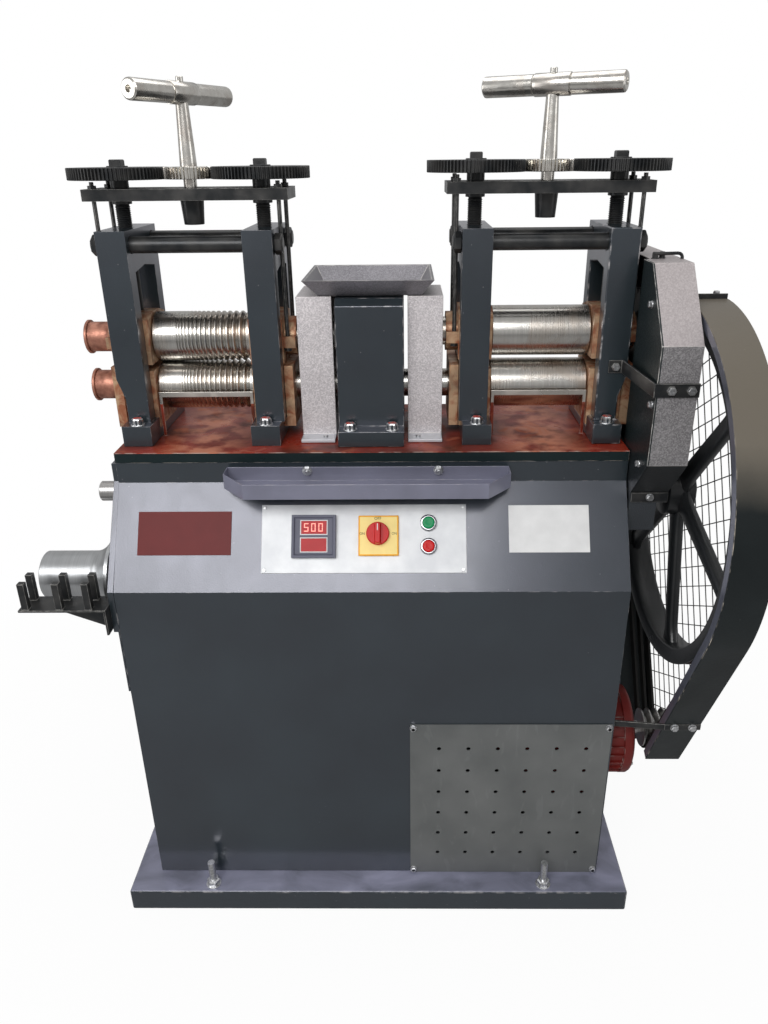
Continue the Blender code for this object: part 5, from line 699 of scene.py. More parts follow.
def grooved_face(left, right):
    first, last, land, end_land = 0.0022, 0.0102, 0.0022, 0.006
    widths = [first + (last - first) * i / (GROOVES - 1) for i in range(GROOVES)]
    start = right - end_land - sum(widths) - land * (GROOVES - 1)
    points = [(left, ROLL_RADIUS - 0.0008), (left + 0.0008, ROLL_RADIUS)]
    for width in widths:
        floor_depth = width * 0.46
        points += [(start, ROLL_RADIUS), (start + width * 0.47, ROLL_RADIUS - floor_depth)]
        points += [(start + width * 0.53, ROLL_RADIUS - floor_depth), (start + width, ROLL_RADIUS)]
        start += width + land
    return points + [(right - 0.0008, ROLL_RADIUS), (right, ROLL_RADIUS - 0.0008)]


def plain_face(left, right):
    edge = 0.0012
    return [(left, ROLL_RADIUS - edge), (left + edge, ROLL_RADIUS), (right - edge, ROLL_RADIUS), (right, ROLL_RADIUS - edge)]


def pointed_gear(teeth, root, tip, centre, phase):
    points = []
    for tooth in range(teeth):
        angle = phase + 2 * math.pi * tooth / teeth
        for radius, at in ((tip, angle), (root, angle + math.pi / teeth)):
            points.append((centre[0] + radius * math.cos(at), centre[1] + radius * math.sin(at)))
    return points


def roll(name, node, body, middle, axis, left_neck, right_neck, grooved, gear_phase):
    bm = bmesh.new()
    left, right = middle - ROLL_HALF_FACE, middle + ROLL_HALF_FACE
    face = grooved_face(left, right) if grooved else plain_face(left, right)
    profile = left_neck + [(left - 0.0008, NECK_RADIUS), (left - 0.0008, 0.031), (left, 0.031)] + face
    profile += [(right, 0.031), (right + 0.0008, 0.031), (right + 0.0008, NECK_RADIUS)] + right_neck
    turn(bm, "X", (0.0, axis), profile, 96)
    side = 1 if middle > 0 else -1
    gear = pointed_gear(14, 0.0345, 0.0505, (0.0, axis), gear_phase)
    loft(bm, "X", [(gear, side * 0.076), (gear, side * 0.112)])
    return dressed(made(name, bm), rolled_steel, body, "ground_steel", node)


BRACKET_FACE = 0.1674
neck_seat = -0.300 - BRACKET_FACE - 0.001
SLEEVE_FOOT, SLEEVE_END = neck_seat, neck_seat - 0.040
half_tooth = math.pi / 14
roll("left_lower_grooved_roll", "left_lower_roll", "lower_rolls", -0.300, LOWER_AXIS,
     [(SLEEVE_END, 0.020), (SLEEVE_END, NECK_RADIUS)], [(0.0576, NECK_RADIUS)], True, math.pi / 2)
roll("right_lower_plain_roll", "right_lower_roll", "lower_rolls", 0.300, LOWER_AXIS,
     [(0.0582, NECK_RADIUS)], [(0.4944, NECK_RADIUS)], False, math.pi / 2)
roll("left_upper_grooved_roll", "left_upper_roll", "left_upper_roll_body", -0.300, UPPER_AXIS["left"],
     [(SLEEVE_END, 0.020), (SLEEVE_END, NECK_RADIUS)], [(-0.066, NECK_RADIUS)], True, half_tooth - math.pi / 2)
roll("right_upper_plain_roll", "right_upper_roll", "right_upper_roll_body", 0.300, UPPER_AXIS["right"],
     [(0.066, NECK_RADIUS)], [(0.300 + BRACKET_FACE + 0.001, NECK_RADIUS)], False, half_tooth - math.pi / 2)

copper = Finish("copper_sleeve", metallic=0.6)
tarnish = copper.ramp(copper.noise(60.0, 5.0), (0.38, 0.0), (0.68, 1.0))
copper.surface(
    Base_Color=copper.mix(tarnish, (0.46, 0.21, 0.145), (0.22, 0.090, 0.062)),
    Roughness=0.42 + tarnish * 0.2,
    Normal=copper.bump(copper.noise(240.0, 4.0), 0.0002),
)
for level, axis, body in (
    ("lower", LOWER_AXIS, "lower_rolls"), ("upper", UPPER_AXIS["left"], "left_upper_roll_body"),
):
    sleeve = bmesh.new()
    flange = SLEEVE_END
    profile = [(neck_seat, 0.0250), (neck_seat, 0.0262), (neck_seat - 0.0006, 0.0265), (flange, 0.0265)]
    profile += [(flange, 0.0294), (flange - 0.0008, 0.0300), (flange - 0.0042, 0.0300), (flange - 0.0050, 0.0292)]
    profile += [(flange - 0.0050, 0.0205), (flange - 0.0044, 0.0200), (flange - 0.0010, 0.0200), (flange - 0.0010, 0.0250)]
    turn(sleeve, "X", (0.0, axis), profile, 64, True)
    dressed(made(f"{level}_neck_sleeve", sleeve), copper, body, "ground_steel")


# Adjusting gears, pressure screws and T handles
# The handle's bare pinion drives two black gears of 80 teeth, and each turns a threaded pressure
# screw with a square head; the handles are turned from bright steel.
GEAR_MODULE = 0.002
GEAR_FOOT_RISE, GEAR_HEIGHT = 0.263, 0.019
PLATE_FOOT_RISE, PLATE_TOP_RISE = 0.231, 0.2495
SCREW_X = 0.120


def toothed(teeth, inset, centre, phase):
    """Flat topped teeth, drawn in by an inset where the corners are broken."""
    pitch = GEAR_MODULE * teeth / 2
    root, tip = pitch - 0.0026 - inset, pitch + 0.0020 - inset
    half = math.pi / teeth
    points = []
    for tooth in range(teeth):
        angle = phase + 2 * math.pi * tooth / teeth
        for radius, lean in ((root, -0.62), (tip, -0.24), (tip, 0.24), (root, 0.62)):
            at = angle + lean * half
            points.append((centre[0] + radius * math.cos(at), centre[1] + radius * math.sin(at)))
    return points


def adjusting_gear(bm, teeth, centre, phase, foot):
    edge = 0.0007
    levels = ((foot, edge), (foot + edge, 0.0), (foot + GEAR_HEIGHT - edge, 0.0), (foot + GEAR_HEIGHT, edge))
    loft(bm, "Z", [(toothed(teeth, inset, centre, phase), level) for level, inset in levels])


bright_steel = Finish("bright_steel", metallic=1.0)
brushed = bright_steel.noise(120.0, 4.0)
handled = bright_steel.ramp(bright_steel.noise(28.0, 5.0, distortion=0.9), (0.46, 0.0), (0.70, 1.0))
bright_tone = bright_steel.mix(brushed, (0.54, 0.52, 0.48), (0.80, 0.78, 0.74))
bright_steel.surface(
    Base_Color=bright_steel.mix(handled * 0.4, bright_tone, (0.22, 0.15, 0.11)),
    Roughness=0.15 + brushed * 0.10 + handled * 0.14,
    Normal=bright_steel.bump(brushed, 0.00008),
)
for head, middle in HEADS.items():
    axis = UPPER_AXIS[head]
    gear_foot = axis + GEAR_FOOT_RISE
    gear_top = gear_foot + GEAR_HEIGHT
    for kind, end in (("outer", SIDES[head]), ("inner", -SIDES[head])):
        bm = bmesh.new()
        centre = (middle + end * SCREW_X, 0.0)
        facing = (math.pi if end > 0 else 0.0) + math.pi / 80
        adjusting_gear(bm, 80, centre, facing, gear_foot)
        plate_foot = axis + PLATE_FOOT_RISE
        profile = [(axis + 0.0474, 0.0110), (axis + 0.0490, 0.0125)]
        thread_foot, thread_top, pitch = axis + 0.128, plate_foot - 0.0080, 0.0030
        profile.append((thread_foot - 0.001, 0.0125))
        for step in range(int((thread_top - thread_foot) / pitch)):
            level = thread_foot + step * pitch
            profile += [(level, 0.0111), (level + pitch * 0.45, 0.0125), (level + pitch * 0.55, 0.0125)]
        profile += [(thread_top, 0.0111), (plate_foot - 0.0064, 0.0125), (plate_foot - 0.0064, 0.0160)]
        profile += [(plate_foot - 0.0058, 0.0165), (plate_foot - 0.0004, 0.0165), (plate_foot - 0.0004, 0.0125)]
        profile += [(axis + PLATE_TOP_RISE + 0.0004, 0.0125), (axis + PLATE_TOP_RISE + 0.0004, 0.0150)]
        profile += [(gear_foot + 0.001, 0.0150)]
        turn(bm, "Z", centre, profile, 32)
        half = 0.010
        rings = []
        for level, inset in ((gear_top - 0.001, 0.0), (gear_top + 0.0105, 0.0), (gear_top + 0.012, 0.0014)):
            reach = half - inset
            square = [(centre[0] + a * reach, centre[1] + b * reach) for a, b in ((-1, -1), (1, -1), (1, 1), (-1, 1))]
            rings.append((square, level))
        loft(bm, "Z", rings)
        turn(bm, "Z", centre, [(gear_top - 0.001, 0.0175), (gear_top + 0.0015, 0.0175), (gear_top + 0.0022, 0.0168)], 40)
        body = f"{head}_{kind}_screw_body"
        dressed(made(f"{head}_{kind}_adjusting_screw", bm), black_oxide, body, "dark_steel", f"{head}_{kind}_screw")

GRIP_RISE, GRIP_RADIUS, GRIP_REACH = 0.391, 0.016, 0.118
GRIP_TURN = {"left": math.radians(64), "right": math.radians(-27)}
for head, middle in HEADS.items():
    axis = UPPER_AXIS[head]
    gear_foot, plate_top = axis + GEAR_FOOT_RISE, axis + PLATE_TOP_RISE
    grip_z = axis + GRIP_RISE
    bm = bmesh.new()
    adjusting_gear(bm, 40, (middle, 0.0), 0.0, gear_foot)
    stem = [(gear_foot - 0.030, 0.0080), (gear_foot - 0.029, 0.0090), (plate_top + 0.0004, 0.0090)]
    stem += [(plate_top + 0.0004, 0.0110), (gear_foot + 0.001, 0.0110), (gear_foot + 0.001, 0.0140)]
    stem += [(gear_foot + GEAR_HEIGHT + 0.004, 0.0140), (grip_z - 0.020, 0.0104), (grip_z, 0.0100)]
    turn(bm, "Z", (middle, 0.0), stem, 40)
    grip = bmesh.new()
    reach, r = GRIP_REACH, GRIP_RADIUS
    profile = [(0.008 - reach, 0.0045), (-reach, 0.0055), (-reach, r - 0.0030), (0.0022 - reach, r - 0.0004)]
    profile += [(0.0045 - reach, r), (-0.0325, r), (-0.0312, r - 0.0012), (-0.0300, r - 0.0012)]
    profile += [(-0.0300, r + 0.0008), (-0.0292, r + 0.0012), (0.0292, r + 0.0012), (0.0300, r + 0.0008)]
    profile += [(0.0300, r - 0.0012), (0.0312, r - 0.0012), (0.0325, r), (reach - 0.0045, r)]
    profile += [(reach - 0.0022, r - 0.0004), (reach, r - 0.0030), (reach, 0.0055), (reach - 0.008, 0.0045)]
    turn(grip, "X", (0.0, 0.0), profile, 56)
    grip.transform(Matrix.Translation((middle, 0.0, grip_z)) @ Matrix.Rotation(GRIP_TURN[head], 4, "Z"))
    grip_mesh = bpy.data.meshes.new("grip")
    grip.to_mesh(grip_mesh)
    grip.free()
    bm.from_mesh(grip_mesh)
    stub_top = grip_z + GRIP_RADIUS + 0.0012 + 0.007
    turn(bm, "Z", (middle, 0.0), [(grip_z + 0.010, 0.0060), (stub_top - 0.001, 0.0060), (stub_top, 0.0050)], 24)
    dressed(made(f"{head}_t_handle", bm), bright_steel, f"{head}_handle_body", "ground_steel", f"{head}_handle")


# Pinion stand, gear covers and oil hopper
# A cast stand between the heads carries the coupling; folded covers in grey hammered paint close its
# gears, and a shallow hopper on top feeds oil.
def hammered(name, dark, pale, roughness, plate_edge=None):
    """Hammered paint: fine flecks and dimples; a plate left of an edge is in dark enamel instead."""
    made_finish = Finish(name, metallic=0.3)
    dimples = made_finish.cells(520.0, "Distance", "SMOOTH_F1")
    flecks = made_finish.ramp(made_finish.cells(520.0, "Color"), (0.25, 0.0), (0.85, 1.0))
    cloud = made_finish.ramp(made_finish.noise(10.0, 4.0), (0.3, 0.0), (0.7, 1.0))
    tone = made_finish.mix(flecks * 0.7 + cloud * 0.3, dark, pale)
    scuff = made_finish.worn() * made_finish.ramp(made_finish.noise(60.0, 5.0), (0.4, 0.3), (0.6, 1.0))
    tone = made_finish.mix(scuff * 0.6, tone, (0.62, 0.60, 0.56))
    if plate_edge is not None:
        in_plate = made_finish.along() < plate_edge
        tone = made_finish.mix(in_plate * (1.0 - scuff), tone, ENAMEL_COLOUR)
    made_finish.surface(
        Base_Color=tone,
        Roughness=roughness + flecks * 0.12,
        Normal=made_finish.bump(dimples, 0.0004, 0.7),
    )
    return made_finish


hammertone = hammered("grey_hammertone", (0.46, 0.430, 0.440), (0.78, 0.735, 0.745), 0.36)
dark_hammertone = hammered("dark_hammertone", (0.11, 0.105, 0.118), (0.25, 0.24, 0.26), 0.30)
softened("pinion_stand", dark_enamel, "grey_hammertone", "stand", 0.0025, 3)
hammertone.over((0.56, 0.57, 0.60), hammertone.height() < BED_TOP + 0.0066)
for head in HEADS:
    softened(f"{head}_gear_cover", hammertone, "grey_hammertone", "stand", 0.0012)
flange_screws = [(x, y, BED_TOP + 0.0064) for x in (-0.0835, 0.0835) for y in (-0.081, 0.081)]
fasteners("cover_screws", zinc, "ground_steel", "stand", flange_screws, (0, 0, 1), 16, 0.0085, 0.0030)
softened("oil_hopper", dark_hammertone, "grey_hammertone", "stand", 0.0012)


# Drive: shaft, gears, flywheel and belts
# A cast six spoke flywheel with three belt grooves on a bright shaft, driven by rubber V belts.
SHAFT = (-0.118, 0.848091)
WHEEL_LEFT, WHEEL_RIGHT, WHEEL_RADIUS, RIM_INNER = 0.530, 0.578, 0.311, 0.2825
BELT_PLACES = [0.539, 0.554, 0.569]
black_gloss = paint("black_gloss", (0.010, 0.011, 0.012), 0.30, 0.0002, 0.2, 0.5)
machined = Finish("turned_steel", metallic=1.0)
tool_marks = machined.noise(8.0, 5.0, (150.0, 1.0, 1.0))
machined.surface(
    Base_Color=machined.mix(tool_marks, (0.34, 0.33, 0.32), (0.62, 0.61, 0.60)),
    Roughness=0.22 + tool_marks * 0.16,
    Normal=machined.bump(tool_marks, 0.00008),
)


def belt_rim(left, right, radius):
    points = [(left, radius)]
    for place in BELT_PLACES:
        points += [(place - 0.0062, radius), (place - 0.0008, radius - 0.0138)]
        points += [(place + 0.0008, radius - 0.0138), (place + 0.0062, radius)]
    return points + [(right, radius)]


wheel = bmesh.new()
rim = belt_rim(WHEEL_LEFT, WHEEL_RIGHT, WHEEL_RADIUS)
inner = [(WHEEL_RIGHT, RIM_INNER + 0.004), (WHEEL_RIGHT - 0.002, RIM_INNER + 0.0012), (WHEEL_RIGHT - 0.006, RIM_INNER)]
inner += [(WHEEL_LEFT + 0.006, RIM_INNER), (WHEEL_LEFT + 0.002, RIM_INNER + 0.0012), (WHEEL_LEFT, RIM_INNER + 0.004)]
turn(wheel, "X", SHAFT, rim + inner, 144, True)
hub = [(0.520, 0.0185), (0.520, 0.043), (0.5225, 0.046), (0.5655, 0.046), (0.568, 0.043), (0.568, 0.0185)]
turn(wheel, "X", SHAFT, hub, 64, True)
for spoke in range(6):
    angle = math.radians(15 + 60 * spoke)
    along = Vector((0.0, math.cos(angle), math.sin(angle)))
    across = Vector((0.0, -math.sin(angle), math.cos(angle)))
    rows = []
    for step in range(15):
        share = step / 14
        reach = 0.036 + (RIM_INNER + 0.001 - 0.036) * share
        flare = 0.006 * max(0.0, 1 - share / 0.14) ** 2 + 0.010 * max(0.0, (share - 0.88) / 0.12) ** 2
        half_width = 0.0185 - 0.0055 * share + flare
        row = []
        for corner in range(20):
            swing = 2 * math.pi * corner / 20
            flat = math.copysign(abs(math.cos(swing)) ** 0.7, math.cos(swing))
            out = math.copysign(abs(math.sin(swing)) ** 0.7, math.sin(swing))
            point = Vector((0.550 + 0.010 * out, *SHAFT)) + along * reach + across * half_width * flat
            row.append(wheel.verts.new(point))
        rows.append(row)
    wheel.faces.new(rows[0])
    wheel.faces.new(rows[-1])
    for first, second in zip(rows, rows[1:]):
        for i in range(20):
            j = (i + 1) % 20
            wheel.faces.new((first[i], first[j], second[j], second[i]))
dressed(made("spoked_flywheel", wheel, 40.0), black_gloss, "drive_shaft", "black_iron", "flywheel")

shaft = bmesh.new()
DRUM_DRIVE = (-0.402, -0.386)
profile = [(-0.4900, 0.0165), (-0.4885, 0.0180), (DRUM_DRIVE[0], 0.0180), (DRUM_DRIVE[0], 0.0260)]
profile += [(DRUM_DRIVE[1], 0.0260), (DRUM_DRIVE[1], 0.0180), (0.5765, 0.0180), (0.5780, 0.0165)]
turn(shaft, "X", SHAFT, profile, 56)
to_bull = math.atan2(LOWER_AXIS - SHAFT[1], -SHAFT[0])
pinion = pointed_gear(14, 0.0355, 0.0470, SHAFT, to_bull)
loft(shaft, "X", [(pinion, 0.4734), (pinion, 0.4934)])
dressed(made("drive_spindle", shaft), machined, "drive_shaft", "dark_steel", "main_shaft")
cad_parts["bull_gear"].data.materials.clear()
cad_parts["bull_gear"].data.materials.append(black_oxide.material)

MOTOR = (-0.150, 0.340)
pulley = bmesh.new()
profile = [(0.511, 0.012), (WHEEL_LEFT, 0.012)] + belt_rim(WHEEL_LEFT, WHEEL_RIGHT, 0.0375)
turn(pulley, "X", MOTOR, profile, 48)
dressed(made("grooved_motor_pulley", pulley), machined, "motor_pulley_body", "black_iron", "motor_pulley")

rubber = Finish("belt_rubber", Roughness=0.72, Specular_IOR_Level=0.25)
rubber.surface(
    Base_Color=rubber.mix(rubber.noise(70.0, 4.0), (0.004, 0.004, 0.004), (0.014, 0.014, 0.013)),
    Normal=rubber.bump(rubber.noise(700.0, 2.0), 0.0001),
)


def belt(bm, large, large_radius, small, small_radius, section, large_steps, small_steps):
    away = Vector(small) - Vector(large)
    base = math.atan2(away.y, away.x)
    lean = math.acos((large_radius - small_radius) / away.length)
    stations = [(large, large_radius, base + lean + (2 * math.pi - 2 * lean) * i / large_steps) for i in range(large_steps + 1)]
    stations += [(small, small_radius, base - lean + 2 * lean * i / small_steps) for i in range(small_steps + 1)]
    rows = []
    for centre, radius, angle in stations:
        row = []
        for x, rise in section:
            y = centre[0] + (radius + rise) * math.cos(angle)
            z = centre[1] + (radius + rise) * math.sin(angle)
            row.append(bm.verts.new((x, y, z)))
        rows.append(row)
    for first, second in zip(rows, rows[1:] + rows[:1]):
        for i in range(len(section)):
            j = (i + 1) % len(section)
            bm.faces.new((first[i], first[j], second[j], second[i]))


belts = bmesh.new()
for place in BELT_PLACES:
    section = [(place - 0.0055, 0.0010), (place - 0.0018, -0.0080), (place + 0.0018, -0.0080), (place + 0.0055, 0.0010)]
    section += [(place + 0.0050, 0.0036), (place - 0.0050, 0.0036)]
    belt(belts, SHAFT, WHEEL_RADIUS, MOTOR, 0.0375, section, 96, 24)
dressed(made("three_v_belts", belts), rubber, "stand", "belt_rubber", "v_belts")
flat = bmesh.new()
DRUM = (-0.143, 0.690)
section = [(-0.400, 0.0015), (-0.388, 0.0015), (-0.388, 0.0040), (-0.400, 0.0040)]
belt(flat, DRUM, 0.078, SHAFT, 0.026, section, 48, 24)
dressed(made("flat_drum_belt", flat), rubber, "stand", "belt_rubber", "drum_belt")


# Gear guard
# A folded pan in pinkish grey hammered paint over the bull gear, closed by a dark plate towards the
# frame, and held to the frame by a bent strap; its upward face is painted lighter, a painted highlight.
guard_hammertone = hammered("guard_hammertone", (0.14, 0.135, 0.14), (0.36, 0.345, 0.35), 0.36, 0.4530)
GUARD_BEND = 1.131
# Painted highlight: above the upper bend the guard's upward face is painted lighter and pinker, as if lit from above.
upper_face_highlight = (guard_hammertone.height() > GUARD_BEND) * (guard_hammertone.along() > 0.4530)
guard_hammertone.over((0.66, 0.58, 0.575), upper_face_highlight * 0.42)
GUARD_LOWER_BEND, GUARD_LIP_TOP, GUARD_NOTCH = 0.9376, 0.8632, 0.8450
guard_hammertone.over((0.011, 0.014, 0.016), (guard_hammertone.height() < GUARD_LOWER_BEND) * 0.93)
guard_hammertone.over((0.040, 0.045, 0.052), (guard_hammertone.height() < GUARD_NOTCH) * 0.9)
softened("gear_guard", guard_hammertone, "grey_hammertone", "stand", 0.0009)
softened("guard_strap", black_oxide, "black_iron", "stand", 0.0008)
strap_bolts = [(0.4230, -0.0904, 1.0635), (0.4720, -0.2459, 1.0635), (0.5030, -0.2459, 1.0635)]
fasteners("strap_bolts", zinc, "ground_steel", "stand", strap_bolts, (0, -1, 0), 6, 0.0122, 0.0061)
guard_screws = [(0.4500, y, z) for y, z in ((-0.166, 1.181), (-0.226, 1.036), (-0.196, 0.925))]
fasteners("guard_screws", zinc, "ground_steel", "stand", guard_screws, (-1, 0, 0), 6, 0.0095, 0.0045, 0.0062)


def rod(bm, path, y, radius, sides=16):
    """A round rod bent along (x, z) points at one depth."""
    rows = []
    for i, (x, z) in enumerate(path):
        (x0, z0), (x1, z1) = path[max(i - 1, 0)], path[min(i + 1, len(path) - 1)]
        along = Vector((x1 - x0, z1 - z0)).normalized()
        row = []
        for a, b in circle(radius, sides):
            row.append(bm.verts.new((x - b * along.y, y + a, z + b * along.x)))
        rows.append(row)
    bm.faces.new(rows[0])
    bm.faces.new(rows[-1])
    for first, second in zip(rows, rows[1:]):
        for i in range(sides):
            j = (i + 1) % sides
            bm.faces.new((first[i], first[j], second[j], second[i]))


LIP_FACE = -0.1702
foot_bar = bmesh.new()
box(foot_bar, (0.4512, LIP_FACE - 0.0032, GUARD_NOTCH), (0.5146, LIP_FACE, GUARD_LIP_TOP - 0.0006))
dressed(broken(made("guard_foot_bar", foot_bar), 0.0006), black_oxide, "stand", "black_iron")
foot_bar_bolt = [(0.4830, LIP_FACE - 0.0032, 0.8545)]
fasteners("guard_foot_bolt", zinc, "ground_steel", "stand", foot_bar_bolt, (0, -1, 0), 6, 0.0105, 0.0055, 0.0070)

GUARD_TOP, HOOK_Y = 1.2415, -0.092
hook = bmesh.new()
hook_path = [(0.4660, 0.0080), (0.5040, 0.0086), (0.5078, 0.0080), (0.5104, 0.0062), (0.5118, 0.0032), (0.5122, -0.0008)]
rod(hook, [(x, GUARD_TOP + rise) for x, rise in hook_path], HOOK_Y, 0.0027)
dressed(made("guard_hook", hook, 50.0), black_oxide, "stand", "black_iron")
hook_bolts = [(0.4685, HOOK_Y + 0.002, GUARD_TOP - 0.0002), (0.4820, HOOK_Y + 0.009, GUARD_TOP - 0.0002)]
fasteners("guard_hook_bolts", black_oxide, "black_iron", "stand", hook_bolts, (0, 0, 1), 6, 0.0085, 0.0095, 0.0062)


# Belt guard
# A band of dark painted sheet round the flywheel and belts, with a welded wire mesh over its far
# side and a flat bar that ties it to the cabinet.
GUARD_LEFT, GUARD_RIGHT, GUARD_RADIUS, GUARD_WALL = 0.518, 0.582, 0.3354, 0.0025


def guard_line(inset, steps=96):
    """Outline of the belt guard from its rear foot over the flywheel to its front foot."""
    centre = Vector(SHAFT)
    ends = []
    for y, z, sense in ((-0.072, 0.245, 1), (-0.240, 0.336, -1)):
        away = Vector((y, z)) - centre
        angle = math.atan2(away.y, away.x) + sense * math.acos(GUARD_RADIUS / away.length)
        ends.append((angle, math.sqrt(away.length**2 - GUARD_RADIUS**2), sense))
    radius = GUARD_RADIUS - inset
    feet = []
    for angle, length, sense in ends:
        normal = Vector((math.cos(angle), math.sin(angle)))
        feet.append(tuple(centre + normal * radius + Vector((normal.y, -normal.x)) * sense * length))
    start, end = ends[0][0], ends[1][0] + 2 * math.pi
    over = [
        (centre.x + radius * math.cos(start + (end - start) * i / steps),
         centre.y + radius * math.sin(start + (end - start) * i / steps))
        for i in range(steps + 1)
    ]
    return [feet[0]] + over + [feet[1]]


# Its pale edges are partly rubbed paint and partly a painted glint.
guard_paint = paint("guard_paint", (0.010, 0.013, 0.014), 0.36, 0.00018, 0.25, 0.9, (0.45, 0.40, 0.34), Specular_IOR_Level=0.2)
# The band is painted lighter and browner towards its top.
lighter_towards_top = guard_paint.ramp(guard_paint.height() - 0.05 * guard_paint.noise(9.0, 4.0), (0.92, 0.0), (1.08, 1.0))
guard_paint.over((0.160, 0.140, 0.112), lighter_towards_top * 0.8)
band = bmesh.new()
outline = guard_line(0.0) + guard_line(GUARD_WALL)[::-1]
loft(band, "X", [(outline, GUARD_LEFT), (outline, GUARD_RIGHT)])
band_sheet = broken(made("guard_band", band), 0.0006, 1)
line = guard_line(0.0)
foot, bend = Vector(line[-1]), Vector(line[-2])
BAR_FOOT, BAR_TOP = 0.462, 0.474
share = ((BAR_FOOT + BAR_TOP) / 2 - foot.y) / (bend.y - foot.y)
bar_face = foot.x + (bend.x - foot.x) * share
BAR_BACK = bar_face - 0.004
dressed(band_sheet, guard_paint, "stand", "guard_paint", "belt_guard_band")
bar = bmesh.new()
box(bar, (GUARD_LEFT, BAR_BACK, BAR_FOOT), (GUARD_RIGHT, bar_face, BAR_TOP))
ends = []
for x, y0, y1, z in ((0.4484, -0.246, -0.242, 0.420), (GUARD_LEFT + 0.001, BAR_BACK, bar_face, BAR_FOOT)):
    ends.append(([(y0, z), (y1, z), (y1, z + 0.012), (y0, z + 0.012)], x))
loft(bar, "X", ends)
dressed(broken(made("guard_tie_bar", bar), 0.0006), black_oxide, "stand", "guard_paint")
bar_z = (BAR_FOOT + BAR_TOP) / 2
fasteners(
    "guard_bar_bolts", zinc, "ground_steel", "stand",
    [(GUARD_LEFT + 0.064 * at, BAR_BACK, bar_z) for at in (0.27, 0.76)], (0, -1, 0), 6, 0.011, 0.005, 0.0075, (0.003, 0.006),
)

CREST = SHAFT[1] + GUARD_RADIUS - 0.0006
angle_front = SHAFT[0] - 0.012
crest_angle = bmesh.new()
section = [(0.0, 0.0), (0.020, 0.0), (0.020, 0.003), (0.003, 0.003), (0.003, 0.0085), (0.0, 0.0085)]
section = [(angle_front + y, CREST + z) for y, z in section]
loft(crest_angle, "X", [(section, GUARD_LEFT + 0.001), (section, GUARD_RIGHT - 0.001)])
dressed(broken(made("guard_crest_angle", crest_angle), 0.0005, 1), black_oxide, "stand", "guard_paint")
crest_bolts = [(x, angle_front + 0.0115, CREST + 0.003) for x in (0.529, 0.566)]
fasteners("guard_crest_bolts", zinc, "ground_steel", "stand", crest_bolts, (0, 0, 1), 6, 0.0095, 0.0080)

MESH_TURN, MESH_PITCHES, WIRE_RADIUS, MESH_BORDER = math.radians(60), (0.035, 0.031), 0.0010, 0.011
wire_finish = paint("mesh_wire", (0.020, 0.019, 0.018), 0.45, 0.0001, 0.0, 0.0)


def wire_tree():
    """Geometry nodes that run one straight wire from each point, by the point's own span."""
    tree = bpy.data.node_groups.new("mesh_wires", "GeometryNodeTree")
    face = tree.interface
    face.new_socket("Points", in_out="INPUT", socket_type="NodeSocketGeometry")
    face.new_socket("Wire radius", in_out="INPUT", socket_type="NodeSocketFloat")
    face.new_socket("Finish", in_out="INPUT", socket_type="NodeSocketMaterial")
    face.new_socket("Wires", in_out="OUTPUT", socket_type="NodeSocketGeometry")
    entry = tree.nodes.new("NodeGroupInput").outputs
    wire = tree.nodes.new("GeometryNodeMeshCone")
    wire.inputs["Vertices"].default_value = 6
    wire.inputs["Depth"].default_value = 1.0
    wire.inputs["Radius Top"].default_value = 1.0
    wire.inputs["Radius Bottom"].default_value = 1.0
    span = tree.nodes.new("GeometryNodeInputNamedAttribute")
    span.data_type = "FLOAT_VECTOR"
    span.inputs["Name"].default_value = "facing"
    length = tree.nodes.new("ShaderNodeVectorMath")
    length.operation = "LENGTH"
    tree.links.new(span.outputs["Attribute"], length.inputs[0])
    size = tree.nodes.new("ShaderNodeCombineXYZ")
    tree.links.new(entry["Wire radius"], size.inputs["X"])
    tree.links.new(entry["Wire radius"], size.inputs["Y"])
    tree.links.new(length.outputs["Value"], size.inputs["Z"])
    turned = tree.nodes.new("FunctionNodeAlignRotationToVector")
    turned.axis = "Z"
    tree.links.new(span.outputs["Attribute"], turned.inputs["Vector"])
    copies = tree.nodes.new("GeometryNodeInstanceOnPoints")
    tree.links.new(entry["Points"], copies.inputs["Points"])
    tree.links.new(wire.outputs["Mesh"], copies.inputs["Instance"])
    tree.links.new(turned.outputs[0], copies.inputs["Rotation"])
    tree.links.new(size.outputs[0], copies.inputs["Scale"])
    real = tree.nodes.new("GeometryNodeRealizeInstances")
    tree.links.new(copies.outputs[0], real.inputs[0])
    coloured = tree.nodes.new("GeometryNodeSetMaterial")
    tree.links.new(real.outputs[0], coloured.inputs["Geometry"])
    tree.links.new(entry["Finish"], coloured.inputs["Material"])
    tree.links.new(coloured.outputs[0], tree.nodes.new("NodeGroupOutput").inputs[0])
    return tree


def crossings(outline, direction, across, level):
    """Places along a direction where a straight line, a level away across it, cuts an outline."""
    found = []
    for first, second in zip(outline, outline[1:] + outline[:1]):
        first, second = Vector(first), Vector(second)
        low, high = first.dot(across) - level, second.dot(across) - level
        if (low < 0) != (high < 0):
            found.append((first + (second - first) * low / (low - high)).dot(direction))
    return sorted(found)


mesh_line = guard_line(GUARD_WALL + 0.0005 + MESH_BORDER / 2)
starts, spans = [], []
for layer, pitch in enumerate(MESH_PITCHES):
    heading = MESH_TURN + (1 - layer) * math.pi / 2
    direction = Vector((math.cos(heading), math.sin(heading)))
    across = Vector((-direction.y, direction.x))
    for step in range(-40, 41):
        level = Vector(SHAFT).dot(across) + step * pitch
        hits = crossings(mesh_line, direction, across, level)
        for low, high in zip(hits[::2], hits[1::2]):
            starts.append((0.5810 - 0.9 * WIRE_RADIUS * layer, *(direction * low + across * level)))
            spans.append((0.0, *(direction * (high - low))))
wires = grown("guard_mesh_wires", starts, wire_tree(), wire_finish, {"Wire radius": WIRE_RADIUS}, spans)
dressed(smoothed(wires, 70.0), wire_finish, "stand", "guard_paint", "belt_guard_mesh")


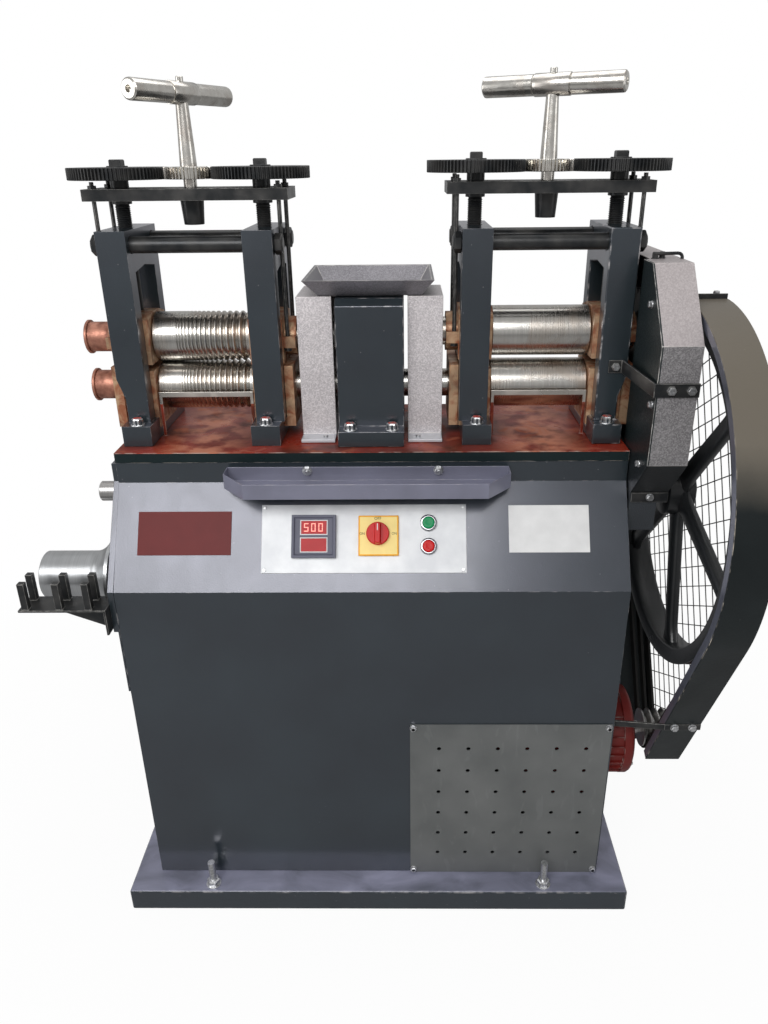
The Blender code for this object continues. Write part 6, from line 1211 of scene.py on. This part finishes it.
def edge_strip(outer_inset, inner_inset, x0, x1):
    """A flat strip that follows the outline of the belt guard between two insets."""
    bm = bmesh.new()
    outer, inner = guard_line(outer_inset), guard_line(inner_inset)
    rows = [
        [bm.verts.new((x, y, z)) for y, z in edge]
        for x, edge in ((x0, outer), (x0, inner), (x1, inner), (x1, outer))
    ]
    for first, second in zip(rows, rows[1:] + rows[:1]):
        for i in range(len(first) - 1):
            bm.faces.new((first[i], first[i + 1], second[i + 1], second[i]))
    for end in (0, -1):
        bm.faces.new([row[end] for row in rows])
    return bm


edging = edge_strip(GUARD_WALL + 0.0003, GUARD_WALL + MESH_BORDER, 0.5800, 0.5820)
dressed(made("mesh_edging", edging), guard_paint, "stand", "guard_paint")
# Its pale edges are partly rubbed paint and partly a painted glint along the flange.
flange_paint = paint("flange_paint", (0.070, 0.074, 0.088), 0.32, edge_wear_and_highlight=0.9, **GLOSS)
flange = edge_strip(GUARD_WALL + 0.0002, GUARD_WALL + 0.0150, GUARD_LEFT + 0.0002, GUARD_LEFT + 0.0017)
dressed(broken(made("guard_flange", flange), 0.0005, 1), flange_paint, "stand", "guard_paint")


# Motor
# A foot mounted induction motor in red oxide paint, with cast end shields held by through bolts.
motor_red = paint("motor_red", (0.105, 0.008, 0.006), 0.42, 0.0002, 0.25, 0.4, Specular_IOR_Level=0.3)
motor = bmesh.new()
profile = [(0.235, 0.030), (0.235, 0.076), (0.239, 0.084), (0.244, 0.087), (0.2565, 0.087), (0.257, 0.0825)]
profile += [(0.478, 0.0825), (0.4785, 0.087), (0.4915, 0.087), (0.4965, 0.084), (0.500, 0.076), (0.500, 0.034)]
profile += [(0.5085, 0.034), (0.510, 0.0325)]
turn(motor, "X", MOTOR, profile, 72)
for rib in range(28):
    angle = 2 * math.pi * rib / 28
    cos, sin = math.cos(angle), math.sin(angle)
    if abs(sin) > 0.86:
        continue
    corners = [(0.080, -0.0011), (0.0866, -0.0008), (0.0866, 0.0008), (0.080, 0.0011)]
    ring = [(MOTOR[0] + a * cos - b * sin, MOTOR[1] + a * sin + b * cos) for a, b in corners]
    loft(motor, "X", [(ring, 0.256), (ring, 0.479)])
box(motor, (0.3225, -0.185, 0.380), (0.4125, -0.115, 0.4715))
box(motor, (0.2925, -0.228, 0.241), (0.4425, -0.072, 0.268))
motor_shell = broken(made("red_motor", motor), 0.0012, 1, 50.0)
dressed(motor_shell, motor_red, "stand", "motor_red", "drive_motor")
bolts = [(0.500, MOTOR[0] + 0.070 * math.cos(a), MOTOR[1] + 0.070 * math.sin(a)) for a in [math.radians(45 + 90 * i) for i in range(4)]]
fasteners("motor_through_bolts", zinc, "ground_steel", "stand", bolts, (1, 0, 0), 6, 0.010, 0.006, 0.0, (0.003, 0.009))
softened("motor_bracket", black_oxide, "black_iron", "stand", 0.0010)


# Wire drum and peg rack
# A spun steel drum with a flared flange takes up drawn wire; a steel shelf beside it holds six
# square pegs for coils.
satin_steel = Finish("satin_steel", metallic=1.0)
lathe_lines = satin_steel.noise(10.0, 5.0, (90.0, 1.0, 1.0))
satin_steel.surface(
    Base_Color=satin_steel.mix(lathe_lines, (0.36, 0.37, 0.38), (0.62, 0.63, 0.64)),
    Roughness=0.26 + lathe_lines * 0.14,
    Normal=satin_steel.bump(lathe_lines, 0.0001),
)
drum = bmesh.new()
FLANGE_RIGHT = -0.4719
flare_left = FLANGE_RIGHT - 0.007 - 0.036
profile = [(flare_left - 0.092, 0.0425), (flare_left - 0.090, 0.0445)]
for step in range(13):
    share = step / 12
    profile.append((flare_left + 0.036 * share, 0.0445 + 0.0255 * share**2))
profile += [(FLANGE_RIGHT - 0.001, 0.0700), (FLANGE_RIGHT, 0.0690), (FLANGE_RIGHT, 0.0150)]
profile += [(DRUM_DRIVE[0], 0.0150), (DRUM_DRIVE[0], 0.0780), (DRUM_DRIVE[1], 0.0780)]
turn(drum, "X", DRUM, profile, 96)
dressed(made("spun_wire_drum", drum), satin_steel, "wire_drum_body", "satin_aluminium", "wire_drum")
softened("peg_rack", black_oxide, "black_iron", "stand", 0.0008)


# Vent panel
# A satin grey sheet over the motor, with rows of drilled air holes, held by a bolt at each corner.
vent_grey = Finish("vent_grey", metallic=0.35)
vent_cloud = vent_grey.ramp(vent_grey.noise(8.0, 5.0), (0.3, 0.0), (0.7, 1.0))
scratch = vent_grey.ramp(vent_grey.noise(30.0, 6.0, (1.0, 1.0, 0.25), 2.0), (0.60, 0.0), (0.66, 1.0))
vent_tone = vent_grey.mix(vent_cloud, (0.115, 0.121, 0.120), (0.165, 0.170, 0.168))
vent_grey.surface(
    Base_Color=vent_grey.mix(scratch * 0.10, vent_tone, (0.30, 0.31, 0.31)),
    Roughness=0.40 + vent_cloud * 0.10,
    Normal=vent_grey.bump(vent_grey.noise(480.0, 3.0), 0.0001),
)
VENT_FRONT, VENT_BACK = -0.2504, -0.2484
VENT_X, VENT_Z = (0.0664, 0.4450), (0.0504, 0.4265)
HOLE_X, HOLE_Z, HOLE_RADIUS, ROWS = (0.1214, 0.400), (0.105, 0.370), 0.0040, 6


def cell_edges(span, first, last):
    pitch = (last - first) / (ROWS - 1)
    return [span[0]] + [first + pitch * (i + 0.5) for i in range(ROWS - 1)] + [span[1]]


columns = cell_edges(VENT_X, *HOLE_X)
levels = cell_edges(VENT_Z, *HOLE_Z)
panel = bmesh.new()
for column in range(ROWS):
    for row in range(ROWS):
        cx = HOLE_X[0] + (HOLE_X[1] - HOLE_X[0]) * column / (ROWS - 1)
        cz = HOLE_Z[0] + (HOLE_Z[1] - HOLE_Z[0]) * row / (ROWS - 1)
        x0, x1, z0, z1 = columns[column], columns[column + 1], levels[row], levels[row + 1]
        rim_points, hole_points = [], []
        for step in range(24):
            angle = math.radians(15 * step)
            ux, uz = math.cos(angle), math.sin(angle)
            reach_x = ((x1 - cx) if ux > 0 else (x0 - cx)) / ux if abs(ux) > 1e-9 else 9.0
            reach_z = ((z1 - cz) if uz > 0 else (z0 - cz)) / uz if abs(uz) > 1e-9 else 9.0
            reach = min(reach_x, reach_z)
            rim_points.append((cx + ux * reach, cz + uz * reach))
            hole_points.append((cx + ux * HOLE_RADIUS, cz + uz * HOLE_RADIUS))
        for corner in ((x0, z0), (x1, z0), (x1, z1), (x0, z1)):
            nearest = min(range(24), key=lambda i: (rim_points[i][0] - corner[0]) ** 2 + (rim_points[i][1] - corner[1]) ** 2)
            rim_points[nearest] = corner
        front = [[panel.verts.new((x, VENT_FRONT, z)) for x, z in ring] for ring in (rim_points, hole_points)]
        back = [[panel.verts.new((x, VENT_BACK, z)) for x, z in ring] for ring in (rim_points, hole_points)]
        for i in range(24):
            j = (i + 1) % 24
            panel.faces.new((front[0][i], front[0][j], front[1][j], front[1][i]))
            panel.faces.new((back[0][j], back[0][i], back[1][i], back[1][j]))
            panel.faces.new((front[1][i], front[1][j], back[1][j], back[1][i]))
            middle_x = (rim_points[i][0] + rim_points[j][0]) / 2
            middle_z = (rim_points[i][1] + rim_points[j][1]) / 2
            on_edge = middle_x in VENT_X or middle_z in VENT_Z
            if on_edge:
                panel.faces.new((front[0][j], front[0][i], back[0][i], back[0][j]))
bmesh.ops.remove_doubles(panel, verts=panel.verts, dist=1e-5)
dressed(made("drilled_vent_panel", panel), vent_grey, "stand", "satin_grey", "vent_panel")
vent_corners = [(x, VENT_FRONT, z) for x in (0.0725, 0.4385) for z in (0.060, 0.4195)]
fasteners("vent_bolts", zinc, "ground_steel", "stand", vent_corners, (0, -1, 0), 6, 0.0105, 0.005, 0.0068, (0.003, 0.0062))


# Controls
# An engraved white plate on the slope with a digital meter, a yellow switch plate with a red rotary
# knob, and a green and a red push button in chrome rings.
SLOPE_START = Vector((0.0, -0.248, 0.710))
SLOPE = math.atan2(0.874 - 0.710, 0.248 - 0.144)
ON_SLOPE = Matrix.Translation(SLOPE_START) @ Matrix.Rotation(SLOPE, 4, "X")
OUTWARD = tuple((ON_SLOPE.to_3x3() @ Vector((0.0, 0.0, 1.0))))


def slope_place(x, rise, out):
    return tuple(ON_SLOPE @ Vector((x, rise, out)))


def laid(obj):
    """Lays a piece made flat, y up the slope and z out of it, onto the slope."""
    obj.data.transform(ON_SLOPE)
    return obj


def plate(name, x_span, rise_span, z_span, edge=0.0006):
    bm = bmesh.new()
    box(bm, (x_span[0], rise_span[0], z_span[0]), (x_span[1], rise_span[1], z_span[1]))
    return laid(broken(made(name, bm), edge))


white_plate = Finish("white_plate", metallic=0.15, Roughness=0.42)
plate_grain = white_plate.noise(900.0, 2.0)
plate_cloud = white_plate.ramp(white_plate.noise(25.0, 4.0), (0.35, 0.0), (0.7, 1.0))
plate_tone = white_plate.mix(plate_cloud, (0.52, 0.53, 0.55), (0.64, 0.65, 0.66))
white_plate.surface(
    Base_Color=white_plate.mix(plate_grain * 0.25, plate_tone, (0.40, 0.41, 0.43)),
    Normal=white_plate.bump(plate_grain, 0.00005),
)
moulded = {}
for label, colour, roughness in (
    ("black_plastic", (0.012, 0.012, 0.013), 0.30), ("yellow_plate", (0.80, 0.36, 0.012), 0.34),
    ("red_plastic", (0.52, 0.012, 0.012), 0.24), ("green_plastic", (0.010, 0.24, 0.085), 0.22),
    ("window_red", (0.40, 0.016, 0.020), 0.20), ("ink", (0.010, 0.010, 0.012), 0.5),
    ("case_grey", (0.105, 0.108, 0.145), 0.30), ("pale_yellow", (0.86, 0.68, 0.26), 0.36),
    ("label_white", (0.66, 0.66, 0.66), 0.38), ("label_red", (0.115, 0.012, 0.012), 0.34),
):
    finish = Finish(label, Roughness=roughness, Specular_IOR_Level=0.12)
    tone = finish.mix(finish.noise(40.0, 4.0), shaded(colour, 0.85), shaded(colour, 1.12))
    finish.surface(Base_Color=tone, Normal=finish.bump(finish.noise(800.0, 2.0), 0.00004))
    moulded[label] = finish

PLATE_TOP = 0.0024
control = bmesh.new()
box(control, (-0.1915, 0.033, 0.0004), (0.1658, 0.153, PLATE_TOP))
control_sheet = laid(broken(made("control_sheet", control), 0.0005, 1))
dressed(control_sheet, white_plate, "stand", "white_plate", "control_plate")
screws = [slope_place(x, rise, PLATE_TOP) for x in (-0.186, 0.160) for rise in (0.0385, 0.1475)]
fasteners("plate_screws", zinc, "ground_steel", "stand", screws, OUTWARD, 16, 0.0062, 0.0018, 0.0)

meter = bmesh.new()
outer_ring = [(-0.138, 0.059), (-0.061, 0.059), (-0.061, 0.134), (-0.138, 0.134)]
inner_ring = [(-0.1335, 0.0635), (-0.0655, 0.0635), (-0.0655, 0.1295), (-0.1335, 0.1295)]
deep_ring = [(-0.1322, 0.0648), (-0.0668, 0.0648), (-0.0668, 0.1282), (-0.1322, 0.1282)]
loft(meter, "Z", [(outer_ring, 0.0028), (outer_ring, 0.0128), (inner_ring, 0.0128), (deep_ring, 0.0098)])
meter_case = laid(broken(made("meter_case", meter), 0.0007))
dressed(meter_case, moulded["case_grey"], "stand", "black_plastic", "digital_meter")
for label, low, high in (("upper", 0.1005, 0.1235), ("lower", 0.0700, 0.0930)):
    surround = plate(f"{label}_meter_surround", (-0.1232, -0.0753), (low - 0.0017, high + 0.0017), (0.0092, 0.0103), 0.0004)
    dressed(surround, moulded["label_white"], "stand", "white_plate")
    window = plate(f"{label}_meter_window", (-0.1215, -0.0770), (low, high), (0.0095, 0.0108), 0.0004)
    dressed(window, moulded["window_red"], "stand", "red_plastic")


def seven_segment(bm, x, y, width, height, stroke, lit, level):
    """One figure of a display, drawn with straight bars at a level."""
    half, mid = stroke / 2, y + height / 2
    bars = {
        "a": ((x, y + height - stroke), (x + width, y + height)),
        "g": ((x, mid - half), (x + width, mid + half)),
        "d": ((x, y), (x + width, y + stroke)),
        "f": ((x, mid), (x + stroke, y + height)),
        "b": ((x + width - stroke, mid), (x + width, y + height)),
        "e": ((x, y), (x + stroke, mid)),
        "c": ((x + width - stroke, y), (x + width, mid)),
    }
    for name in lit:
        (x0, y0), (x1, y1) = bars[name]
        box(bm, (x0 + 0.0002, y0 + 0.0002, level), (x1 - 0.0002, y1 - 0.0002, level + 0.0003))


glowing = Finish("display_glow", Roughness=0.3, Emission_Strength=0.9)
glowing.surface(Base_Color=(0.9, 0.25, 0.2), Emission_Color=(1.0, 0.22, 0.16))
digits = bmesh.new()
for i, lit in enumerate(("afgcd", "abcdef", "abcdef")):
    seven_segment(digits, -0.1165 + i * 0.0125, 0.1045, 0.0080, 0.0150, 0.0019, lit, 0.0106)
dressed(laid(made("meter_figures", digits)), glowing, "stand", "red_plastic")

switch = plate("switch_face", (-0.022, 0.048), (0.0625, 0.133), (0.0028, 0.0078), 0.0012)
dressed(switch, moulded["yellow_plate"], "stand", "yellow_plate", "switch_plate")
card = plate("switch_card", (-0.0195, 0.0455), (0.0650, 0.1305), (0.0074, 0.0080), 0.0002)
dressed(card, moulded["pale_yellow"], "stand", "yellow_plate")


def lettering(name, text, size, x, rise, out, finish):
    """Plain raised letters on the slope, centred at a place."""
    curve = bpy.data.curves.new(name, "FONT")
    curve.body = text
    curve.size = size
    curve.extrude = 0.00015
    curve.align_x = "CENTER"
    curve.align_y = "CENTER"
    temporary = object_of(name + "_curve", curve)
    bpy.context.view_layer.update()
    graph = bpy.context.evaluated_depsgraph_get()
    mesh = bpy.data.meshes.new_from_object(temporary.evaluated_get(graph))
    bpy.data.objects.remove(temporary)
    mesh.transform(ON_SLOPE @ Matrix.Translation((x, rise, out)))
    return dressed(object_of(name, mesh), finish, "stand", "black_plastic")


KNOB_X, KNOB_RISE = 0.0118, 0.101
lettering("off_mark", "OFF", 0.0070, KNOB_X, 0.1275, 0.0080, moulded["ink"])
lettering("left_on_mark", "ON", 0.0060, -0.0155, KNOB_RISE, 0.0080, moulded["ink"])
lettering("right_on_mark", "ON", 0.0060, 0.0405, KNOB_RISE, 0.0080, moulded["ink"])
knob = bmesh.new()
profile = [(0.0012, 0.0040), (0.0082, 0.0040), (0.0082, 0.0190), (0.0092, 0.0200), (0.0142, 0.0200), (0.0160, 0.0186)]
profile += [(0.0162, 0.0080)]
turn(knob, "Z", (KNOB_X, KNOB_RISE), profile, 48)
grip_rings = []
for level, width, length in ((0.0155, 0.0060, 0.0190), (0.0200, 0.0050, 0.0188), (0.0270, 0.0046, 0.0180), (0.0282, 0.0036, 0.0168)):
    outline = []
    for corner_x, corner_y, start in ((1, 1, 0), (-1, 1, 90), (-1, -1, 180), (1, -1, 270)):
        for step in range(5):
            angle = math.radians(start + 22.5 * step)
            r = width * 0.7
            outline.append((KNOB_X + corner_x * (width - r) + r * math.cos(angle),
                            KNOB_RISE + corner_y * (length - r) + r * math.sin(angle)))
    grip_rings.append((outline, level))
loft(knob, "Z", grip_rings)
dressed(laid(made("rotary_knob", knob)), moulded["red_plastic"], "switch_knob_body", "red_plastic", "switch_knob")
pointer = plate("knob_pointer", (KNOB_X - 0.0008, KNOB_X + 0.0008), (KNOB_RISE + 0.004, KNOB_RISE + 0.0155), (0.0280, 0.0283), 0.0001)
dressed(pointer, moulded["label_white"], "switch_knob_body", "white_plate")

chrome = Finish("chrome_ring", metallic=1.0, Roughness=0.10)
chrome.surface(Base_Color=chrome.mix(chrome.noise(60.0, 3.0), (0.30, 0.30, 0.32), (0.44, 0.44, 0.46)))
for label, rise, colour, body, node in (
    ("start", 0.120, "green_plastic", "start_button_body", "start_button"),
    ("stop", 0.079, "red_plastic", "stop_button_body", "stop_button"),
):
    ring = bmesh.new()
    profile = [(0.0022, 0.0110), (0.0022, 0.0145), (0.0066, 0.0147), (0.0078, 0.0140), (0.0084, 0.0128), (0.0084, 0.0114), (0.0078, 0.0110)]
    turn(ring, "Z", (0.100, rise), profile, 56, True)
    dressed(laid(made(f"{label}_button_ring", ring)), chrome, "stand", "satin_aluminium")
    button = bmesh.new()
    profile = [(-0.0115, 0.0095), (-0.0115, 0.0105), (0.0115, 0.0105), (0.0128, 0.0098), (0.0133, 0.0082), (0.0130, 0.0050), (0.0127, 0.0020)]
    turn(button, "Z", (0.100, rise), profile, 48)
    dressed(laid(made(f"{label}_push_button", button)), moulded[colour], body, colour, node)

left_label = plate("left_bare_label", (-0.409, -0.245), (0.065, 0.142), (0.0002, 0.0012), 0.0003)
dressed(left_label, moulded["label_red"], "stand", "red_plastic")
right_label = plate("right_bare_label", (0.240, 0.380), (0.068, 0.151), (0.0002, 0.0012), 0.0003)
dressed(right_label, moulded["label_white"], "stand", "white_plate")
